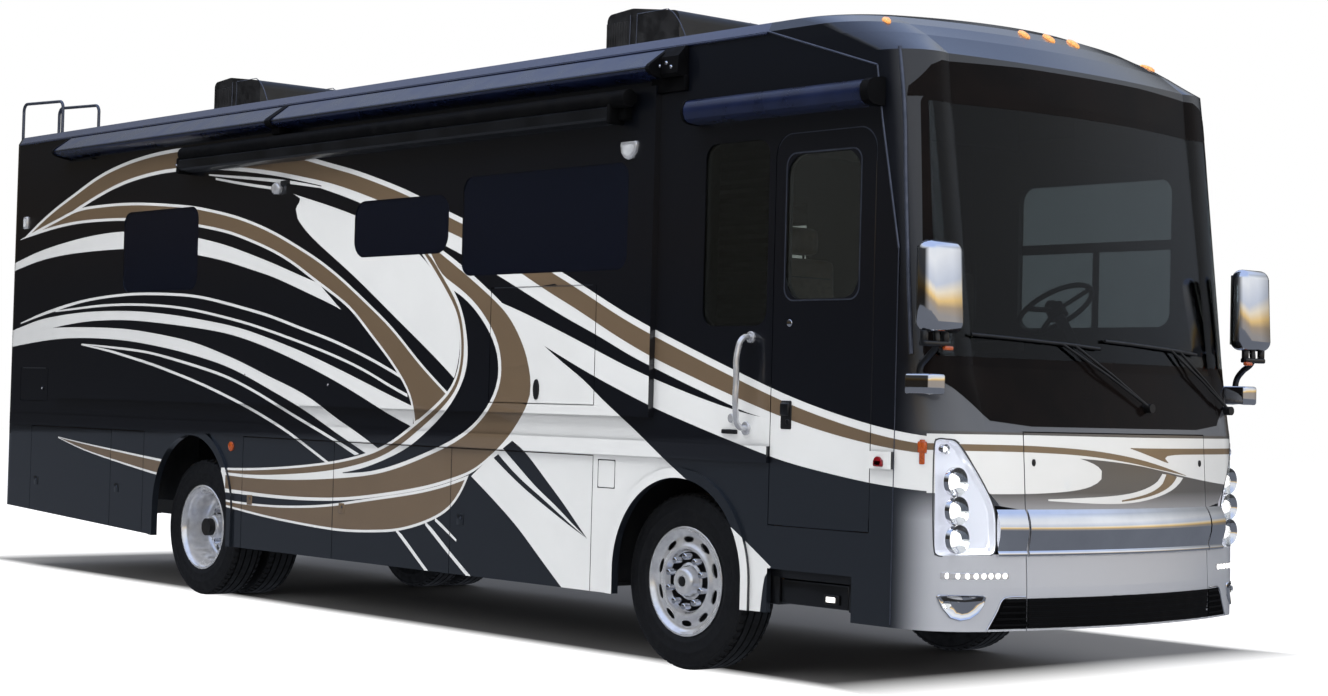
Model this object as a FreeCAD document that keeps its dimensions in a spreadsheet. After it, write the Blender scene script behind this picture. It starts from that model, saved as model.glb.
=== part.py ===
"""Class-A motorhome, built as a parametric FreeCAD document.

Millimetres, +X forward, +Y to the left side, +Z up.  Stations along the coach are measured
from the rear axle; every finished piece is then shifted so that the origin lies on the
ground under the middle of the coach.
"""
import FreeCAD
import Part
import Sketcher
import math
import os
import re

V = FreeCAD.Vector

# name, value in mm or degrees, what it is
SIZES = [
    # whole coach
    ("origin_station", 2077, "middle of the coach, ahead of the rear axle"),
    ("wheelbase", 5283, "rear axle to front axle"),
    ("body_width", 2565, "over the side walls"),
    ("wall_thickness", 45, "side walls, caps and the entry door"),
    ("skirt_thickness", 30, "skirt panels and bay doors"),
    ("rear_joint", -2963, "station where the side walls meet the rear cap"),
    ("front_joint", 1642, "station where the side walls meet the front cap"),
    ("skirt_bottom", 385, "lower edge of the skirts"),
    ("skirt_top", 1172, "upper edge of the skirts, under the belt"),
    ("belt_top", 1260, "upper edge of the belt, foot of the side walls"),
    ("belt_reach", 22, "how far the belt stands out from the wall"),
    ("floor_height", 1210, "walking surface of the cabin"),
    ("floor_thickness", 60, "cabin floor slab"),
    ("eave_height", 3468, "top of the side walls"),
    ("roof_thickness", 50, "roof panel"),
    ("roof_front", 652, "station where the roof meets the front cap"),
    ("panel_gap", 6, "gap round doors and hatches"),
    ("seat_gap", 0.3, "between a closed door or slide and its seal"),
    ("hinge_radius", 2.4, "barrel of a door's piano hinge"),
    ("hinge_inset", 1.9, "hinge axis beyond the edge of its door"),
    ("glass_thickness", 6, "all panes"),
    ("hood_pin_radius", 8, "trunnions at the foot of the front hood"),
    ("hood_pin_station", 2049, "station of the trunnions"),
    ("hood_pin_height", 420, "height of the trunnions"),
    # wheels, axles and steering
    ("tyre_radius", 490, "standing tyre"),
    ("tyre_width", 255, "across the sidewalls"),
    ("rim_radius", 292, "bead seat"),
    ("tyre_track", 1072, "centreline to the middle of an outer tyre"),
    ("dual_spacing", 300, "between the twin rear tyres"),
    ("hub_reach", 1222, "centreline to the hub's outer end"),
    ("kingpin_track", 950, "centreline to the kingpin"),
    ("kingpin_radius", 20, "kingpin"),
    ("spindle_radius", 35, "front spindle"),
    ("axle_tube_radius", 62, "rear axle tube"),
    ("running_clearance", 0.3, "between a pin and its bore"),
    ("arm_rim_gap", 92, "tie rod pin to the wheel rim's bead seat"),
    ("tie_rod_drop", 70, "centre of the tie rod below the axle"),
    # chassis
    ("rail_track", 470, "centreline to the middle of a rail"),
    ("rail_width", 80, "rail flange"),
    ("rail_bottom", 900, "underside of the rails"),
    ("rail_front", 1497, "front end of the rails"),
    ("rail_rear", -2900, "rear end of the rails"),
    ("bay_floor", 410, "underside of the storage bays"),
    ("pan_thickness", 20, "bay floors and partitions"),
    ("spring_radius", 105, "air spring"),
    # front axle arch and rear axle arch in the skirts
    ("arch_clearance", 45, "wheel opening in the skirt, beyond the tyre"),
    ("arch_rise", 40, "centre of the front wheel opening above the axle"),
    ("rear_arch_rise", 130, "centre of the rear wheel opening above the axle"),
    ("flare_width", 55, "band round a wheel opening"),
    ("flare_reach", 18, "how far the band stands out"),
    # entry door and step
    ("door_rear", 747, "station of the entry door's rear edge"),
    ("door_front", 1474, "station of its front edge"),
    ("door_bottom", 850, "lower edge"),
    ("door_top", 2905, "upper edge"),
    ("door_round", 120, "radius of the door's upper corners"),
    ("step_opening_top", 618, "top of the step box opening"),
    # slide-out
    ("slide_rear", -2150, "station of the slide-out's rear edge"),
    ("slide_front", -203, "station of its front edge"),
    ("slide_bottom", 1394, "lower edge of its face"),
    ("slide_top", 3250, "upper edge of its face"),
    ("slide_flange", 90, "face beyond the wall opening"),
    ("slide_proud", 40, "face in front of the wall"),
    ("slide_depth", 760, "box behind the wall's outer face"),
    ("slide_wall", 30, "walls of the box"),
    ("slide_clearance", 8, "between the box and the wall opening"),
    ("topper_radius", 50, "slide topper roll"),
    # flap on the slide-out
    ("media_rear", -1685, "station of the media hatch's rear edge"),
    ("media_front", -685, "station of its front edge"),
    ("media_bottom", 1455, "lower edge"),
    ("media_top", 2141, "upper edge"),
    ("media_depth", 150, "niche behind the media hatch"),
    ("hatch_thickness", 25, "small hatch panels"),
    # roof
    ("cooler_rear", -1480, "station of the rear roof unit's rear end"),
    ("front_cooler_rear", 3450, "station of the front roof unit's rear end"),
    ("cooler_length", 700, "roof unit"),
    ("cooler_width", 700, "roof unit"),
    ("cooler_top", 3965, "top of the roof unit"),
    ("dome_station", 1300, "satellite dome"),
    ("dome_radius", 300, "satellite dome"),
    ("dome_top", 3800, "satellite dome"),
    ("awning_radius", 75, "patio awning roll"),
    ("awning_rear", -2062, "station of its rear end"),
    ("awning_front", 39, "station of its front end"),
    ("awning_height", 3365, "middle of the roll"),
    ("door_awning_radius", 62, "door awning roll"),
    ("door_awning_rear", 117, "station of its rear end"),
    ("door_awning_front", 1547, "station of its front end"),
    ("door_awning_height", 3075, "middle of the roll"),
    # front hood and rear hatch
    ("hood_half_width", 748, "centreline to the hood's side seam"),
    ("hood_top", 1372, "upper seam of the front hood"),
    ("hatch_half_width", 560, "rear engine hatch"),
    ("hatch_bottom", 640, "rear engine hatch"),
    ("hatch_top", 1500, "rear engine hatch"),
    ("cap_bottom", 505, "lower edge of the rear cap"),
    # engine and tank
    ("engine_rear", -2750, "station of the engine's rear face"),
    ("engine_front", -900, "station of the gearbox's front face"),
    ("engine_bottom", 480, "underside of the sump"),
    ("tank_rear", -673, "station of the fuel tank's rear face"),
    ("tank_front", -233, "station of its front face"),
    ("tank_bottom", 450, "underside"),
    ("tank_half_width", 550, "centreline to its end"),
    # rear ladder, mirrors
    ("tube_radius", 12.5, "ladder tube"),
    ("ladder_station", -3270, "rails of the ladder"),
    ("ladder_outer", 1120, "centreline to the outer rail"),
    ("ladder_inner", 800, "centreline to the inner rail"),
    ("mirror_station", 1935, "middle of the mirror head"),
    ("mirror_overhang", 42.5, "side wall to the middle of the head"),
    ("mirror_width", 235, "head across the coach"),
    ("mirror_depth", 95, "head along the coach"),
    ("mirror_bottom", 1853, "lower edge of the head"),
    ("mirror_top", 2307, "upper edge of the head"),
    # cab
    ("dash_top", 1640, "top of the dashboard"),
    ("dash_rear", 1357, "face of the dashboard"),
    ("seat_track", 600, "centreline to the middle of a cab seat"),
    ("seat_station", 467, "middle of a cab seat"),
    ("seat_height", 1690, "top of the seat cushion"),
    ("wheel_station", 1097, "middle of the steering wheel"),
    ("wheel_height", 2070, "middle of the steering wheel"),
    ("wheel_rake", 35, "steering wheel, back from level"),
    ("wheel_radius", 228, "steering wheel"),
    # tow hitch and licence plate
    ("receiver_bore", 51, "square inside the hitch receiver"),
    ("receiver_wall", 6.5, "wall of the receiver"),
    ("receiver_height", 460, "middle of the receiver"),
    ("hitch_pin_radius", 8, "pin hole across the receiver"),
    ("plate_hole_x", 177.8, "licence plate holes across"),
    ("plate_hole_z", 120.65, "licence plate holes up and down"),
    ("plate_hole_radius", 3.5, "licence plate holes"),
]
VALUES = {name: value for name, value, words in SIZES}

# stations of the nose, the cab and the fuel tank, which are sized from the front axle
FROM_FRONT_AXLE = {
    "front_joint", "roof_front", "rail_front", "door_rear", "door_front", "slide_front", "media_rear",
    "media_front", "awning_front", "door_awning_rear", "door_awning_front", "tank_rear", "tank_front",
    "mirror_station", "dash_rear", "seat_station", "wheel_station", "hood_pin_station",
}

doc = FreeCAD.newDocument("motorhome")
sheet = doc.addObject("Spreadsheet::Sheet", "sizes")
for row, (name, value, words) in enumerate(SIZES, 1):
    sheet.set(f"A{row}", words)
    sheet.set(f"B{row}", str(value))
    sheet.setAlias(f"B{row}", name)
doc.recompute()

S = {name: float(sheet.get(name)) for name in VALUES}
S.update({name: S["wheelbase"] + S[name] for name in FROM_FRONT_AXLE})
HALF = S["body_width"] / 2
NODES = []


# ---------------------------------------------------------------- helpers
def bound(text):
    """The expression with each size's name pointed at the sheet."""
    def cell(word):
        name = word.group()
        if name in FROM_FRONT_AXLE:
            return f"(sizes.wheelbase + sizes.{name})"
        return f"sizes.{name}" if name in VALUES else name
    return re.sub(r"[a-z_]\w*", cell, text)


def bind(obj, prop, text):
    obj.setExpression(prop, bound(str(text)))


def place(obj, at):
    for axis, text in zip("xyz", at):
        bind(obj, f"Placement.Base.{axis}", text)


def box(name, x, y, z):
    """A box between two expressions along each axis."""
    obj = doc.addObject("Part::Box", name)
    for prop, span in (("Length", x), ("Width", y), ("Height", z)):
        bind(obj, prop, f"({span[1]}) - ({span[0]})")
    place(obj, (x[0], y[0], z[0]))
    return obj


def lateral(side, inner, outer):
    """Span across the coach on one side, from distances off the centreline."""
    return (inner, outer) if side > 0 else (f"-({outer})", f"-({inner})")


TURNS = {
    "x": FreeCAD.Rotation(V(0, 1, 0), 90),
    "y": FreeCAD.Rotation(V(1, 0, 0), -90),
    "z": FreeCAD.Rotation(),
}


def cylinder(name, at, radius, length, along="z"):
    """A cylinder from a point, along a positive axis."""
    obj = doc.addObject("Part::Cylinder", name)
    obj.Placement = FreeCAD.Placement(V(), TURNS[along])
    bind(obj, "Radius", radius)
    bind(obj, "Height", length)
    place(obj, at)
    return obj


def cross_cylinder(name, side, station, height, radius, inner, outer):
    """A cylinder across the coach on one side."""
    span = lateral(side, inner, outer)
    return cylinder(name, (station, span[0], height), radius, f"({outer}) - ({inner})", "y")


def cut(name, base, *tools):
    for count, tool in enumerate(tools):
        obj = doc.addObject("Part::Cut", f"{name}_cut{count}")
        obj.Base = base
        obj.Tool = tool
        base = obj
    return base


def fuse(name, *parts):
    obj = doc.addObject("Part::MultiFuse", name)
    obj.Shapes = list(parts)
    obj.Refine = True
    return obj


def group(name, *parts):
    obj = doc.addObject("Part::Compound", name)
    obj.Links = list(parts)
    return obj


def solid(name, shape):
    obj = doc.addObject("Part::Feature", name)
    obj.Shape = shape
    return obj


def node(label, obj):
    """Finish a sub-part: its label names its file, its placement shifts the origin."""
    wrap = doc.addObject("Part::Compound", "node_" + label)
    wrap.Links = [obj]
    wrap.Label = label
    bind(wrap, "Placement.Base.x", "-origin_station")
    NODES.append(wrap)
    return wrap


def rounded_wire(corners, to_point):
    """Closed wire of lines, with an arc at each corner that has a radius."""
    edges = []
    runs = []
    count = len(corners)
    for i, (a, b, radius) in enumerate(corners):
        here = V(a, b, 0)
        before = V(*corners[i - 1][:2], 0) - here
        after = V(*corners[(i + 1) % count][:2], 0) - here
        if not radius:
            runs.append((here, None, here))
            continue
        half = before.getAngle(after) / 2
        reach = radius / math.tan(half)
        start = here + V(before).normalize() * reach
        end = here + V(after).normalize() * reach
        bisector = (V(before).normalize() + V(after).normalize()).normalize()
        middle = here + bisector * (radius / math.sin(half) - radius)
        runs.append((start, middle, end))
    for i, (start, middle, end) in enumerate(runs):
        if middle is not None:
            edges.append(Part.Arc(to_point(start), to_point(middle), to_point(end)).toShape())
        following = runs[(i + 1) % count][0]
        if (following - end).Length > 1e-6:
            edges.append(Part.LineSegment(to_point(end), to_point(following)).toShape())
    return Part.Wire(edges)


def side_prism(corners, low, high):
    """Outline in X and Z, extruded across the coach."""
    wire = rounded_wire(corners, lambda p: V(p.x, low, p.y))
    return Part.Face(wire).extrude(V(0, high - low, 0))


def front_prism(corners, low, high):
    """Outline in Y and Z, extruded along the coach."""
    wire = rounded_wire(corners, lambda p: V(low, p.x, p.y))
    return Part.Face(wire).extrude(V(high - low, 0, 0))


def rectangle(a0, a1, b0, b1, radius=0):
    return [(a0, b0, radius), (a1, b0, radius), (a1, b1, radius), (a0, b1, radius)]


def window_prism(name, side, x0, x1, z0, z1, radius, inner, outer):
    low, high = sorted((side * inner, side * outer))
    return solid(name, side_prism(rectangle(x0, x1, z0, z1, radius), low, high))


def rod(start, end, radius):
    """Round bar between two points."""
    run = V(*end) - V(*start)
    return Part.makeCylinder(radius, run.Length, V(*start), run)


def tube_path(points, radius, bend):
    """Round bar along straight runs with tangent bends."""
    edges = []
    last = V(*points[0])
    for i in range(1, len(points) - 1):
        here = V(*points[i])
        before = (V(*points[i - 1]) - here).normalize()
        after = (V(*points[i + 1]) - here).normalize()
        half = before.getAngle(after) / 2
        start = here + before * (bend / math.tan(half))
        end = here + after * (bend / math.tan(half))
        middle = here + (before + after).normalize() * (bend / math.sin(half) - bend)
        edges.append(Part.LineSegment(last, start).toShape())
        edges.append(Part.Arc(start, middle, end).toShape())
        last = end
    edges.append(Part.LineSegment(last, V(*points[-1])).toShape())
    path = Part.Wire(edges)
    direction = V(*points[1]) - V(*points[0])
    profile = Part.Wire(Part.makeCircle(radius, V(*points[0]), direction))
    return path.makePipeShell([profile], True, False)


# ---------------------------------------------------------------- the two moulded caps
# height, station at the centreline, station at the shoulder, shoulder off the centreline,
# station where the corner meets the side, half width
W = HALF
# the front cap, its stations counted from the front axle
FRONT_FORM = [
    (385, 2154, 2015, 980, 1647, W),
    (600, 2145, 2015, 980, 1647, W),
    (980, 2115, 2002, 980, 1647, W),
    (1372, 2085, 1979, 980, 1642, W),
    (1690, 1987, 1885, 980, 1632, W),
    (3090, 1817, 1692, 980, 1487, W),
    (3290, 1757, 1669, 980, 1457, W),
    (3400, 1642, 1517, 980, 1197, W),
    (3468, 1557, 1397, 980, 1047, W - 2),
    (3520, 1472, 1277, 980, 847, W - 30),
    (3560, 1367, 1167, 800, 717, W - 200),
    (3600, 1167, 1097, 300, 767, W - 850),
]
FRONT_AXLE = S["wheelbase"]
FRONT_SECTIONS = [(height, FRONT_AXLE + middle, FRONT_AXLE + shoulder, reach, FRONT_AXLE + side, half)
                  for height, middle, shoulder, reach, side, half in FRONT_FORM]
REAR_SECTIONS = [
    (505, -3140, -3128, 1080, -2970, W),
    (1260, -3155, -3140, 1080, -2970, W),
    (3468, -3160, -3145, 1080, -2970, W - 2),
    (3520, -3140, -3120, 1060, -2970, W - 30),
    (3560, -3090, -3070, 850, -2960, W - 200),
    (3600, -3010, -2990, 300, -2920, W - 850),
]
CROWN = [(3468, W - 2), (3520, W - 30), (3560, W - 200), (3600, W - 850)]


def cap_volume(sections, back, inset, first, last):
    """Solid of a cap's outer form, moved inwards by inset, from its sections."""
    wires = []
    for index, (height, middle, shoulder, reach, side, half) in enumerate(sections):
        ahead = 1 if middle > back else -1
        top = height > sections[-1][0] - 320
        level = height - (inset if top else 0)
        level = first if index == 0 and first is not None else level
        level = last if index == len(sections) - 1 and last is not None else level
        half = half - inset
        reach = min(reach, half - 30)
        nose = middle - ahead * inset
        x = shoulder - ahead * inset
        root = side - ahead * inset * (0.4 if not top else 1)
        run, rise = abs(x - root), half - reach
        radius = (run * run + rise * rise) / (2 * rise)
        turn = math.asin(min(1, run / radius)) / 2
        mid_x = root + ahead * radius * math.sin(turn)
        mid_y = half - radius * (1 - math.cos(turn))
        p = {
            "rear_right": V(back, -half, level), "root_right": V(root, -half, level),
            "bend_right": V(mid_x, -mid_y, level), "right": V(x, -reach, level),
            "nose": V(nose, 0, level), "left": V(x, reach, level),
            "bend_left": V(mid_x, mid_y, level), "root_left": V(root, half, level),
            "rear_left": V(back, half, level),
        }
        wires.append(Part.Wire([
            Part.LineSegment(p["rear_right"], p["root_right"]).toShape(),
            Part.Arc(p["root_right"], p["bend_right"], p["right"]).toShape(),
            Part.Arc(p["right"], p["nose"], p["left"]).toShape(),
            Part.Arc(p["left"], p["bend_left"], p["root_left"]).toShape(),
            Part.LineSegment(p["root_left"], p["rear_left"]).toShape(),
            Part.LineSegment(p["rear_left"], p["rear_right"]).toShape(),
        ]))
    return Part.makeLoft(wires, True, True)


t = S["wall_thickness"]
CAP_BACK = S["roof_front"] - 600
front_outer = cap_volume(FRONT_SECTIONS, CAP_BACK, 0, S["skirt_bottom"], None)
front_inner = cap_volume(FRONT_SECTIONS, CAP_BACK - 10, t, S["skirt_bottom"] - 50, None)
front_glass = cap_volume(FRONT_SECTIONS, CAP_BACK - 10, S["glass_thickness"], S["skirt_bottom"] - 50, None)
rear_outer = cap_volume(REAR_SECTIONS, S["rear_joint"] + 200, 0, S["cap_bottom"], None)
rear_inner = cap_volume(REAR_SECTIONS, S["rear_joint"] + 210, t, S["cap_bottom"] - 50, None)

# side view of the joint between the front cap and the body behind it
JOINT = [
    (S["front_joint"], 2280, 0),
    (FRONT_AXLE + 1507, 2950, 0),
    (FRONT_AXLE + 1465, 3215, 100),
    (S["roof_front"], S["eave_height"], 0),
]
body_side = [(CAP_BACK - 50, 300, 0), (S["front_joint"], 300, 0)] + JOINT
body_side += [(S["roof_front"], 3800, 0), (CAP_BACK - 50, 3800, 0)]
behind_joint = side_prism(body_side, -W - 50, W + 50)

# openings in the front cap, seen from ahead
windscreen_outline = [(-1235, 1702, 60), (1235, 1702, 60), (1185, 3070, 60), (-1185, 3070, 60)]
NOSE_BACK, NOSE_AHEAD = FRONT_AXLE + 1417, FRONT_AXLE + 2417
windscreen_cut = front_prism(windscreen_outline, NOSE_BACK, NOSE_AHEAD)
headlamp_outline = [(1212, 757), (765, 770), (765, 985), (905, 1005), (985, 1085), (1141, 1332), (1212, 1332)]


def headlamp_cut(side):
    return front_prism([(side * a, b, 0) for a, b in headlamp_outline], FRONT_AXLE + 1677, NOSE_AHEAD)


hood_half = S["hood_half_width"]
hood_zone = front_prism(rectangle(-hood_half, hood_half, 200, S["hood_top"]), FRONT_AXLE + 1817, NOSE_AHEAD)
gap = S["panel_gap"]
hood_clear = front_prism(
    rectangle(-hood_half - gap, hood_half + gap, 200, S["hood_top"] + gap), FRONT_AXLE + 1817, NOSE_AHEAD)

front_shell = front_outer.cut(front_inner)
cap_shape = front_shell.cut(behind_joint).cut(windscreen_cut).cut(hood_clear)
hood_shape = front_shell.common(hood_zone)
for side in (-1, 1):
    foot = V(S["hood_pin_station"], side * (hood_half - 30), S["hood_pin_height"])
    cap_shape = cap_shape.cut(headlamp_cut(side))
    cap_shape = cap_shape.cut(Part.makeCylinder(
        S["hood_pin_radius"] + S["running_clearance"], 60, foot, V(0, side, 0)))
    hood_shape = hood_shape.fuse(Part.makeCylinder(S["hood_pin_radius"], 48, foot, V(0, side, 0)))
node("front_cap", solid("front_cap_shell", cap_shape))
node("windscreen", solid("windscreen_pane", front_outer.cut(front_glass).common(windscreen_cut)))
lamps = [front_shell.common(headlamp_cut(side)) for side in (-1, 1)]
node("headlamps", solid("headlamp_pair", Part.makeCompound(lamps)))
node("front_hood", solid("hood_panel", hood_shape))

# rear cap with the engine hatch
hatch = S["hatch_half_width"]
hatch_zone = front_prism(rectangle(-hatch, hatch, S["hatch_bottom"], S["hatch_top"]), -3400, -3000)
hatch_clear = front_prism(rectangle(
    -hatch - gap, hatch + gap, S["hatch_bottom"] - gap, S["hatch_top"] + gap), -3400, -3000)
hatch_depth = S["hatch_thickness"] + 5
hatch_ledge = 25


def rear_skin(depth):
    """Outer layer of the rear cap, as thick as depth."""
    return rear_outer.cut(cap_volume(
        REAR_SECTIONS, S["rear_joint"] + 210, depth, S["cap_bottom"] - 50, None))


rear_panel = rear_skin(hatch_depth)
rear_recess = rear_skin(hatch_depth + S["seat_gap"])
hatch_through = front_prism(rectangle(
    -hatch + hatch_ledge, hatch - hatch_ledge, S["hatch_bottom"] + hatch_ledge, S["hatch_top"] - hatch_ledge),
    -3400, -3000)
ahead_of_joint = Part.makeBox(900, 2 * W + 200, 4000, V(S["rear_joint"], -W - 100, 0))
rear_shell = rear_outer.cut(rear_inner)
plate_z = 1750
plate_mount = Part.makeBox(60, 330, 190, V(-3185, -165, plate_z - 95))
plate_mount = plate_mount.cut(rear_outer)
for a in (-1, 1):
    for b in (-1, 1):
        hole = Part.makeCylinder(
            S["plate_hole_radius"], 18,
            V(-3190, a * S["plate_hole_x"] / 2, plate_z + b * S["plate_hole_z"] / 2), V(1, 0, 0))
        plate_mount = plate_mount.cut(hole)
rear_cap_shape = rear_shell.cut(ahead_of_joint).cut(rear_recess.common(hatch_clear)).cut(hatch_through)
hatch_axis = V(REAR_SECTIONS[1][1], -hatch + 60, S["hatch_top"] + S["hinge_inset"])
hatch_hinge = Part.makeCylinder(S["hinge_radius"], 2 * hatch - 120, hatch_axis, V(0, 1, 0))
node("rear_cap", solid("rear_cap_shell", rear_cap_shape.fuse(plate_mount)))
node("engine_hatch", solid("engine_hatch_panel", rear_panel.common(hatch_zone).fuse(hatch_hinge)))

# roof panel between the caps
def crown_outline(drop):
    right = [(-(half - drop * 0.7), height - drop, 0) for height, half in CROWN]
    left = [(half - drop * 0.7, height - drop, 0) for height, half in reversed(CROWN)]
    return right + left


roof_outer = front_prism(crown_outline(0), S["rear_joint"], S["roof_front"])
roof_inner = front_prism(
    [(-W + t, S["eave_height"] - 200, 0)] + crown_outline(S["roof_thickness"])[1:-1]
    + [(W - t, S["eave_height"] - 200, 0)], S["rear_joint"] - 10, S["roof_front"] + 10)
node("roof", solid("roof_panel", roof_outer.cut(roof_inner)))


# ---------------------------------------------------------------- side walls
def wall_blank(side):
    low, high = sorted((side * (HALF - t), side * HALF))
    outline = [(S["rear_joint"], S["belt_top"], 0), (S["front_joint"], S["belt_top"], 0)]
    outline += JOINT + [(S["rear_joint"], S["eave_height"], 0)]
    return side_prism(outline, low, high)


# window outlines: name, rear, front, bottom, top, corner radius
RIGHT_WINDOWS = [("cab_window", S["door_rear"] - 562, S["door_rear"] - 54, 1899, 2893, 85)]
LEFT_WINDOWS = [
    ("driver_window", FRONT_AXLE + 277, FRONT_AXLE + 1417, 1990, 2850, 85),
    ("dinette_window", 2100, 3700, 2224, 2836, 90),
    ("galley_window", 300, 1100, 2373, 2742, 115),
    ("bedroom_window", -1900, -780, 2207, 2812, 100),
]
SLIDE_WINDOWS = [
    ("lounge_window", S["slide_front"] - 1802, S["slide_front"] - 219, 2224, 2836, 90),
    ("kitchen_window", S["slide_front"] - 3001, S["slide_front"] - 1947, 2373, 2742, 115),
    ("bed_window", -1073, 46, 2207, 2812, 100),
]


def door_outline(extra):
    """Entry door seen from the side, grown by extra all round."""
    x0, x1 = S["door_rear"] - extra, S["door_front"] + extra
    z0, z1 = S["door_bottom"] - extra, S["door_top"] + extra
    r = S["door_round"]
    return [(x0, z0, 0), (x1, z0, 0), (x1, z1, r), (x0, z1, r)]


door_hole = solid("door_hole", side_prism(door_outline(gap), -W - 60, -W + 80))
slide_hole = box(
    "slide_hole", ("slide_rear + slide_flange", "slide_front - slide_flange"),
    ("-body_width / 2 - 10", "-body_width / 2 + wall_thickness + 10"),
    ("slide_bottom + slide_flange / 2", "slide_top - slide_flange / 2"))
side_hatch = (-2825, -2347, 1367, 1625)


def window_holes(table, side, thickness, offset=0):
    return [window_prism(name + "_hole", side, *span, HALF + offset - thickness - 10, HALF + offset + 10)
            for name, *span in table]


def panes(table, side, offset=0):
    outer = HALF + offset - 6
    return [window_prism(name + "_pane", side, *span, outer - S["glass_thickness"], outer)
            for name, *span in table]


hatch_hole = window_prism(
    "side_hatch_hole", -1, side_hatch[0] - gap, side_hatch[1] + gap, side_hatch[2] - gap,
    side_hatch[3] + gap, 20, HALF - S["hatch_thickness"] - S["seat_gap"], HALF + 10)
node("right_wall", cut("right_wall_panel", solid("right_wall_blank", wall_blank(-1)), door_hole, slide_hole,
                       hatch_hole, *window_holes(RIGHT_WINDOWS, -1, t)))
node("left_wall", cut("left_wall_panel", solid("left_wall_blank", wall_blank(1)),
                      *window_holes(LEFT_WINDOWS, 1, t)))
node("side_windows", group("fixed_panes", *panes(RIGHT_WINDOWS, -1), *panes(LEFT_WINDOWS, 1)))


def level_hinge(name, rear, front, height, depth):
    """Piano hinge along the coach, over the top edge of a flap on the right."""
    return cylinder(name, (f"{rear} + 30", f"-({depth})", f"{height} + hinge_inset"), "hinge_radius",
                    f"{front} - ({rear}) - 60", "x")


node("rear_side_hatch", fuse(
    "side_hatch_hinged",
    window_prism("side_hatch_panel", -1, *side_hatch, 16, HALF - S["hatch_thickness"], HALF),
    level_hinge("side_hatch_hinge", side_hatch[0], side_hatch[1], side_hatch[3], "body_width / 2")))

# belts: a ledge the whole length of each side wall, broken at the entry door
belts = [box(f"{word}_belt_bar", ("rear_joint", "front_joint"),
             lateral(side, "body_width / 2 - wall_thickness", "body_width / 2 + belt_reach"),
             ("skirt_top", "belt_top")) for side, word in ((-1, "right"), (1, "left"))]
node("belt_mouldings", group("belt_pair", cut("right_belt", belts[0], door_hole), belts[1]))


# ---------------------------------------------------------------- skirts and bay doors
# name, station of the rear seam, station of the front seam
BAY_SEAMS = (690, 1852, 3178, FRONT_AXLE - 722)
RIGHT_BAYS = [("right_bay_door_1", -2600, -1250), ("right_bay_door_2", -1250, -738)]
RIGHT_BAYS += [(f"right_bay_door_{n + 3}", BAY_SEAMS[n], BAY_SEAMS[n + 1]) for n in range(3)]
LEFT_BAYS = [(f"left_bay_door_{n + 1}", BAY_SEAMS[n], BAY_SEAMS[n + 1]) for n in range(3)]
FUEL_DOOR = (FRONT_AXLE - 671, FRONT_AXLE - 527, 985, 1138)
SKIRT_EDGE = [(S["rear_joint"], S["cap_bottom"]), (-560, 400), (-500, S["skirt_bottom"])]


def skirt_outline(grow):
    """Side view of the whole skirt, with its lower edge raised by grow."""
    lower = [(a, b + grow, 0) for a, b in SKIRT_EDGE]
    lower += [(S["front_joint"], S["skirt_bottom"] + grow, 0)]
    return lower + [(S["front_joint"], S["skirt_top"], 0), (S["rear_joint"], S["skirt_top"], 0)]


def arch_cut(station, height, radius, low, high):
    wheel = Part.makeCylinder(radius, high - low, V(station, low, height), V(0, 1, 0))
    below = Part.makeBox(2 * radius, high - low, height, V(station - radius, low, 0))
    return wheel.fuse(below)


ARCH_RADIUS = S["tyre_radius"] + S["arch_clearance"]
ARCHES = [(-20, S["tyre_radius"] + S["rear_arch_rise"], ARCH_RADIUS),
          (FRONT_AXLE + 27, S["tyre_radius"] + S["arch_rise"], ARCH_RADIUS)]


def skirt(side, bays, fuel):
    low, high = sorted((side * (HALF - S["skirt_thickness"]), side * HALF))
    panel = side_prism(skirt_outline(0), low, high)
    flare_low, flare_high = sorted((side * (HALF - S["skirt_thickness"]), side * (HALF + S["flare_reach"])))
    whole = side_prism(skirt_outline(0), flare_low, flare_high)
    for station, height, radius in ARCHES:
        band = arch_cut(station, height, radius + S["flare_width"], flare_low, flare_high)
        panel = panel.fuse(band.common(whole))
    for station, height, radius in ARCHES:
        panel = panel.cut(arch_cut(station, height, radius, -W - 90, W + 90))
    for name, rear, front in bays:
        opening = rectangle(rear - gap / 2, front + gap / 2, 200, S["skirt_top"] - gap)
        panel = panel.cut(side_prism(opening, low, high))
    if fuel:
        x0, x1, z0, z1 = FUEL_DOOR
        recess = rectangle(x0 - gap, x1 + gap, z0 - gap, z1 + gap)
        panel = panel.cut(side_prism(recess, -W - 10, -W + S["hatch_thickness"] + S["seat_gap"]))
        step = rectangle(S["door_rear"], S["door_front"] - 107, 200, S["step_opening_top"])
        panel = panel.cut(side_prism(step, low - 90, high + 90)).cut(side_prism(door_outline(gap), low, high))
    return panel.removeSplitter()


def bay_door(side, rear, front):
    low, high = sorted((side * (HALF - S["skirt_thickness"]), side * HALF))
    zone = side_prism(rectangle(rear + gap / 2, front - gap / 2, 200, S["skirt_top"] - 2 * gap), low, high)
    panel = side_prism(skirt_outline(0), low, high).common(zone)
    foot = V(front - gap / 2 + S["hinge_inset"], side * HALF, S["cap_bottom"] + 60)
    return panel.fuse(Part.makeCylinder(S["hinge_radius"], S["skirt_top"] - S["cap_bottom"] - 140, foot))


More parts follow.
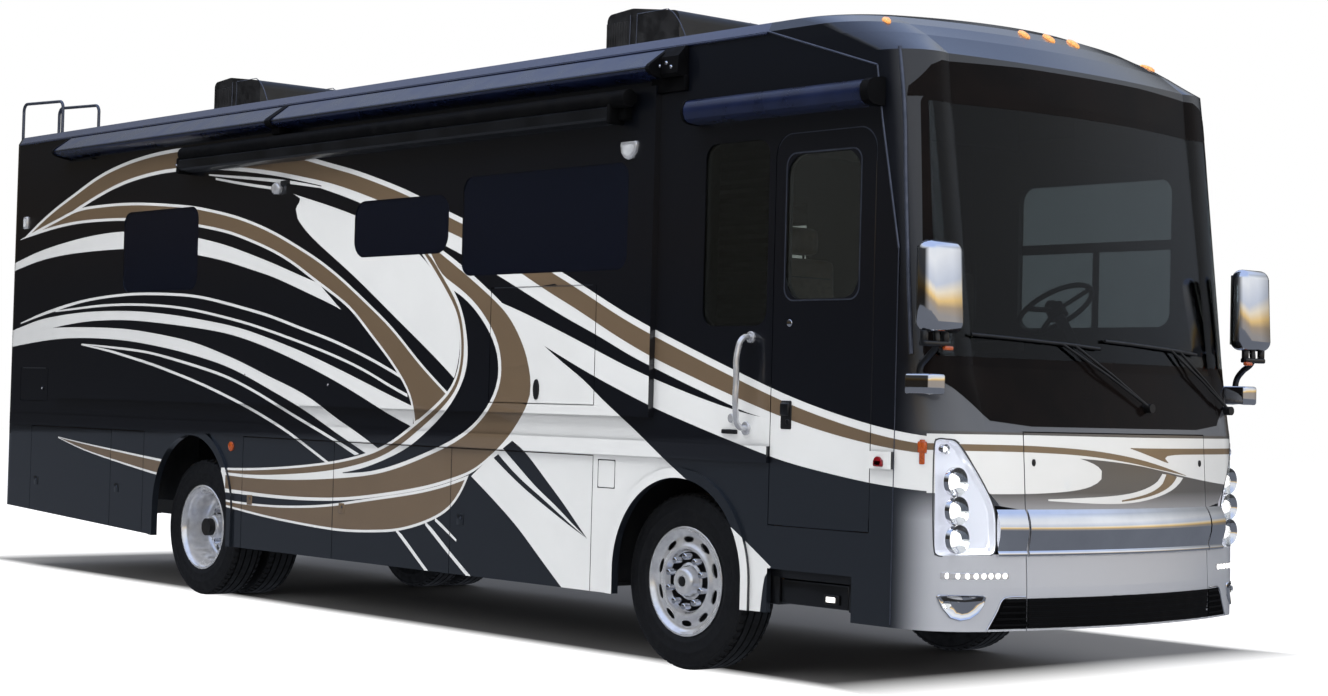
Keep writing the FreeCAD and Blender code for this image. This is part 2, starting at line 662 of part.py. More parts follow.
node("right_skirt", solid("right_skirt_panel", skirt(-1, RIGHT_BAYS, True)))
node("left_skirt", solid("left_skirt_panel", skirt(1, LEFT_BAYS, False)))
for side, bays in ((-1, RIGHT_BAYS), (1, LEFT_BAYS)):
    for name, rear, front in bays:
        node(name, solid(name + "_panel", bay_door(side, rear, front)))
x0, x1, z0, z1 = FUEL_DOOR
fuel_panel = window_prism("fuel_door_panel", -1, x0, x1, z0, z1, 10, HALF - S["hatch_thickness"], HALF)
fuel_hinge = cylinder("fuel_door_hinge", (f"{x1} + hinge_inset", "-body_width / 2", z0 + 20),
                      "hinge_radius", z1 - z0 - 40)
node("fuel_door", fuse("fuel_door_hinged", fuel_panel, fuel_hinge))

# ---------------------------------------------------------------- slide-out
FACE = "-body_width / 2 - slide_proud"
slide_face = box("slide_face", ("slide_rear", "slide_front"),
                 (FACE, "-body_width / 2 - seat_gap"), ("slide_bottom", "slide_top"))
shell_x = ("slide_rear + slide_flange + slide_clearance", "slide_front - slide_flange - slide_clearance")
shell_z = ("slide_bottom + slide_flange / 2 + slide_clearance",
           "slide_top - slide_flange / 2 - slide_clearance")
slide_shell = box("slide_shell", shell_x,
                  (FACE, "-body_width / 2 + slide_depth"), shell_z)
slide_inside = box("slide_inside", (f"{shell_x[0]} + slide_wall", f"{shell_x[1]} - slide_wall"),
                   ("-body_width / 2 + 2", "-body_width / 2 + slide_depth + 10"),
                   (f"{shell_z[0]} + slide_wall", f"{shell_z[1]} - slide_wall"))
media_recess = box("media_recess", ("media_rear - panel_gap", "media_front + panel_gap"),
                   (f"{FACE} - 5", f"{FACE} + hatch_thickness + seat_gap"),
                   ("media_bottom - panel_gap", "media_top + panel_gap"))
media_niche = box("media_niche", ("media_rear + 20", "media_front - 20"),
                  (f"{FACE} - 5", "-body_width / 2 + media_depth - 15"),
                  ("media_bottom + 20", "media_top - 20"))
media_box = box("media_box", ("media_rear - panel_gap - 15", "media_front + panel_gap + 15"),
                (FACE, "-body_width / 2 + media_depth"),
                ("media_bottom - panel_gap - 6", "media_top + panel_gap + 15"))
topper = cylinder("topper_roll", (-80, f"{FACE} - topper_radius - 20", 3185),
                  "topper_radius", "slide_front - 70", "x")
topper_feet = [box(f"topper_foot_{n}", (x, f"{x} + 60"),
                   (f"{FACE} - topper_radius - 20", FACE),
                   (3165, 3205)) for n, x in enumerate(("-60", "slide_front - 230"))]
slide_body = cut("slide_out_body", fuse("slide_out_joined", slide_face, slide_shell), slide_inside)
slide_body = fuse("slide_with_niche", slide_body, media_box)
slide_body = cut("slide_opened", slide_body, media_recess, media_niche,
                 *window_holes(SLIDE_WINDOWS, -1, S["slide_proud"] + 60, S["slide_proud"]))
node("slide_out", fuse("slide_finished", slide_body, topper, *topper_feet))
node("slide_out_glass", group("slide_panes", *panes(SLIDE_WINDOWS, -1, S["slide_proud"])))
node("media_hatch", fuse(
    "media_hatch_hinged",
    level_hinge("media_hatch_hinge", "media_rear", "media_front", "media_top",
                "body_width / 2 + slide_proud"),
    box("media_hatch_panel", ("media_rear", "media_front"), (FACE, f"{FACE} + hatch_thickness"),
        ("media_bottom", "media_top"))))

# ---------------------------------------------------------------- entry door and its step
door_glass = [("door_glass", S["door_rear"] + 86, S["door_front"] - 109, 2036, 2796, 110)]
door_panel = solid("door_panel", side_prism(door_outline(0), -W, -W + t))
door_hinge = cylinder("door_hinge", ("door_front + hinge_inset", "-body_width / 2", "door_bottom + 60"),
                      "hinge_radius", "door_top - door_bottom - door_round - 120")
door_panel = cut("entry_door_cut", door_panel, *window_holes(door_glass, -1, t))
node("entry_door", fuse("entry_door_hinged", door_panel, door_hinge))
node("entry_door_glass", panes(door_glass, -1)[0])

# ---------------------------------------------------------------- floor, stairwell and bays
floor_slab = box("floor_slab", ("rear_joint", "front_joint"),
                 ("-body_width / 2 + wall_thickness", "body_width / 2 - wall_thickness"),
                 ("floor_height - floor_thickness", "floor_height"))
FLOOR_UNDERSIDE = "floor_height - floor_thickness"
stair_void = box("stair_void", ("door_rear", "door_front"),
                 ("-body_width / 2", "-body_width / 2 + 620"), (f"{FLOOR_UNDERSIDE} - 5", "floor_height + 5"))
landing = box("landing", ("door_rear", "door_front"),
              ("-body_width / 2 + wall_thickness + seat_gap", "-body_width / 2 + 400"), (810, 860))
riser_low = box("riser_low", ("door_rear", "door_front"),
                ("-body_width / 2 + 380", "-body_width / 2 + 400"), (810, 1030))
middle_step = box("middle_step", ("door_rear", "door_front"),
                  ("-body_width / 2 + 380", "-body_width / 2 + 640"), (1010, 1040))
riser_high = box("riser_high", ("door_rear", "door_front"),
                 ("-body_width / 2 + 620", "-body_width / 2 + 640"), (1010, "floor_height - floor_thickness"))
step_plates = [box(f"step_plate_{n}", (x, f"{x} + 12"),
                   ("-body_width / 2 + 60", "-body_width / 2 + 400"), (500, 820))
               for n, x in enumerate(("door_rear + 58", "door_front - 177"))]
node("cabin_floor", fuse("floor_and_stairs", cut("floor_cut", floor_slab, stair_void),
                         landing, riser_low, middle_step, riser_high, *step_plates))

pan_half = "body_width / 2 - skirt_thickness - seat_gap"
BAY_WALLS = (BAY_SEAMS[0] - 40, BAY_SEAMS[1] + 3, BAY_SEAMS[2] + 2, BAY_SEAMS[3] + 19)
across = (f"-({pan_half})", pan_half)
bay_pan = box("bay_pan", (BAY_WALLS[0] - 10, BAY_WALLS[-1] + 20), across,
              ("bay_floor", "bay_floor + pan_thickness"))
bay_walls = [box(f"bay_wall_{n}", (x - 10, x + 10), across, ("bay_floor", "rail_bottom"))
             for n, x in enumerate(BAY_WALLS)]
bay_uprights = [box(f"bay_upright_{n}_{m}", (x - 10, x + 10),
                    lateral(m, "rail_track + rail_width / 2", pan_half), ("rail_bottom", FLOOR_UNDERSIDE))
                for n, x in enumerate(BAY_WALLS) for m in (-1, 1)]
node("storage_bays", fuse("storage_joined", bay_pan, *bay_walls, *bay_uprights))

# ---------------------------------------------------------------- chassis
rails = [box(f"rail_{n}", ("rail_rear", "rail_front"),
             (f"{m} * rail_track - rail_width / 2", f"{m} * rail_track + rail_width / 2"),
             ("rail_bottom", "floor_height - floor_thickness")) for n, m in enumerate((-1, 1))]
rail_inner = "rail_track - rail_width / 2"
rail_outer = "rail_track + rail_width / 2"
crossmembers = [box(f"crossmember_{n}", (x - 40, x + 40),
                    (f"seat_gap - ({rail_inner})", f"{rail_inner} - seat_gap"), ("rail_bottom + 40", 1110))
                for n, x in enumerate((-2860, -480, 1250, 2500, FRONT_AXLE - 1383, FRONT_AXLE - 383,
                                       FRONT_AXLE + 417, FRONT_AXLE + 1437))]
outriggers = [box(f"outrigger_{n}_{m}", (x - 30, x + 30), lateral(m, f"{rail_outer} + seat_gap", pan_half),
                  (f"{FLOOR_UNDERSIDE} - 70", FLOOR_UNDERSIDE))
              for n, x in enumerate((-2860, -1250, 1250, 2500, FRONT_AXLE - 1383)) for m in (-1, 1)]
drop = box("hitch_drop", (-2900, -2820), (-60, 60), ("receiver_height", "rail_bottom + 40 - seat_gap"))
receiver_half = "receiver_bore / 2 + receiver_wall"
receiver = box("receiver_tube", (-3230, -2820), (f"-({receiver_half})", receiver_half),
               (f"receiver_height - ({receiver_half})", f"receiver_height + {receiver_half}"))
receiver_void = box("receiver_void", (-3240, -2930), ("-receiver_bore / 2", "receiver_bore / 2"),
                    ("receiver_height - receiver_bore / 2", "receiver_height + receiver_bore / 2"))
pin_hole = cylinder("hitch_pin_hole", (-3180, "-receiver_bore", "receiver_height"),
                    "hitch_pin_radius", "2 * receiver_bore", "y")
hitch = cut("hitch_cut", fuse("hitch_joined", drop, receiver), receiver_void, pin_hole)
node("chassis_frame", group("frame_members", *rails, *crossmembers, *outriggers, hitch))
node("engine", box("engine_block", ("engine_rear", "engine_front"), (f"-({rail_inner})", rail_inner),
                   ("engine_bottom", "rail_bottom + 40")))
node("fuel_tank", box("fuel_tank_box", ("tank_rear", "tank_front"), ("-tank_half_width", "tank_half_width"),
                      ("tank_bottom", "rail_bottom")))

# front axle with forked ends round each knuckle
beam = box("front_beam", ("wheelbase - 55", "wheelbase + 55"), ("-kingpin_track + 95", "kingpin_track - 95"),
           ("tyre_radius - 90", "tyre_radius + 10"))
forks = []
for n, m in enumerate((-1, 1)):
    inner, outer = "kingpin_track - 125", "kingpin_track - 85"
    forks.append(box(f"fork_plate_{n}", ("wheelbase - 55", "wheelbase + 55"), lateral(m, inner, outer),
                     ("tyre_radius - 140", "tyre_radius + 140")))
    for k, z in enumerate(("tyre_radius - 140", "tyre_radius + 100")):
        forks.append(box(f"fork_arm_{n}_{k}", ("wheelbase - 45", "wheelbase + 45"),
                         lateral(m, "kingpin_track - 105", "kingpin_track + 45"), (z, f"{z} + 40")))
    forks.append(cylinder(f"kingpin_{n}", ("wheelbase", f"{m} * kingpin_track", "tyre_radius - 135"),
                          "kingpin_radius", 270))
node("front_axle", fuse("front_axle_joined", beam, *forks))

front_springs = [cylinder(f"front_spring_{n}", ("wheelbase", f"{m} * rail_track", "tyre_radius + 10"),
                          "spring_radius", "rail_bottom - tyre_radius - 10")
                 for n, m in enumerate((-1, 1))]
rear_springs = [cylinder(f"rear_spring_{n}_{k}", (k * 380, f"{m} * rail_track", "tyre_radius + 70"),
                         "spring_radius", "rail_bottom - tyre_radius - 70")
                for n, m in enumerate((-1, 1)) for k in (-1, 1)]
node("air_springs", group("air_spring_set", *front_springs, *rear_springs))

axle_tube = cylinder("axle_tube", (0, "-hub_reach + 60", "tyre_radius"), "axle_tube_radius",
                     "2 * hub_reach - 120", "y")
casing = cylinder("axle_casing", (-20, -150, "tyre_radius"), 190, 300, "y")
nose = cylinder("axle_nose", (-560, 0, "tyre_radius"), 60, 500, "x")
perches = [box(f"perch_{n}", (-480, 480), (f"{m} * rail_track - 70", f"{m} * rail_track + 70"),
               ("tyre_radius - 30", "tyre_radius + 70"))
           for n, m in enumerate((-1, 1))]
node("rear_axle", fuse("rear_axle_joined", axle_tube, casing, nose, *perches))

# knuckles: barrel on the kingpin, spindle outwards, arm backwards
ROD_HEIGHT = "tyre_radius - tie_rod_drop"
ROD_STATION = "wheelbase - (rim_radius - arm_rim_gap)"
for m, word in ((-1, "right"), (1, "left")):
    barrel = cylinder(f"{word}_barrel", ("wheelbase", f"{m} * kingpin_track", "tyre_radius - 94"), 48, 188)
    spindle = cross_cylinder(f"{word}_spindle", m, "wheelbase", "tyre_radius", "spindle_radius",
                             "kingpin_track + 30", "hub_reach - 30")
    arm = box(f"{word}_arm", (f"{ROD_STATION} - 30", "wheelbase - 20"),
              (f"{m} * kingpin_track - 25", f"{m} * kingpin_track + 25"),
              (f"{ROD_HEIGHT} + 22", f"{ROD_HEIGHT} + 52"))
    bore = cylinder(f"{word}_kingpin_bore", ("wheelbase", f"{m} * kingpin_track", "tyre_radius - 190"),
                    "kingpin_radius + running_clearance", 400)
    eye = cylinder(f"{word}_arm_eye", (ROD_STATION, f"{m} * kingpin_track", ROD_HEIGHT),
                   "12 + running_clearance", 100)
    whole = fuse(f"{word}_knuckle_joined", barrel, spindle, arm)
    node(f"{word}_knuckle", cut(f"{word}_knuckle_cut", whole, bore, eye))
rod_tube = cylinder("tie_rod_tube", (ROD_STATION, "-kingpin_track", ROD_HEIGHT), 18,
                    "2 * kingpin_track", "y")
rod_pins = [cylinder(f"tie_rod_pin_{n}", (ROD_STATION, f"{m} * kingpin_track", ROD_HEIGHT),
                     12, 60) for n, m in enumerate((-1, 1))]
node("tie_rod", fuse("tie_rod_joined", rod_tube, *rod_pins))


# ---------------------------------------------------------------- wheels
def turned(name, points, turn, at):
    """Body turned about its own X axis from a profile of (along, radius) expressions."""
    body = doc.addObject("PartDesign::Body", name)
    sketch = body.newObject("Sketcher::SketchObject", name + "_profile")
    plane = next(f for f in body.Origin.OriginFeatures if f.Role == "XY_Plane")
    sketch.AttachmentSupport = [(plane, "")]
    sketch.MapMode = "FlatFace"
    count = len(points)
    turns = [2 * math.pi * i / count for i in range(count)]
    spots = [V(300 + 200 * math.cos(a), 300 + 200 * math.sin(a), 0) for a in turns]
    for i in range(count):
        sketch.addGeometry(Part.LineSegment(spots[i], spots[(i + 1) % count]))
    for i in range(count):
        sketch.addConstraint(Sketcher.Constraint("Coincident", i, 2, (i + 1) % count, 1))
    for i, (along, radius) in enumerate(points):
        for kind, text, start in (("DistanceX", along, spots[i].x), ("DistanceY", radius, spots[i].y)):
            index = sketch.addConstraint(Sketcher.Constraint(kind, -1, 1, i, 1, start))
            sketch.setExpression(f"Constraints[{index}]", bound(str(text)))
    lathe = body.newObject("PartDesign::Revolution", name + "_turned")
    lathe.Profile = sketch
    lathe.ReferenceAxis = (sketch, ["H_Axis"])
    lathe.Angle = 360
    body.Placement = FreeCAD.Placement(V(), FreeCAD.Rotation(V(0, 0, 1), turn))
    place(body, at)
    return body


# rim profiles: distance from the inboard tyre's inboard sidewall, radius
SEAT, LIP, WELL = "rim_radius", "rim_radius + 12", "rim_radius - 12"
DISC, DISH = "rim_radius - 47", "0.51 * rim_radius"
BORE, REAR_BORE = "spindle_radius + running_clearance", "axle_tube_radius + running_clearance"
FRONT_RIM = [
    (12, LIP), (20, LIP), (24, SEAT), ("tyre_width - 24", SEAT), ("tyre_width - 20", LIP),
    ("tyre_width - 12", LIP), ("tyre_width - 12", SEAT), ("tyre_width - 24", WELL),
    ("tyre_width - 60", "rim_radius - 20"), (176, DISC), (168, DISH), (168, 112), (250, 104), (262, 80),
    (262, BORE), (90, BORE), (90, 108), (146, 112), (152, DISC), (140, "rim_radius - 30"), (24, WELL),
    (12, SEAT),
]
OUTBOARD = "dual_spacing + tyre_width"
REAR_RIM = [
    (12, LIP), (20, LIP), (24, SEAT), ("tyre_width - 24", SEAT), ("tyre_width - 20", LIP),
    ("tyre_width - 12", LIP), ("tyre_width - 5", "rim_radius - 7"), ("dual_spacing + 5", "rim_radius - 7"),
    ("dual_spacing + 12", LIP), ("dual_spacing + 20", LIP), ("dual_spacing + 24", SEAT),
    (f"{OUTBOARD} - 24", SEAT), (f"{OUTBOARD} - 20", LIP), (f"{OUTBOARD} - 12", LIP),
    (f"{OUTBOARD} - 12", SEAT), (f"{OUTBOARD} - 24", WELL),
    ("dual_spacing + 45", "rim_radius - 20"), ("dual_spacing + 22", DISC), ("dual_spacing + 16", DISH),
    ("dual_spacing + 16", 112), (f"{OUTBOARD} - 55", 104), (f"{OUTBOARD} - 36", 90),
    (f"{OUTBOARD} - 36", REAR_BORE), (180, REAR_BORE), (180, 112), ("dual_spacing - 12", 112),
    ("dual_spacing - 12", DISC), ("dual_spacing - 30", "rim_radius - 24"), (24, WELL), (12, SEAT),
]


def tyre_ring(offset):
    """One tyre, its inboard sidewall at offset along its own axis."""
    width, bead, tread = S["tyre_width"], S["rim_radius"], S["tyre_radius"]
    belly, bulge, shoulder = bead + 0.45 * (tread - bead), 0.3 * (tread - bead), 0.15 * (tread - bead)
    half = [(width - 24, bead, 0), (width - 24, bead + 14, 0), (width - 10, bead + 22, 0),
            (width, belly, bulge), (width - 6, tread, shoulder)]
    outline = [(offset + a, b, r) for a, b, r in half]
    outline += [(offset + width - a, b, r) for a, b, r in reversed(half)]
    wire = rounded_wire(outline, lambda p: V(p.x, p.y, 0))
    return Part.Face(wire).revolve(V(0, 0, 0), V(1, 0, 0), 360)


for side, word in ((-1, "right"), (1, "left")):
    for axle, profile, station, reach, twin in (
            ("front", FRONT_RIM, "wheelbase", "tyre_track - tyre_width / 2", False),
            ("rear", REAR_RIM, "0", "tyre_track - tyre_width / 2 - dual_spacing", True)):
        label = f"{word}_{axle}"
        spot = (station, f"{side} * ({reach})", "tyre_radius")
        rim = turned(f"{label}_rim_body", profile, 90 * side, spot)
        end = f"{reach} + 262" if not twin else f"{reach} + dual_spacing + tyre_width - 36"
        cap = cross_cylinder(f"{label}_hub_cap", side, station, "tyre_radius", 78, end, "hub_reach")
        holes = []
        for n in range(10):
            x = f"{station} + (rim_radius - 97) * cos({36 * n})"
            z = f"tyre_radius + (rim_radius - 97) * sin({36 * n})"
            holes.append(cross_cylinder(f"{label}_hand_hole_{n}", side, x, z, 31,
                                        f"{reach} + {'dual_spacing - 40' if twin else '130'}",
                                        f"{reach} + {'dual_spacing + 60' if twin else '200'}"))
        holes = group(f"{label}_hand_holes", *holes)
        node(f"{label}_rim", fuse(f"{label}_rim_capped", cut(f"{label}_rim_cut", rim, holes), cap))
        rings = [tyre_ring(0)] + ([tyre_ring(S["dual_spacing"])] if twin else [])
        tyres = solid(f"{label}_tyre_ring", Part.makeCompound(rings))
        tyres.Placement = FreeCAD.Placement(V(), FreeCAD.Rotation(V(0, 0, 1), 90 * side))
        place(tyres, spot)
        node(f"{label}_tyre", tyres)

# ---------------------------------------------------------------- cab
dash_limit = cap_volume(FRONT_SECTIONS, CAP_BACK - 10, t + 1.5, S["skirt_bottom"] - 50, None)
dash_outline = [(S["dash_rear"], 1430, 0), (S["dash_rear"], S["dash_top"] - 30, 30),
                (S["dash_rear"] + 90, S["dash_top"] + 10, 40), (NOSE_AHEAD - 300, S["dash_top"] - 20, 0),
                (NOSE_AHEAD - 300, 1430, 0)]
dash = side_prism(dash_outline, -W + 60, W - 60).common(dash_limit)
face = S["dash_rear"]
binnacle = side_prism([(face - 40, 1560, 0), (face - 40, 1700, 30), (face + 120, 1760, 40),
                       (face + 210, 1600, 0)],
                      S["seat_track"] - 240, S["seat_track"] + 240)
kick = Part.makeBox(30, 2 * W - 2 * t - 2, 1440 - S["floor_height"],
                    V(face + 240, -W + t + 1, S["floor_height"]))
rake = math.radians(S["wheel_rake"])
wheel_axis = V(-math.sin(rake), 0, math.cos(rake))
wheel_centre = V(S["wheel_station"], S["seat_track"], S["wheel_height"])
column = Part.makeCylinder(32, 440, wheel_centre - wheel_axis * 500, wheel_axis)
node("dashboard", solid("dashboard_moulding", dash.fuse(binnacle).fuse(kick).fuse(column)))

ring = Part.makeTorus(S["wheel_radius"], 15, wheel_centre, wheel_axis)
hub = Part.makeCylinder(55, 75, wheel_centre - wheel_axis * (60 - S["seat_gap"]), wheel_axis)
wheel_shape = ring.fuse(hub)
for turn in (20, 160, 270):
    spoke = Part.makeBox(S["wheel_radius"] - 20, 34, 12, V(20, -17, -20))
    spoke.rotate(V(), V(0, 0, 1), turn)
    spoke.rotate(V(), V(0, 1, 0), -S["wheel_rake"])
    spoke.translate(wheel_centre)
    wheel_shape = wheel_shape.fuse(spoke)
node("steering_wheel", solid("steering_wheel_shape", wheel_shape))

seats = []
for n, m in enumerate((-1, 1)):
    middle = f"{m} * seat_track"
    seats.append(fuse(
        f"cab_seat_{n}",
        box(f"pedestal_{n}", ("seat_station - 160", "seat_station + 160"),
            (f"{middle} - 150", f"{middle} + 150"), ("floor_height", "seat_height - 120")),
        box(f"cushion_{n}", ("seat_station - 260", "seat_station + 260"),
            (f"{middle} - 265", f"{middle} + 265"), ("seat_height - 130", "seat_height")),
        box(f"backrest_{n}", ("seat_station - 330", "seat_station - 200"),
            (f"{middle} - 255", f"{middle} + 255"), ("seat_height - 100", "seat_height + 640")),
        box(f"headrest_{n}", ("seat_station - 320", "seat_station - 210"),
            (f"{middle} - 150", f"{middle} + 150"), ("seat_height + 640", "seat_height + 800"))))
node("cab_seats", group("cab_seat_pair", *seats))


# ---------------------------------------------------------------- on the roof and walls
roof_top = CROWN[-1][0]
coolers = []
for rear in (S["cooler_rear"], S["front_cooler_rear"]):
    front = rear + S["cooler_length"]
    coolers.append(side_prism([
        (rear, roof_top, 0), (rear, S["cooler_top"] - 20, 50), (rear + 250, S["cooler_top"], 200),
        (front, S["cooler_top"] - 60, 60), (front, roof_top, 0)],
        -S["cooler_width"] / 2, S["cooler_width"] / 2))
node("roof_air_conditioners", solid("cooler_shrouds", Part.makeCompound(coolers)))
dome_wire = rounded_wire([
    (0, roof_top, 0), (S["dome_radius"], roof_top, 0), (S["dome_radius"] * 0.9, S["dome_top"] - 40, 60),
    (0, S["dome_top"], 0)], lambda p: V(p.x, 0, p.y))
dome = Part.Face(dome_wire).revolve(V(), V(0, 0, 1), 360)
dome.translate(V(S["dome_station"], 0, 0))
node("satellite_dome", solid("dome_shell", dome))


def awning(label, rear, front, height, radius):
    """Rolled awning on the right wall: roll, end caps and feet."""
    centre = f"-(body_width / 2 + {radius} + 1)"
    parts = [cylinder(f"{label}_roll", (rear, centre, height), radius, f"{front} - {rear}", "x")]
    for n, x in enumerate((f"{rear} - 5", f"{front} - 30")):
        parts.append(cylinder(f"{label}_cap_{n}", (x, centre, height), f"{radius} + 8", 40, "x"))
        parts[-1] = cut(f"{label}_cap_trim_{n}", parts[-1], box(
            f"{label}_cap_limit_{n}", (f"{rear} - 50", f"{front} + 50"),
            ("-body_width / 2", "-body_width / 2 + 60"), (f"{height} - 200", f"{height} + 200")))
    return fuse(label + "_joined", *parts)


node("patio_awning", awning("patio_awning", "awning_rear", "awning_front", "awning_height", "awning_radius"))
node("door_awning", awning("door_awning", "door_awning_rear", "door_awning_front", "door_awning_height",
                           "door_awning_radius"))

# rear ladder: two rails that hoop over onto the roof, rungs and stand-offs
x, r = S["ladder_station"], S["tube_radius"]
ladder = []
for y in (-S["ladder_outer"], -S["ladder_inner"]):
    ladder.append(tube_path([(x, y, 950), (x, y, 3835), (x + 710, y, 3805), (x + 710, y, 3480)], r, 60))
    for z in (1150, 2250, 3350):
        ladder.append(rod((x, y, z), (x + 200, y, z), r * 0.9))
for n in range(8):
    z = 1050 + 320 * n
    ladder.append(rod((x, -S["ladder_outer"], z), (x, -S["ladder_inner"], z), r * 0.9))
ladder_shape = ladder[0].fuse(ladder[1:]).cut(rear_outer).cut(roof_outer)
ladder_parts = sorted(ladder_shape.Solids, key=lambda s: -s.Volume)
node("ladder", solid("ladder_tubes", ladder_parts[0]))


def front_station(y, z):
    """Station of the front cap's outer face, from its sections."""
    def plan(row):
        height, middle, shoulder, reach, side, half = row
        if abs(y) <= reach:
            drop = middle - shoulder
            radius = (reach * reach + drop * drop) / (2 * drop)
            return middle - radius + math.sqrt(radius * radius - y * y)
        run, rise = shoulder - side, half - reach
        radius = (run * run + rise * rise) / (2 * rise)
        return side + math.sqrt(max(0, radius ** 2 - (min(abs(y), half) - half + radius) ** 2))
    for low, high in zip(FRONT_SECTIONS, FRONT_SECTIONS[1:]):
        if z <= high[0]:
            share = (z - low[0]) / (high[0] - low[0])
            return (1 - share) * plan(low) + share * plan(high)


mirror_parts = []
for side in (-1, 1):
    track, half = HALF + S["mirror_overhang"], S["mirror_width"] / 2
    low, high = sorted((side * (track - half), side * (track + half)))
    head = front_prism(rectangle(low, high, S["mirror_bottom"], S["mirror_top"], 45),
                       S["mirror_station"] - S["mirror_depth"] / 2,
                       S["mirror_station"] + S["mirror_depth"] / 2)
    foot = (S["mirror_station"] - 208, side * (HALF - 57.5), 1700)
    elbow = (S["mirror_station"] - 40, side * (HALF + 7.5), 1760)
    neck = (S["mirror_station"], side * (track - 20), S["mirror_bottom"] + 20)
    arm = rod(foot, elbow, 16).fuse(rod(elbow, neck, 16)).fuse(Part.makeSphere(16, V(*elbow)))
    low, high = sorted((side * (HALF - 42.5), side * (HALF + 82.5)))
    pod = Part.makeBox(170, high - low, 105, V(S["mirror_station"] - 163, low, 1548))
    strut = Part.makeBox(60, high - low - 30, 60,
                         V(S["mirror_station"] - 158, low + (30 if side < 0 else 0), 1640))
    link = Part.makeBox(120, 40, 40, V(S["mirror_station"] - 228, side * (HALF - 57.5) - 20, 1665))
    whole = head.fuse([arm, pod, strut, link]).cut(front_outer)
    mirror_parts.append(max(whole.Solids, key=lambda s: s.Volume))
node("mirrors", solid("mirror_pair", Part.makeCompound(mirror_parts)))

# wipers: a pivot, two arms and a blade that follows the glass
WIPER_SPACING = 930
BLADE = [(-1000, 1857), (-780, 1848), (-560, 1838), (-340, 1828), (-115, 1814)]


def off_glass(y, z, reach):
    return (front_station(y, z) + reach, y, z)


wiper_parts = []
for shift, pivot_y in ((0, 216), (WIPER_SPACING, 1080)):
    pivot_x, pivot_z = front_station(pivot_y, 1512), 1512
    blade = [off_glass(a + shift, b, 18) for a, b in BLADE]
    pivot = rod((pivot_x - 30, pivot_y, pivot_z), (pivot_x + 50, pivot_y, pivot_z), 24)
    arms = []
    for grip_y, grip_z in ((-400, 1831), (-310, 1827)):
        grip = off_glass(grip_y + shift, grip_z, 20)
        knee = (pivot_x + 36, pivot_y, pivot_z)
        middle = off_glass((pivot_y + grip[1]) / 2, (pivot_z + grip_z) / 2, 46)
        arms.append(tube_path([knee, middle, grip], 7, 400))
    whole = tube_path(blade, 9, 1500).fuse([pivot] + arms).cut(front_outer)
    wiper_parts.append(max(whole.Solids, key=lambda piece: piece.Volume))
node("wipers", solid("wiper_pair", Part.makeCompound(wiper_parts)))

# ---------------------------------------------------------------- entry step
tread = box("step_tread", ("door_rear + 70 + seat_gap", "door_front - 177 - seat_gap"),
            ("-body_width / 2 + 70", "-body_width / 2 + 400"), (530, 562))
nosing = box("step_nosing", ("door_rear + 70 + seat_gap", "door_front - 177 - seat_gap"),
             ("-body_width / 2 + 70", "-body_width / 2 + 82"), (500, 562))
node("entry_step", fuse("entry_step_joined", tread, nosing))

# ---------------------------------------------------------------- check and write
doc.recompute()
bad = [o.Name for o in doc.Objects if set(o.State) & {"Invalid", "Error"}]
if bad:
    raise RuntimeError(f"failed objects: {bad}")
os.makedirs("parts", exist_ok=True)
for item in NODES:
    shape = item.Shape
    if shape.isNull() or not shape.isValid() or not shape.Solids:
        raise RuntimeError(f"bad shape: {item.Label}")
    shape.exportStep(f"parts/{item.Label}.step")
print(len(NODES), "nodes written")
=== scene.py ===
"""Motorhome: a class A coach, finished around its packed construction model."""
import math
from contextlib import contextmanager

import bmesh
import bpy
from mathutils import Matrix, Quaternion, Vector
from mathutils.bvhtree import BVHTree
from mathutils.geometry import delaunay_2d_cdt

import numpy as np


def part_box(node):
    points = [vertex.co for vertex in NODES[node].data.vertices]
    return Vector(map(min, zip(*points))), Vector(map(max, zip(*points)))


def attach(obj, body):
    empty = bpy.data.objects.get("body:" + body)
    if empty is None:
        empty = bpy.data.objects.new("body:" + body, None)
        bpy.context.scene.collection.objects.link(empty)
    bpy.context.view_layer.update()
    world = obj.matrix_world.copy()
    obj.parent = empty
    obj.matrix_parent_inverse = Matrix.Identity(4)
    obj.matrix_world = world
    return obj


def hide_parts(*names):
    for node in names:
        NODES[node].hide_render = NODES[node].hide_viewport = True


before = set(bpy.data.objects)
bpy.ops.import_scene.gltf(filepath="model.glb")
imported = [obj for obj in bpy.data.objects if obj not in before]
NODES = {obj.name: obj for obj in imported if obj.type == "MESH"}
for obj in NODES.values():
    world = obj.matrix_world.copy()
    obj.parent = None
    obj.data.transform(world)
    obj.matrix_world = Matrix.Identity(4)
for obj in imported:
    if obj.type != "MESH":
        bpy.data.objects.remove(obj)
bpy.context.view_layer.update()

bl_info = {
    "name": "Motorhome finish",
    "version": (1, 0, 0),
    "blender": (4, 5, 0),
    "location": "View3D > Sidebar > Motorhome",
    "description": "Paint, trim, lamps, glass and cab fittings of a class A motorhome",
    "category": "Object",
}

RIGHT, LEFT = -1, 1
SIDES = ((RIGHT, "right"), (LEFT, "left"))


def middle(node):
    """Centre of a node's box."""
    low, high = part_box(node)
    return (low + high) / 2


REAR_AXLE = middle("right_rear_tyre").x
FRONT_AXLE = middle("right_front_tyre").x
AXLE_HEIGHT = middle("right_front_tyre").z
BODY_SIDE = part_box("left_wall")[1].y


# ------------------------------------------------------------------ settings
def length(name, text, default):
    return bpy.props.FloatProperty(name=name, description=text, default=default, unit="LENGTH", precision=4)


def colour(name, text, code):
    return bpy.props.FloatVectorProperty(
        name=name, description=text, default=linear(code)[:3], size=3, min=0, max=1, subtype="COLOR")


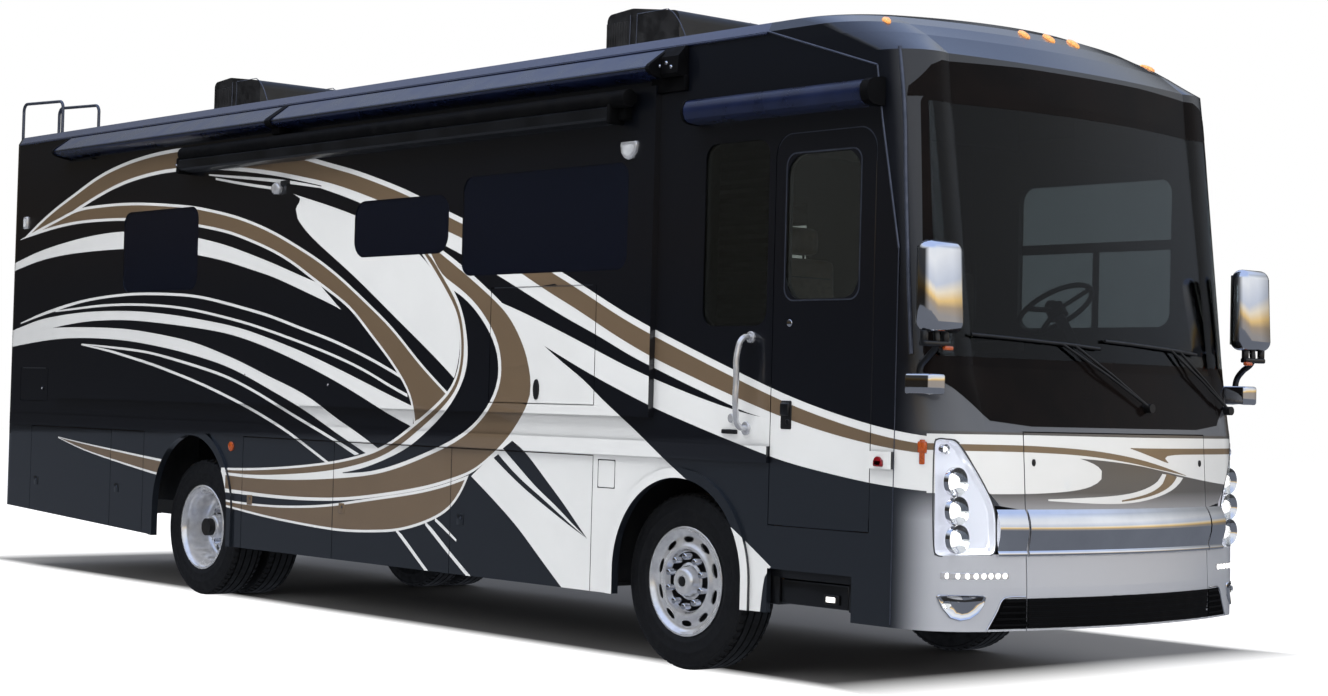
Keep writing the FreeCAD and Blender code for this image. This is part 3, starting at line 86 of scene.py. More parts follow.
def linear(code):
    """sRGB hex colour as linear red, green, blue and alpha."""
    parts = [int(code[i:i + 2], 16) / 255 for i in (1, 3, 5)]
    return [c / 12.92 if c <= 0.04045 else ((c + 0.055) / 1.055) ** 2.4 for c in parts] + [1.0]


class PaintSettings(bpy.types.PropertyGroup):
    body: colour("Body paint", "Metallic base of the walls, caps and doors", "#0c0f17")
    low_front: colour("Lower front paint", "Silver that the nose fades to", "#b3b5bb")
    sand: colour("Sand stripe", "Tan bands of the stripes", "#6a5946")
    pale: colour("Pale stripe", "White bands and fine lines of the stripes", "#d2d3d3")
    film: length("Stripe thickness", "How far the stripe film stands off the paint", 0.0008)


class StageSettings(bpy.types.PropertyGroup):
    lens: bpy.props.FloatProperty(name="Lens", description="Camera focal length", default=62.9, unit="CAMERA")
    floor_reach: length("Floor reach", "Half width of the floor", 60.0)


# ------------------------------------------------------------------ materials
def add_node(material, kind, settings=None, links=None):
    """Adds a node: settings are its attributes or input values, links join its inputs to output sockets."""
    node = material.node_tree.nodes.new(kind)
    for name, value in (settings or {}).items():
        if isinstance(name, int) or name in node.inputs:
            node.inputs[name].default_value = value
        else:
            setattr(node, name, value)
    for name, socket in (links or {}).items():
        material.node_tree.links.new(socket, node.inputs[name])
    return node


def rgba(value):
    return linear(value) if isinstance(value, str) else (*value[:3], 1.0)


def new_material(name, **sockets):
    """Principled material with its uniform values in sockets, and its shader and object coordinates."""
    material = bpy.data.materials.new(name)
    material.use_nodes = True
    shader = material.node_tree.nodes["Principled BSDF"]
    for key, value in sockets.items():
        socket = shader.inputs[key.replace("_", " ")]
        socket.default_value = rgba(value) if socket.type == "RGBA" else value
    place = add_node(material, "ShaderNodeTexCoord")
    return material, shader, place.outputs["Object"]


def join(material, socket, shader, name):
    material.node_tree.links.new(socket, shader.inputs[name])


def mottled(name, tint, other, patch, rough, relief=0.0, grain=1.0, stretch=(1, 1, 1), **sockets):
    """Material whose colour and gloss wander over patches, with a fine relief. patch and grain are in mm."""
    material, shader, place = new_material(name, Base_Color=tint, **sockets)
    scaled = add_node(material, "ShaderNodeMapping", {"Scale": [1 / s for s in stretch]}, {"Vector": place})
    patches = add_node(material, "ShaderNodeTexNoise", {"Scale": 1000 / patch, "Detail": 4.0},
                       {"Vector": scaled.outputs[0]})
    share = add_node(material, "ShaderNodeMapRange", {"From Min": 0.35, "From Max": 0.65},
                     {"Value": patches.outputs[0]})
    tone = add_node(material, "ShaderNodeMix", {"data_type": "RGBA", 6: rgba(tint), 7: rgba(other)},
                    {0: share.outputs[0]})
    join(material, tone.outputs[2], shader, "Base Color")
    gloss = add_node(material, "ShaderNodeMapRange", {"To Min": rough[0], "To Max": rough[1]},
                     {"Value": share.outputs[0]})
    join(material, gloss.outputs[0], shader, "Roughness")
    if relief:
        bumps = add_node(material, "ShaderNodeTexNoise", {"Scale": 1000 / grain, "Detail": 2.0},
                         {"Vector": scaled.outputs[0]})
        lift = add_node(material, "ShaderNodeBump", {"Distance": relief / 1000}, {"Height": bumps.outputs[0]})
        join(material, lift.outputs[0], shader, "Normal")
    return material


def lacquer(name, tint, flake, silver=None):
    """Baked paint under clear lacquer: metal flake, orange peel 8 mm across and a nose faded to silver."""
    material, shader, place = new_material(
        name, Base_Color=tint, Metallic=flake, Coat_Weight=1.0, Coat_Roughness=0.02)
    drift = add_node(material, "ShaderNodeTexNoise", {"Scale": 1.6, "Detail": 4.0}, {"Vector": place})
    tone = add_node(material, "ShaderNodeMix",
                    {"data_type": "RGBA", 6: rgba(tint), 7: (*(c * 0.85 for c in rgba(tint)[:3]), 1)},
                    {0: drift.outputs[0]})
    shade = tone.outputs[2]
    if silver:
        # the dark coat is blown over silver low down at the corners of the nose, and is a lighter grey below
        # the belt, on the skirts
        spot = add_node(material, "ShaderNodeSeparateXYZ", None, {0: place})
        low = add_node(material, "ShaderNodeMapRange",
                       {"From Min": 1.20, "From Max": 1.14, "interpolation_type": "SMOOTHSTEP"},
                       {"Value": spot.outputs[2]})
        lighter_low = add_node(material, "ShaderNodeMix", {"data_type": "RGBA", 7: linear("#181d24")},
                        {0: low.outputs[0], 6: shade})
        ahead = add_node(material, "ShaderNodeMapRange",
                         {"From Min": 4.84, "From Max": 5.10, "interpolation_type": "SMOOTHSTEP"},
                         {"Value": spot.outputs[0]})
        under = add_node(material, "ShaderNodeMapRange",
                         {"From Min": 1.07, "From Max": 0.93, "To Min": 0.14, "To Max": 1.0},
                         {"Value": spot.outputs[2]})
        below = add_node(material, "ShaderNodeMapRange", {"From Min": 1.72, "From Max": 1.58},
                         {"Value": spot.outputs[2]})
        both = add_node(material, "ShaderNodeMath", {"operation": "MULTIPLY"},
                        {0: ahead.outputs[0], 1: under.outputs[0]})
        fade = add_node(material, "ShaderNodeMath", {"operation": "MULTIPLY"},
                        {0: both.outputs[0], 1: below.outputs[0]})
        nose = add_node(material, "ShaderNodeMix", {"data_type": "RGBA", 7: rgba(silver)},
                        {0: fade.outputs[0], 6: lighter_low.outputs[2]})
        shade = nose.outputs[2]
    join(material, shade, shader, "Base Color")
    flakes = add_node(material, "ShaderNodeTexNoise", {"Scale": 250.0}, {"Vector": place})
    gloss = add_node(material, "ShaderNodeMapRange", {"To Min": 0.28, "To Max": 0.46},
                     {"Value": flakes.outputs[0]})
    join(material, gloss.outputs[0], shader, "Roughness")
    peel = add_node(material, "ShaderNodeTexNoise", {"Scale": 125.0, "Detail": 1.0}, {"Vector": place})
    lift = add_node(material, "ShaderNodeBump", {"Strength": 0.04, "Distance": 0.0004},
                    {"Height": peel.outputs[0]})
    join(material, lift.outputs[0], shader, "Coat Normal")
    return material


def edged(name, tint, edge):
    """Roof skin: tint on top, edge colour below the turn of the roof, with the ripple of laid glass cloth."""
    material, shader, place = new_material(name, Base_Color=tint, Coat_Weight=0.6, Coat_Roughness=0.08)
    spot = add_node(material, "ShaderNodeSeparateXYZ", None, {0: place})
    turn = add_node(material, "ShaderNodeMapRange", {"From Min": 3.572, "From Max": 3.584},
                    {"Value": spot.outputs[2]})
    tone = add_node(material, "ShaderNodeMix", {"data_type": "RGBA", 6: rgba(edge), 7: rgba(tint)},
                    {0: turn.outputs[0]})
    join(material, tone.outputs[2], shader, "Base Color")
    cloth = add_node(material, "ShaderNodeTexNoise", {"Scale": 30.0, "Detail": 3.0}, {"Vector": place})
    gloss = add_node(material, "ShaderNodeMapRange", {"To Min": 0.22, "To Max": 0.42},
                     {"Value": cloth.outputs[0]})
    join(material, gloss.outputs[0], shader, "Roughness")
    lift = add_node(material, "ShaderNodeBump", {"Distance": 0.0003}, {"Height": cloth.outputs[0]})
    join(material, lift.outputs[0], shader, "Normal")
    return material


def glazing(name, tint, **sockets):
    """Drawn glass: long shallow waves 90 mm apart and a film of dust that breaks the gloss."""
    material, shader, place = new_material(name, Base_Color=tint, **sockets)
    waves = add_node(material, "ShaderNodeTexNoise", {"Scale": 11.0, "Detail": 0.0}, {"Vector": place})
    lift = add_node(material, "ShaderNodeBump", {"Strength": 0.01, "Distance": 0.001},
                    {"Height": waves.outputs[0]})
    join(material, lift.outputs[0], shader, "Normal")
    dust = add_node(material, "ShaderNodeTexNoise", {"Scale": 6.0, "Detail": 5.0}, {"Vector": place})
    haze = add_node(material, "ShaderNodeMapRange", {"From Min": 0.45, "From Max": 0.7, "To Max": 0.04},
                    {"Value": dust.outputs[0]})
    join(material, haze.outputs[0], shader, "Roughness")
    return material


M = {}


def make_materials(paint):
    """Every finish of the coach, by its key in M."""
    # metallic lacquer: a deep wet shine over near-black flakes
    M["body"] = lacquer("metallic_charcoal_lacquer", paint.body, 0.35, paint.low_front)
    # solid white lacquer: even and bright, the same gloss as the dark coat
    M["pale"] = lacquer("white_stripe_lacquer", paint.pale, 0.0)
    # pearl lacquer: warm where the light falls, brown in shade
    M["sand"] = lacquer("sand_stripe_lacquer", paint.sand, 0.15)
    # gelcoat: a chalky white skin with a soft shine, painted dark where it turns down to the walls
    M["gelcoat"] = edged("white_roof_gelcoat", "#cfcecb", "#232940")
    # aluminium wrap in dark blue-black enamel, its blue partly a painted reflection of the sky: the sky
    # slides along it
    M["wrap"] = mottled("enamelled_aluminium_wrap", "#0c1227", "#121a34", 200, (0.24, 0.36), 0.08, 12,
                        Coat_Weight=0.35,
                        Coat_Roughness=0.12, Specular_IOR_Level=0.3)
    # moulded ABS: a fine pebble that breaks the highlights
    M["plastic"] = mottled("moulded_black_abs", "#0c0c0d", "#161617", 80, (0.38, 0.52), 0.2, 2)
    # gloss black paint round the windscreen: a deep black that melts into the glass
    M["mask"] = mottled("gloss_black_mask_paint", "#0a0808", "#100c0b", 300, (0.10, 0.22),
                        Specular_IOR_Level=0.05)
    # body-tinted float glass: almost black, mirror smooth
    M["glass"] = glazing("tinted_safety_glass", "#9fa4a0", Transmission_Weight=1.0, IOR=1.25)
    # the same with a second film, for the door: the cab only just shows through
    M["door"] = glazing("deep_tinted_door_glass", "#a9b0ae", Transmission_Weight=1.0, IOR=1.45)
    # glass with its blind down: dark and flat behind a clean gloss, its dark colour partly a painted shade of
    # the room behind
    M["blind"] = glazing("glass_over_dark_blind", "#0a0e18")
    # laminated windscreen with a grey tint that the cab shows through
    M["screen"] = glazing("laminated_windscreen_glass", "#565f66", Transmission_Weight=1.0, IOR=1.25)
    # clear polycarbonate: almost unseen but for its edge and its gloss
    M["clear"] = glazing("clear_polycarbonate_cover", "#f2f5f7", Transmission_Weight=1.0, IOR=1.2)
    # vulcanised rubber: soot black with a dry bloom
    M["tyre"] = mottled("vulcanised_tyre_rubber", "#070708", "#0c0c0d", 60, (0.55, 0.8), 0.4, 3)
    # forged aluminium, polished: bright with faint turning marks
    M["aluminium"] = mottled("polished_forged_aluminium", "#e4e5e7", "#cfd0d4", 50, (0.1, 0.2), Metallic=0.7)
    # chrome plate: a clean mirror
    M["chrome"] = mottled("bright_chrome_plate", "#eeeeef", "#e2e2e4", 300, (0.02, 0.06), Metallic=1.0)
    # satin chassis enamel with road dirt: patches of dull brown over black
    M["chassis"] = mottled("satin_chassis_enamel", "#101011", "#1c1a18", 120, (0.45, 0.7), 0.3, 4)
    # bellows rubber: dull with a grey bloom
    M["spring"] = mottled("bellows_rubber", "#0e0e0f", "#181818", 50, (0.6, 0.78), 0.3, 3)
    # painted cast iron: sandy skin under thick paint
    M["iron"] = mottled("painted_cast_iron", "#2a2b2d", "#393a3b", 50, (0.5, 0.7), 0.8, 6)
    # upholstery leather: a creased pebble with a waxed sheen
    M["leather"] = mottled("tan_upholstery_leather", "#6e5840", "#5c4834", 40, (0.38, 0.55), 0.8, 4)
    # slush-moulded dashboard skin: fine grain, no shine
    M["dash"] = mottled("grained_dash_skin", "#24211e", "#1d1b19", 50, (0.5, 0.68), 0.4, 2)
    # laminate planks: long streaks
    M["board"] = mottled("laminated_floor_planks", "#5a422b", "#3f2c1d", 60, (0.3, 0.5), stretch=(9, 1, 1))
    # powder coat: an even skin with a fine ripple
    M["casing"] = mottled("black_powder_coat", "#08090b", "#0c0d10", 200, (0.3, 0.42), 0.1, 2,
                          Coat_Weight=0.2)
    # moulded polycarbonate lenses, ribbed inside: a wet coloured depth
    M["amber"] = mottled("amber_lamp_lens", "#a34a1c", "#8a3d16", 12, (0.05, 0.2), 0.5, 5, Coat_Weight=1.0)
    # the same, lit: warm and bright in the middle
    M["glow"] = mottled("lit_amber_lens", "#e39a52", "#c9772c", 12, (0.1, 0.25), 0.3, 5, Coat_Weight=1.0,
                        Emission_Color="#ffb870", Emission_Strength=0.35)
    # the red ones
    M["red"] = mottled("red_lamp_lens", "#7d0f17", "#5b0a12", 12, (0.05, 0.2), 0.5, 5, Coat_Weight=1.0)
    # soot-black satin of gaps, slats and brackets, also laid as painted shade in the wheels' recesses, on the
    # slide's topper roll and on the window blinds: takes no light
    M["gap"] = mottled("panel_gap_shadow", "#050506", "#0a0a0b", 100, (0.6, 0.8), Specular_IOR_Level=0.1)
    # vacuum-plated lamp bowl: white, with a painted glow for the light on it, brightest deep inside
    M["bowl"] = mottled("plated_lamp_bowl_painted_glow", "#e2e2e8", "#d2d3dc", 400, (0.15, 0.3), Metallic=0.3,
                        Emission_Color="#f4f4ff", Emission_Strength=0.42)
    # the lamp itself, lit: the brightest spot
    M["lit"] = mottled("lit_lamp_reflector", "#f4f2f2", "#e6e2e0", 40, (0.1, 0.25),
                       Emission_Color="#fffaf2", Emission_Strength=1.3)
    # anodised aluminium extrusion in dark grey: a soft metallic band of light
    M["trim"] = mottled("dark_anodised_trim", "#565b69", "#4a4f5c", 60, (0.28, 0.4), Metallic=0.75)
    # pale chrome of small fittings, hazed by weather
    M["bright"] = mottled("hazed_chrome_plate", "#dcdde0", "#c9cace", 40, (0.12, 0.24), Metallic=0.7)
    # headlining cloth: dark and without shine
    M["lining"] = mottled("headlining_cloth", "#101216", "#0b0c0f", 20, (0.8, 0.95), 0.5, 3)


SLOT_FINISH = {
    "coach_paint": "body", "roof_gelcoat": "gelcoat", "black_plastic": "plastic", "tinted_glass": "glass",
    "windscreen_glass": "screen", "tyre_rubber": "tyre", "polished_aluminium": "aluminium",
    "chrome_trim": "chrome", "chassis_black": "chassis", "spring_rubber": "spring", "engine_iron": "iron",
    "seat_leather": "leather", "dash_plastic": "dash", "floor_board": "board", "lamp_lens": "clear",
    "awning_casing": "casing",
}
NODE_FINISH = {"entry_door_glass": "door", "slide_out_glass": "blind", "ladder": "trim"}


# ------------------------------------------------------------------ modelling helpers
# where rays start, beyond the nose or tail, the sides and the roof
AHEAD, ASIDE, ABOVE = 9, 3, 5
# stand-ins for the places of the nose and the tail, where a ray misses them
NOSE_AT, TAIL_AT = 5.2, -5.26


def deselect():
    if bpy.context.object and bpy.context.object.mode != "OBJECT":
        bpy.ops.object.mode_set(mode="OBJECT")
    bpy.ops.object.select_all(action="DESELECT")


def pick(piece):
    """Makes piece the only selected and active object."""
    deselect()
    piece.select_set(True)
    bpy.context.view_layer.objects.active = piece


@contextmanager
def editing(piece):
    """Edit mode on one piece, with all of it selected."""
    pick(piece)
    bpy.ops.object.mode_set(mode="EDIT")
    bpy.ops.mesh.select_all(action="SELECT")
    yield
    bpy.ops.object.mode_set(mode="OBJECT")


def settle(piece, name, finish, body="coach", smooth=30):
    """Applies the place of a modelled piece, names it, gives it its finish and its body."""
    pick(piece)
    if piece.type != "MESH":
        bpy.ops.object.convert(target="MESH")
        piece = bpy.context.object
    bpy.ops.object.transform_apply(location=True, rotation=True, scale=True)
    if smooth:
        bpy.ops.object.shade_smooth_by_angle(angle=math.radians(smooth))
    piece.name = name
    piece.data.name = name
    if finish:
        piece.data.materials.clear()
        for key in ([finish] if isinstance(finish, str) else finish):
            piece.data.materials.append(M[key])
    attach(piece, body)
    return piece


def mesh_object(name, points, faces):
    mesh = bpy.data.meshes.new(name)
    mesh.from_pydata([tuple(p) for p in points], [], faces)
    mesh.update()
    piece = bpy.data.objects.new(name, mesh)
    bpy.context.scene.collection.objects.link(piece)
    return piece


def apply_modifier(piece, kind, **settings):
    pick(piece)
    modifier = piece.modifiers.new(kind.lower(), kind)
    for key, value in settings.items():
        setattr(modifier, key, value)
    bpy.ops.object.modifier_apply(modifier=modifier.name)


def block(low, high, bevel=0.004, segments=2):
    """Box between two corners with rounded edges."""
    low, high = Vector(low), Vector(high)
    deselect()
    bpy.ops.mesh.primitive_cube_add(size=1, location=(low + high) / 2, scale=high - low)
    bpy.ops.object.transform_apply(location=False, rotation=False, scale=True)
    with editing(bpy.context.object):
        bpy.ops.mesh.bevel(offset=bevel, segments=segments, affect="EDGES")
    return bpy.context.object


def round_bar(start, end, radius, bevel=0.0, steps=24, tip=None):
    """Round bar between two points, with bevelled ends and, where tip is given, a narrower far end."""
    start, end = Vector(start), Vector(end)
    turn = (end - start).to_track_quat("Z", "Y").to_euler()
    deselect()
    if tip is None:
        bpy.ops.mesh.primitive_cylinder_add(vertices=steps, radius=radius, depth=(end - start).length,
                                            location=(start + end) / 2, rotation=turn)
    else:
        bpy.ops.mesh.primitive_cone_add(vertices=steps, radius1=radius, radius2=tip,
                                        depth=(end - start).length,
                                        location=(start + end) / 2, rotation=turn)
    if bevel:
        bpy.ops.object.mode_set(mode="EDIT")
        bpy.ops.mesh.select_mode(type="FACE")
        bpy.ops.mesh.select_all(action="DESELECT")
        bpy.ops.mesh.select_face_by_sides(number=4, type="GREATER")
        bpy.ops.mesh.bevel(offset=bevel, segments=2, affect="EDGES")
        bpy.ops.object.mode_set(mode="OBJECT")
    return bpy.context.object


def tube(points, radius, closed=False, steps=4):
    """Round tube along a smooth line through the points."""
    data = bpy.data.curves.new("tube", "CURVE")
    data.dimensions = "3D"
    data.bevel_depth = radius
    data.bevel_resolution = steps
    data.use_fill_caps = True
    line = data.splines.new("BEZIER")
    line.bezier_points.add(len(points) - 1)
    for knot, point in zip(line.bezier_points, points):
        knot.co = point
        knot.handle_left_type = knot.handle_right_type = "AUTO"
    line.use_cyclic_u = closed
    data.resolution_u = 8
    piece = bpy.data.objects.new("tube", data)
    bpy.context.scene.collection.objects.link(piece)
    pick(piece)
    bpy.ops.object.convert(target="MESH")
    return bpy.context.object


def plate(corners, push):
    """Flat outline given by its corners, drawn out along push."""
    piece = mesh_object("plate", corners, [list(range(len(corners)))])
    with editing(piece):
        bpy.ops.mesh.extrude_region_move(TRANSFORM_OT_translate={"value": push})
        bpy.ops.mesh.select_all(action="SELECT")
        bpy.ops.mesh.normals_make_consistent(inside=False)
    return piece


def spun(profile, centre, axis="Y", steps=64, hollow=False):
    """Piece turned about an axis through centre. The profile is (along the axis, radius) points."""
    centre = Vector(centre)
    along = {"X": Vector((1, 0, 0)), "Y": Vector((0, 1, 0)), "Z": Vector((0, 0, 1))}[axis]
    out = Vector((0, 0, 1)) if axis != "Z" else Vector((1, 0, 0))
    points = [centre + along * a + out * r for a, r in profile]
    mesh = bpy.data.meshes.new("spun")
    ends = list(zip(range(len(points) - 1), range(1, len(points))))
    mesh.from_pydata([tuple(p) for p in points], ends + ([(len(points) - 1, 0)] if hollow else []), [])
    piece = bpy.data.objects.new("spun", mesh)
    bpy.context.scene.collection.objects.link(piece)
    with editing(piece):
        bpy.ops.mesh.spin(steps=steps, angle=2 * math.pi, center=centre, axis=along, use_auto_merge=True)
        bpy.ops.mesh.select_all(action="SELECT")
        bpy.ops.mesh.remove_doubles(threshold=0.00005)
        bpy.ops.mesh.normals_make_consistent(inside=False)
    return piece


def joined(pieces):
    """One object from several."""
    deselect()
    for piece in pieces:
        piece.select_set(True)
    bpy.context.view_layer.objects.active = pieces[0]
    if len(pieces) > 1:
        bpy.ops.object.join()
    return bpy.context.object


def turned(piece, angle, axis, centre):
    """Turns a piece's mesh about an axis through centre."""
    place = Matrix.Translation(centre) @ Matrix.Rotation(angle, 4, axis) @ Matrix.Translation(-Vector(centre))
    piece.data.transform(place @ piece.matrix_world)
    piece.matrix_world = Matrix.Identity(4)
    return piece


def copied(piece, shift=(0, 0, 0), mirror=False):
    """Copy with its own mesh, moved by shift or mirrored to the other side of the coach."""
    twin = piece.copy()
    twin.data = piece.data.copy()
    bpy.context.scene.collection.objects.link(twin)
    twin.parent = None
    twin.data.transform(piece.matrix_world)
    twin.matrix_world = Matrix.Identity(4)
    if mirror:
        twin.data.transform(Matrix.Scale(-1, 4, (0, 1, 0)))
        twin.data.flip_normals()
    twin.data.transform(Matrix.Translation(shift))
    return twin


def loft(rings, open_ends=False):
    """Skin over closed rings of points, each with as many points, capped at both ends."""
    count = len(rings[0])
    points = [p for ring in rings for p in ring]
    faces = []
    for n in range(len(rings) - 1):
        for k in range(count):
            after = (k + 1) % count
            faces.append((n * count + k, n * count + after, (n + 1) * count + after, (n + 1) * count + k))
    if not open_ends:
        faces.append(list(range(count))[::-1])
        faces.append([(len(rings) - 1) * count + k for k in range(count)])
    piece = mesh_object("loft", points, faces)
    with editing(piece):
        bpy.ops.mesh.normals_make_consistent(inside=False)
    return piece


def steps_between(start, end, count):
    return [start + (end - start) * k / count for k in range(count + 1)]


TREES = {}


def tree_over(faces):
    """Ray-casting tree of triangles, each given by its corner points."""
    return BVHTree.FromPolygons([p for corners in faces for p in corners],
                                [(3 * n, 3 * n + 1, 3 * n + 2) for n in range(len(faces))])


def landing(tree, start, way, near):
    """Where a ray from start along way meets the tree's faces, or their point nearest to near."""
    return tree.ray_cast(start, way)[0] or tree.find_nearest(near)[0]


def standing_off(tree, start, way, near, out):
    """The landing of a ray, moved out square to the face that it meets."""
    hit, normal, _, _ = tree.ray_cast(start, way)
    if hit is None:
        hit, normal, _, _ = tree.find_nearest(near)
    return hit + normal * out


def face_tree(wanted, *nodes, key=None):
    """Ray-casting tree of the wanted faces of some nodes, kept under its key."""
    if key in TREES:
        return TREES[key]
    tree = tree_over([corners for node in nodes for corners in triangles(node, wanted)])
    if key:
        TREES[key] = tree
    return tree


# ------------------------------------------------------------------ stripes
def corner(along, height):
    """Point given three times, at which a smooth curve turns sharply."""
    return [(along, height)] * 3


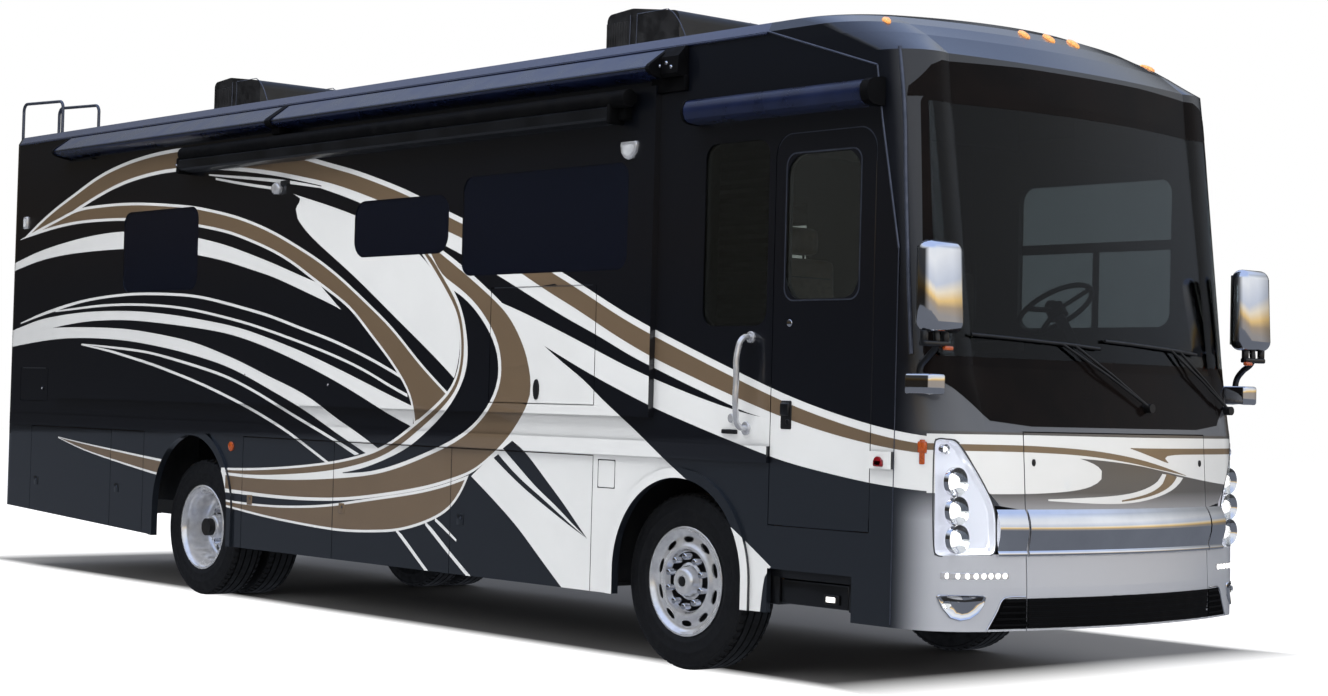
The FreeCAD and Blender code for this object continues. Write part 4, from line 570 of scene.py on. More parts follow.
# Every edge is a smooth curve guided by (distance ahead of the rear axle, height) on the plane of the body
# side, in metres, and runs from the rear to the front. Two points make a straight edge.
# a band: finish, upper edge, lower edge, width of its white line at the rear and at the front
SIDE_BANDS = [
    # the white field ahead of the loop, down the skirt to the front wheel
    ("pale", [(3.387, 0.995), (3.505, 1.074), (3.716, 1.205), (3.847, 1.337), (3.94, 1.455), (3.968, 1.547),
              (3.926, 1.718), (3.82, 1.89), (3.69, 2.02), *corner(3.58, 2.074),
              (3.85, 2.0), (4.1, 1.92), (4.35, 1.84), (4.6, 1.755), (4.85, 1.672), (5.1, 1.602),
              (5.35, 1.536),
              (5.6, 1.476), (5.91, 1.412), (6.3, 1.38), (7.4, 1.25)],
     [(3.387, 0.995), (3.6, 0.875), (3.85, 0.725), (4.0, 0.61), (4.225, 0.44), *corner(4.35, 0.35),
      *corner(5.3, 0.35), *corner(5.47, 1.0), (5.35, 1.07),
      (5.2, 1.15), (5.0, 1.275), (4.8, 1.39), (4.6, 1.5), (4.475, 1.59), (4.225, 1.71), *corner(4.075, 1.795),
      (4.35, 1.69), (4.6, 1.6), (4.85, 1.52), (5.1, 1.44), (5.35, 1.375),
      (5.6, 1.31), (5.85, 1.25), (6.1, 1.19), (6.35, 1.15), (6.73, 1.10), (6.95, 1.083), (7.1, 1.075),
      (7.4, 1.07)], 0),
    # the two dark darts in that field
    ("body", [(3.79, 1.225), (3.925, 1.165), (4.1, 1.025), (4.3, 0.875), (4.45, 0.745), (4.53, 0.68)],
     [(3.70, 1.175), (3.79, 1.225), *corner(3.70, 1.175), (3.875, 1.06), (4.05, 0.945),
      (4.225, 0.86), (4.375, 0.765), (4.53, 0.68)], 0),
    ("body", [(3.655, 1.14), (3.85, 1.01), (4.1, 0.895), (4.3, 0.79), (4.53, 0.68)],
     [(3.61, 1.115), (3.85, 0.975), (4.1, 0.86), (4.35, 0.75), (4.53, 0.68)], 0),
    # white wedge behind the bumper, ahead of the front wheel
    ("pale", [(5.55, 0.90), (5.70, 0.85), (6.06, 0.625)], [(5.55, 0.35), *corner(5.98, 0.35), (6.01, 0.61),
                                                           (6.06, 0.625)], 0),
    # white wedge under the long upper band and its run to the nose
    ("pale", [(1.60, 2.90), (2.1, 2.80), (2.6, 2.64), (3.12, 2.49), (3.82, 2.24), (4.6, 1.92), (5.35, 1.67),
              (6.0, 1.47), (7.4, 1.27)],
     [(1.60, 2.86), (2.08, 2.745), (2.6, 2.57), (3.12, 2.40), (3.27, 2.345), (3.6, 2.226), (3.85, 2.125),
      (4.1, 2.025), (4.35, 1.93), (4.6, 1.845), (4.85, 1.742), (5.1, 1.662), (5.35, 1.582), (5.6, 1.507),
      (5.78, 1.452), (5.95, 1.405), (7.4, 1.20)], 0),
    # the long upper sand band
    ("sand", [(-2.82, 2.70), (-2.51, 2.84), (-2.17, 2.955), (-1.98, 3.01), (-1.62, 3.126), (-1.3, 3.187),
              (-1.01, 3.226), (-0.67, 3.253), (-0.3, 3.263), (0, 3.258), (0.38, 3.232), (0.86, 3.19),
              (1.28, 3.12), (1.69, 3.026), (1.98, 2.968), (2.24, 2.90), (2.5, 2.83), (2.77, 2.745),
              (3.12, 2.62),
              (3.27, 2.574), (3.75, 2.41), (4.255, 2.22), (4.6, 2.07), (4.85, 1.965), (5.1, 1.876),
              (5.35, 1.79), (5.6, 1.706), (5.85, 1.625), (6.1, 1.545), (6.35, 1.478), (6.6, 1.422),
              (6.85, 1.375), (7.1, 1.345), (7.4, 1.33)],
     [(-2.82, 2.69), (-2.4, 2.73), (-1.97, 2.86), (-1.83, 2.895), (-1.62, 2.95), (-1.3, 3.02), (-1.01, 3.06),
      (-0.67, 3.085), (-0.4, 3.09), (0, 3.085), (0.5, 3.045), (1.06, 2.975), (1.45, 2.905), (1.72, 2.86),
      (2.24, 2.73), (2.7, 2.59), (3.2, 2.44), (3.5, 2.33), (3.82, 2.20), (4.1, 2.075), (4.35, 1.98),
      (4.6, 1.868), (4.85, 1.765), (5.1, 1.674), (5.35, 1.598), (5.6, 1.52), (5.85, 1.448), (6.0, 1.406),
      (6.25, 1.343), (6.5, 1.293), (6.75, 1.253), (7.0, 1.222), (7.4, 1.205)], (0.022, 0.042)),
    # fine lines below it
    ("pale", [(0.10, 3.042), (0.38, 3.018), (1.06, 2.955), (1.45, 2.90), (1.77, 2.84)],
     [(0.10, 3.032), (0.38, 3.0), (1.06, 2.93), (1.45, 2.88), (1.77, 2.84)], 0),
    ("pale", [(0.20, 3.01), (0.6, 2.952), (1.05, 2.895)], [(0.20, 2.995), (0.6, 2.932), (1.05, 2.875)], 0),
    # the second sand band, sweeping down to the loop
    ("sand", [(-2.92, 2.676), (-2.51, 2.77), (-2.2, 2.83), (-1.97, 2.884), (-1.72, 2.898), (-1.3, 2.9),
              (-0.93, 2.889), (-0.56, 2.862), (-0.14, 2.828), (0.07, 2.797), (0.4, 2.745), (0.66, 2.69),
              (1.0, 2.6), (1.295, 2.495), (1.584, 2.39), (1.874, 2.258), (2.19, 2.087), (2.505, 1.916),
              (2.768, 1.718), (2.98, 1.587), (3.16, 1.48)],
     [(-2.92, 2.674), (-2.51, 2.724), (-2.14, 2.758), (-1.83, 2.77), (-1.46, 2.768), (-1.09, 2.758),
      (-0.5, 2.728), (0.03, 2.658), (0.4, 2.605), (0.66, 2.542), (1.0, 2.455), (1.295, 2.35), (1.48, 2.263),
      (1.874, 2.1), (2.03, 2.02), (2.24, 1.863), (2.45, 1.718), (2.637, 1.56), (2.729, 1.442),
      *corner(2.76, 1.30), (2.926, 1.34), (3.16, 1.48)], (0.022, 0.018)),
    # the white leaf inside the loop
    ("pale", [*corner(1.25, 2.84), (1.36, 2.815), (2.08, 2.655), (2.5, 2.50),
              (2.81, 2.368), (2.926, 2.258), (3.058, 2.126), (3.163, 2.02), (3.216, 1.916), (3.237, 1.784),
              (3.216, 1.68), (3.18, 1.595)],
     [(1.25, 2.84), (1.36, 2.80), (1.335, 2.785), (1.275, 2.735), (1.29, 2.68), (1.45, 2.555), (1.72, 2.416),
      (1.98, 2.284), (2.24, 2.14), (2.5, 1.99), (2.77, 1.84), (3.03, 1.69), (3.18, 1.595)], 0),
    # rear bands, highest first
    ("pale", [(-3.4, 2.42), (-3.116, 2.463), (-2.77, 2.534), (-2.51, 2.579), (-2.17, 2.62), (-1.83, 2.653),
              (-1.46, 2.674), (-1.084, 2.679), (-0.5, 2.65), (0.03, 2.579), (0.4, 2.516), (0.66, 2.455),
              (1.0, 2.376), (1.295, 2.297), (1.6, 2.22)],
     [(-3.4, 2.36), (-3.116, 2.403), (-2.77, 2.463), (-2.51, 2.5), (-2.17, 2.526), (-1.83, 2.54),
      (-1.084, 2.547), (-0.5, 2.52), (0.03, 2.455), (0.4, 2.403), (0.716, 2.337), (1.0, 2.284),
      (1.295, 2.205), (1.584, 2.126), (1.874, 2.047), (2.03, 1.98), (2.24, 1.842), (2.45, 1.69),
      (2.60, 1.58)], 0),
    ("pale", [(-2.86, 1.995), (-2.51, 2.068), (-2.17, 2.12), (-1.83, 2.163), (-1.46, 2.19), (-1.01, 2.207),
              (-0.67, 2.202), (-0.3, 2.19), (0.016, 2.17), (0.4, 2.115), (0.716, 2.063), (1.0, 2.018),
              (1.4, 1.926), (1.795, 1.847), (2.19, 1.74), (2.4, 1.676), (2.60, 1.61)],
     [(-2.86, 1.985), (-2.51, 2.045), (-2.17, 2.093), (-1.83, 2.143), (-1.46, 2.17), (-1.01, 2.187),
      (-0.67, 2.182), (-0.3, 2.17), (0.016, 2.15), (0.4, 2.095), (0.716, 2.043), (1.0, 1.998),
      (1.4, 1.906), (1.795, 1.827), (2.19, 1.72), (2.4, 1.656), (2.60, 1.59)], 0),
    ("pale", [(-2.25, 2.085), (-1.83, 2.109), (-1.46, 2.127), (-1.01, 2.127), (-0.67, 2.117), (-0.3, 2.096),
              (0.016, 2.064), (0.4, 2.012), (0.716, 1.964), (1.0, 1.912), (1.4, 1.833), (1.795, 1.749),
              (2.19, 1.649), (2.45, 1.556), (2.68, 1.49)],
     [(-2.25, 2.075), (-1.83, 2.091), (-1.46, 2.109), (-1.01, 2.109), (-0.67, 2.099), (-0.3, 2.078),
      (0.016, 2.046), (0.4, 1.994), (0.716, 1.946), (1.0, 1.894), (1.4, 1.815), (1.795, 1.731),
      (2.19, 1.631), (2.45, 1.538), (2.68, 1.47)], 0),
    ("pale", [(-3.4, 1.86), (-3.02, 1.93), (-2.77, 1.974), (-2.51, 2.02), (-2.17, 2.047), (-1.83, 2.066),
              (-1.46, 2.074), (-1.01, 2.068), (-0.67, 2.053), (-0.3, 2.026), (0.016, 1.995), (0.4, 1.955),
              (0.716, 1.908), (1.0, 1.85), (1.4, 1.766), (1.795, 1.666), (2.19, 1.56), (2.45, 1.487),
              (2.75, 1.41)],
     [(-3.4, 1.78), (-2.6, 1.92), (-2.14, 1.963), (-1.83, 1.99), (-1.46, 2.003), (-1.01, 2.0), (-0.67, 1.98),
      (-0.3, 1.955), (0.016, 1.93), (0.4, 1.895), (0.716, 1.842), (1.0, 1.784), (1.4, 1.687), (1.795, 1.58),
      (2.19, 1.455), (2.45, 1.363), (2.75, 1.28)], 0),
    ("pale", [(-3.4, 1.84), (-2.6, 1.94), (-2.14, 1.955), (-1.46, 1.947), (-1.01, 1.93), (-0.67, 1.9),
              (-0.3, 1.863), (0.016, 1.82), (0.4, 1.74), (0.716, 1.666), (1.0, 1.587), (1.4, 1.495),
              (1.663, 1.403), (1.874, 1.31), (2.084, 1.245), (2.40, 1.12)],
     [(-3.4, 1.74), (-3.04, 1.797), (-2.77, 1.82), (-2.51, 1.842), (-2.17, 1.863), (-1.83, 1.868),
      (-1.46, 1.863), (-1.01, 1.842), (-0.67, 1.81), (-0.3, 1.77), (0.016, 1.726), (0.4, 1.666),
      (0.716, 1.587), (1.0, 1.503), (1.4, 1.39), (1.663, 1.297), (1.874, 1.218), (2.25, 1.09)], 0),
    ("pale", [(-1.787, 1.822), (-1.3, 1.802), (-0.93, 1.78), (-0.67, 1.76), (-0.3, 1.71), (0.016, 1.663),
              (0.4, 1.602), (0.716, 1.523), (1.0, 1.44), (1.295, 1.347), (1.61, 1.255), (1.874, 1.176),
              (2.15, 1.09)],
     [(-1.787, 1.816), (-1.3, 1.784), (-0.93, 1.762), (-0.67, 1.742), (-0.3, 1.69), (0.016, 1.643),
      (0.4, 1.582), (0.716, 1.503), (1.0, 1.42), (1.295, 1.327), (1.61, 1.235), (1.874, 1.156),
      (2.10, 1.08)], 0),
    ("pale", [(-1.787, 1.818), (-1.3, 1.775), (-1.01, 1.728), (-0.67, 1.68), (-0.3, 1.61), (0.016, 1.552),
              (0.4, 1.465), (0.716, 1.386), (1.0, 1.307), (1.295, 1.215), (1.53, 1.123), (1.80, 1.02)],
     [(-1.787, 1.81), (-1.3, 1.755), (-1.01, 1.708), (-0.67, 1.66), (-0.3, 1.59), (0.016, 1.532),
      (0.4, 1.445), (0.716, 1.366), (1.0, 1.287), (1.295, 1.195), (1.53, 1.103), (1.75, 1.02)], 0),
    # the loop: white ground, then its two sand rings and the dark crescent between them
    ("pale", [(0.40, 0.935), (0.7, 0.942), (1.0, 0.957), (1.4, 0.985), (1.8, 1.024), (2.1, 1.07),
              (2.37, 1.128),
              (2.6, 1.22), (2.77, 1.31), (2.926, 1.39), (3.124, 1.508), (3.20, 1.605), (3.23, 1.70),
              (3.237, 1.784), (3.216, 1.916), (3.163, 2.02), (3.058, 2.126), (2.926, 2.258), (2.81, 2.368),
              (2.75, 2.42)],
     [(0.40, 0.765), (1.0, 0.752), (1.4, 0.752), (1.795, 0.765), (2.084, 0.786), (2.4, 0.823), (2.663, 0.857),
      (2.926, 0.897), (3.163, 0.949), (3.374, 1.004), (3.505, 1.07), (3.716, 1.2), (3.855, 1.334),
      (3.95, 1.455), (3.978, 1.56), (3.94, 1.718), (3.83, 1.895), (3.70, 2.03), (3.51, 2.14), (3.30, 2.26),
      (3.05, 2.385), (2.95, 2.42)], 0),
    ("sand", [(0.46, 0.92), (0.7, 0.926), (1.0, 0.941), (1.4, 0.97), (1.8, 1.008), (2.1, 1.052),
              (2.38, 1.112),
              (2.61, 1.203), (2.78, 1.292), (2.935, 1.37), (3.135, 1.49), (3.215, 1.59), (3.245, 1.69),
              (3.252, 1.784), (3.232, 1.92), (3.178, 2.03), (3.075, 2.14), (2.945, 2.27), (2.80, 2.40)],
     [(0.46, 0.905), (0.7, 0.898), (1.0, 0.905), (1.4, 0.93), (1.8, 0.965), (2.1, 1.012), (2.40, 1.075),
      (2.64, 1.17), (2.81, 1.262), (2.965, 1.345), (3.165, 1.475), (3.245, 1.585), (3.272, 1.69),
      (3.278, 1.784), (3.258, 1.93), (3.20, 2.05), (3.105, 2.155), (2.985, 2.27), (2.90, 2.36),
      (2.80, 2.41)], 0),
    ("sand", [(0.46, 0.885), (0.7, 0.877), (1.06, 0.878), (1.4, 0.888), (1.8, 0.912), (2.24, 0.948),
              (2.505, 0.992), (2.768, 1.058), (3.03, 1.136), (3.19, 1.188), (3.374, 1.268), (3.55, 1.395),
              (3.65, 1.535), (3.672, 1.653), (3.64, 1.80), (3.53, 1.94), (3.365, 2.075), (3.19, 2.165),
              (3.06, 2.22), (2.98, 2.275), (2.88, 2.40)],
     [(0.46, 0.79), (1.0, 0.774), (1.4, 0.774), (1.795, 0.786), (2.084, 0.806), (2.4, 0.843), (2.663, 0.877),
      (2.926, 0.917), (3.163, 0.969), (3.374, 1.022), (3.505, 1.085), (3.716, 1.212), (3.847, 1.337),
      (3.94, 1.455), (3.968, 1.547), (3.926, 1.718), (3.815, 1.885), (3.685, 2.01), (3.50, 2.115),
      (3.28, 2.235), (3.03, 2.36), (2.93, 2.41)], 0),
    ("body", [(1.96, 0.962), (2.2, 0.995), (2.505, 1.08), (2.716, 1.15), (2.926, 1.268), (3.058, 1.355),
              (3.163, 1.44), (3.258, 1.547), (3.312, 1.653), (3.32, 1.784), (3.275, 1.968), (3.19, 2.10),
              (3.15, 2.14)],
     [(1.96, 0.957), (2.24, 0.972), (2.505, 1.018), (2.768, 1.085), (3.03, 1.162), (3.19, 1.215),
      (3.374, 1.295), (3.53, 1.414), (3.624, 1.545), (3.642, 1.653), (3.61, 1.784), (3.505, 1.916),
      (3.347, 2.047), (3.2, 2.122), (3.15, 2.14)], 0),
    # the lower sand band under the loop
    ("sand", [(0.46, 0.712), (0.7, 0.704), (1.0, 0.70), (1.4, 0.712), (1.8, 0.742), (2.084, 0.78),
              (2.4, 0.822), (2.663, 0.855), (2.926, 0.895), (3.163, 0.945), (3.36, 1.0)],
     [(0.46, 0.662), (1.0, 0.613), (1.4, 0.592), (1.8, 0.574), (2.08, 0.574), (2.4, 0.592), (2.64, 0.613),
      (2.93, 0.68), (3.14, 0.758), (3.24, 0.837), (3.31, 0.916), (3.36, 1.0)], (0.014, 0.018)),
    # diagonals down the skirt
    ("pale", [(2.595, 0.625), (2.63, 0.62), (2.83, 0.475), (3.01, 0.35)],
     [(2.595, 0.61), (2.79, 0.475), (2.97, 0.35)], 0),
    ("pale", [(2.915, 0.69), (2.96, 0.675), (3.17, 0.53), (3.45, 0.36)],
     [(2.915, 0.67), (3.14, 0.52), (3.40, 0.36)], 0),
    ("pale", [(3.02, 0.72), (3.07, 0.70), (3.25, 0.60)], [(3.02, 0.70), (3.07, 0.675), (3.25, 0.585)], 0),
    # the dart behind the rear wheel
    ("sand", [(-2.13, 1.085), (-1.72, 1.05), (-1.3, 1.022), (-0.93, 0.995), (-0.40, 0.96)],
     [(-2.13, 1.075), (-1.72, 0.992), (-1.3, 0.938), (-0.93, 0.892), (-0.50, 0.842), (-0.40, 0.84)],
     (0.006, 0.018)),
]
# the nose, seen from ahead: (distance left of the middle, height)
NOSE_BANDS = [
    ("pale", [(-1.25, 1.357), (-0.7, 1.361), (0.0, 1.356), (0.7, 1.357), (1.25, 1.357)],
     [(-1.25, 1.064), (-0.9, 1.064), (-0.694, 1.065), (-0.426, 1.078), (-0.29, 1.10), (-0.20, 1.14),
      (-0.20, 1.185), (-0.26, 1.22), *corner(-0.37, 1.245), (-0.204, 1.237),
      (0.05, 1.217), (0.234, 1.193), (0.50, 1.155), (0.747, 1.127), (1.011, 1.103), (1.25, 1.09)], 0),
    ("sand", [(-1.25, 1.310), (-0.932, 1.309), (-0.701, 1.308), (-0.415, 1.296), (-0.221, 1.284),
              (0.052, 1.253), (0.285, 1.213), (0.543, 1.158)],
     [(-1.25, 1.276), (-0.933, 1.276), (-0.703, 1.274), (-0.417, 1.265), (-0.223, 1.251), (0.05, 1.223),
      (0.235, 1.195), (0.409, 1.174), (0.543, 1.156)], 0),
    ("sand", [(0.03, 1.303), (0.20, 1.301), (0.471, 1.302), (1.25, 1.304)],
     [(0.03, 1.299), (0.17, 1.268), (0.43, 1.205), (0.30, 1.255), (0.40, 1.27), (0.696, 1.27), (1.25, 1.272)],
     0),
    ("pale", [(-0.60, 1.039), (-0.333, 1.045), (-0.026, 1.057), (0.156, 1.088), (0.275, 1.13),
              *corner(0.305, 1.168), (0.51, 1.146)],
     [(-0.60, 1.031), (-0.237, 1.012), (0.037, 1.013), (0.273, 1.046), (0.443, 1.093), (0.51, 1.146)], 0),
    ("sand", [(-0.06, 1.032), (0.06, 1.046), (0.202, 1.069), (0.32, 1.116), *corner(0.344, 1.168),
              (0.447, 1.152)],
     [(-0.06, 1.024), (0.083, 1.034), (0.274, 1.064), (0.404, 1.109), (0.447, 1.152)], 0),
]
CURVE_STEP = 0.06
SAME_SPOT = 0.0005
# eye from which the side drawing is laid on surfaces that stand off the body side
VIEWPOINT = Vector((14.901 + REAR_AXLE, -9.76, 1.469))


def smooth_edge(points):
    """Points along a clamped cubic curve guided by points. It turns sharply at a corner."""
    if len(points) == 2:
        return [Vector(p) for p in points]
    guide = [Vector(p) for p in [points[0]] * 2 + list(points) + [points[-1]] * 2]
    edge = []
    for a, b, c, d in zip(guide, guide[1:], guide[2:], guide[3:]):
        steps = max(1, math.ceil((c - b).length / CURVE_STEP))
        for k in range(steps):
            t = k / steps
            edge.append(((1 - t) ** 3 * a + (3 * t ** 3 - 6 * t ** 2 + 4) * b
                         + (-3 * t ** 3 + 3 * t ** 2 + 3 * t + 1) * c + t ** 3 * d) / 6)
    edge.append(guide[-1])
    tidy = [edge[0]]
    for point in edge[1:]:
        if (point - tidy[-1]).length > SAME_SPOT:
            tidy.append(point)
    return tidy


def shift_edge(edge, widths):
    """Moves an edge to its left by a width that goes from widths[0] to widths[1] along it."""
    moved = []
    last = len(edge) - 1
    for n, point in enumerate(edge):
        along = (edge[min(n + 1, last)] - edge[max(n - 1, 0)]).normalized()
        moved.append(point + Vector((-along.y, along.x)) * (widths[0] + (widths[1] - widths[0]) * n / last))
    return moved


def outlines(bands):
    """Closed outlines in painting order as (finish, points), counter-clockwise in (forward, up)."""
    shapes = []
    for finish, upper, lower, line in bands:
        top, bottom = smooth_edge(upper), smooth_edge(lower)
        if line:
            shapes.append(("pale", bottom + top[::-1]))
            top, bottom = shift_edge(top, [-w for w in line]), shift_edge(bottom, line)
        shapes.append((finish, bottom + top[::-1]))
    return [(finish, np.array([tuple(p) for p in points])) for finish, points in shapes]


def winding(shape, spots):
    """How many times shape goes round each spot."""
    a, b = shape, np.roll(shape, -1, axis=0)
    x, y = spots[:, :1], spots[:, 1:]
    cross = (b[:, 0] - a[:, 0]) * (y - a[:, 1]) - (x - a[:, 0]) * (b[:, 1] - a[:, 1])
    up = (a[:, 1] <= y) & (b[:, 1] > y) & (cross > 0)
    down = (a[:, 1] > y) & (b[:, 1] <= y) & (cross < 0)
    return up.sum(1) - down.sum(1)


def triangles(node, wanted):
    """Corner points of a node's triangles that wanted(normal, centre) picks."""
    mesh = NODES[node].data
    return [[mesh.vertices[i].co.copy() for i in face.vertices] for face in mesh.polygons
            if wanted(face.normal, face.center)]


def rim_segments(faces):
    """Edges that only one of the faces has."""
    seen = {}
    for corners in faces:
        keys = [tuple(round(c, 4) for c in p) for p in corners]
        for n in range(3):
            edge = (keys[n], keys[(n + 1) % 3])
            if edge[::-1] in seen:
                del seen[edge[::-1]]
            else:
                seen[edge] = (corners[n], corners[(n + 1) % 3])
    return list(seen.values())


def film(name, body, faces, shapes, to_flat, to_space, outward, thickness, borders=(), curved=False,
         keep=None):
    """Thin painted shapes on the faces of a panel. to_flat and to_space lead into the drawing and back."""
    flat = [[to_flat(p) for p in corners] for corners in faces]
    spots = np.array([tuple(p) for corners in flat for p in corners])
    low, high = spots.min(0), spots.max(0)
    points, index, edges = [], {}, []

    def add(p):
        key = (round(p[0], 5), round(p[1], 5))
        if key not in index:
            index[key] = len(points)
            points.append(Vector((p[0], p[1])))
        return index[key]

    for a, b in rim_segments(faces):
        edges.append((add(to_flat(a)), add(to_flat(b))))
    for line in borders:
        for a, b in zip(line, line[1:]):
            edges.append((add(a), add(b)))
    near = []
    for finish, shape in shapes:
        if (shape.max(0) < low).any() or (shape.min(0) > high).any():
            continue
        near.append((finish, shape))
        following = np.roll(shape, -1, axis=0)
        touching = ((np.maximum(shape, following) >= low - 0.01).all(1)
                    & (np.minimum(shape, following) <= high + 0.01).all(1))
        for a, b in zip(shape[touching], following[touching]):
            edges.append((add(a), add(b)))
    if not near:
        return None
    if curved:
        for corners in flat:
            for n in range(3):
                edges.append((add(corners[n]), add(corners[(n + 1) % 3])))
    edges = [e for e in edges if e[0] != e[1]]
    laid, _, cells, _, _, _ = delaunay_2d_cdt(points, edges, [], 0, 1e-6)
    cells = [c for c in cells if len(c) == 3]
    centres = np.array([tuple(p) for p in laid])[np.array(cells)].mean(1)
    finish_of = np.full(len(cells), -1)
    names = sorted({finish for finish, _ in near} - {"body"})
    for finish, shape in near:
        inside = winding(shape, centres) > 0
        finish_of[inside] = names.index(finish) if finish in names else -1
    cover = tree_over([[(p[0], p[1], 0) for p in corners] for corners in flat])
    kept, marks, used = [], [], {}
    for cell, centre, mark in zip(cells, centres, finish_of):
        if mark < 0 or cover.ray_cast((centre[0], centre[1], 1), (0, 0, -1))[0] is None:
            continue
        if keep and not keep(to_space(Vector(centre))):
            continue
        kept.append([used.setdefault(c, len(used)) for c in cell])
        marks.append(int(mark))
    if not kept:
        return None
    piece = mesh_object(name, [to_space(laid[c]) for c in used], kept)
    mesh = piece.data
    for face, mark in zip(mesh.polygons, marks):
        face.material_index = mark
    facing = sum((face.normal * face.area for face in mesh.polygons), Vector())
    if facing.dot(outward) < 0:
        mesh.flip_normals()
    for key in names:
        mesh.materials.append(M[key])
    for vertex in mesh.vertices:
        vertex.co += vertex.normal * thickness
    apply_modifier(piece, "SOLIDIFY", thickness=thickness, offset=-1.0, use_rim=True)
    return settle(piece, name, None, body, smooth=20)


STRIPED = [
    ("right_wall", "coach"), ("left_wall", "coach"), ("right_skirt", "coach"), ("left_skirt", "coach"),
    ("belt_mouldings", "coach"), ("slide_out", "slide_out"), ("media_hatch", "media_hatch"),
    ("entry_door", "entry_door"), ("fuel_door", "fuel_door"), ("rear_side_hatch", "rear_side_hatch"),
    *((f"right_bay_door_{n}", f"right_bay_door_{n}") for n in range(1, 6)),
    *((f"left_bay_door_{n}", f"left_bay_door_{n}") for n in range(1, 4)),
]
# where the drawing of the nose hands over to that of the sides
CORNER_AT = 1.235


def side_drawing(side, depth=None, tree=None):
    """Ways into and out of the side drawing, for a flat face at depth or for a curved one in tree."""
    eye = Vector((VIEWPOINT.x, side * abs(VIEWPOINT.y), VIEWPOINT.z))

    def to_flat(p):
        ray = p - eye
        hit = eye + ray * ((side * BODY_SIDE - eye.y) / ray.y)
        return (hit.x - REAR_AXLE, hit.z)

    def to_space(q):
        ray = Vector((q[0] + REAR_AXLE, side * BODY_SIDE, q[1])) - eye
        if tree is None:
            return eye + ray * ((depth - eye.y) / ray.y)
        return landing(tree, eye, ray.normalized(), eye + ray)

    return to_flat, to_space


def paint_stripes(paint):
    """Lays the stripes on the sides, then on the nose, the nose's corners and the rear corners."""
    shapes = outlines(SIDE_BANDS)
    for node, body in STRIPED:
        for side, word in SIDES:
            levels = {}
            for corners in triangles(node, lambda n, c: n.y * side > 0.999
                                     and -0.01 < c.y * side - BODY_SIDE < 0.045):
                levels.setdefault(round(corners[0].y, 3), []).append(corners)
            for n, (depth, faces) in enumerate(sorted(levels.items())):
                to_flat, to_space = side_drawing(side, depth)
                film(f"{node}_{word}_stripes_{n}" if node == "belt_mouldings" or n else f"{node}_stripes",
                     body,
                     faces, shapes, to_flat, to_space, Vector((0, side, 0)), paint.film)
    nose = outlines(NOSE_BANDS)
    for node, body in (("front_cap", "coach"), ("front_hood", "front_hood")):
        faces = triangles(node, lambda n, c: n.x > 0.25 and abs(c.y) < BODY_SIDE and 0.9 < c.z < 1.45)
        tree = tree_over(faces)

        def from_ahead(q, tree=tree):
            return landing(tree, Vector((AHEAD, *q)), Vector((-1, 0, 0)), Vector((NOSE_AT, *q)))

        sides = [[(s * CORNER_AT, z) for z in (0.9, 1.45)] for s in (RIGHT,
                                                                     LEFT)] if node == "front_cap" else []
        film(f"{node}_nose_stripes", body, faces, nose, lambda p: (p.y, p.z), from_ahead, Vector((1, 0, 0)),
             paint.film, sides, True, lambda p: abs(p.y) < CORNER_AT)
    for side, word in SIDES:
        faces = triangles("front_cap", lambda n, c: n.y * side > 0.05 and 0.9 < c.z < 1.5 and c.y * side > 1.1
                          and n.x > -0.1)
        tree = tree_over(faces)
        to_flat, to_space = side_drawing(side, tree=tree)
        turn = []
        for k in range(12):
            hit = tree.ray_cast(Vector((AHEAD, side * CORNER_AT, 1.0 + k * 0.04)), Vector((-1, 0, 0)))[0]
            if hit:
                turn.append(to_flat(hit))
        film(f"front_cap_{word}_stripes", "coach", faces, shapes, to_flat, to_space, Vector((0, side, 0)),
             paint.film, [turn], True, lambda p: abs(p.y) > CORNER_AT)
        faces = triangles("rear_cap", lambda n, c: n.y * side > 0.2 and 1.5 < c.z < 2.8)
        tree = tree_over(faces)

        def from_aside(q, tree=tree, side=side):
            return landing(tree, Vector((q[0] + REAR_AXLE, side * ASIDE, q[1])), Vector((0, -side, 0)),
                           Vector((q[0] + REAR_AXLE, side * BODY_SIDE, q[1])))

        film(f"rear_cap_{word}_stripes", "coach", faces, shapes, lambda p: (p.x - REAR_AXLE, p.z), from_aside,
             Vector((0, side, 0)), paint.film, (), True)


# ------------------------------------------------------------------ the nose
HOOD_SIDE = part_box("front_hood")[1].y - 0.018
JOINT_LINE = [(4.848, 0.40), (4.848, 1.26), (4.848, 2.28), (4.713, 2.95), (4.671, 3.215), (3.858, 3.468)]
NOSE_NODES = ("front_cap", "front_hood", "headlamps", "windscreen")


def on_nose(y, z, out=0.0):
    """Point of the nose's outer skin at (y, z), moved out square to it."""
    tree = face_tree(lambda n, c: n.x > 0.02, *NOSE_NODES, key="nose")
    return standing_off(tree, Vector((AHEAD, y, z)), Vector((-1, 0, 0)), Vector((NOSE_AT, y, z)), out)


def on_side(x, side, z, out=0.0):
    """Point of the skin of one side of the coach at (x, z), moved out square to the side."""
    word = dict(SIDES)[side]
    tree = face_tree(lambda n, c: n.y * side > 0.02, "front_cap", "belt_mouldings", f"{word}_wall",
                     f"{word}_skirt", key=word)
    return tree.ray_cast(Vector((x, side * ASIDE, z)), Vector((0, -side, 0)))[0] + Vector((0, side * out, 0))


def turns_left(outline):
    """Whether an outline runs counter-clockwise."""
    y, z = np.transpose(outline)
    return np.dot(y, np.roll(z, -1)) > np.dot(z, np.roll(y, -1))


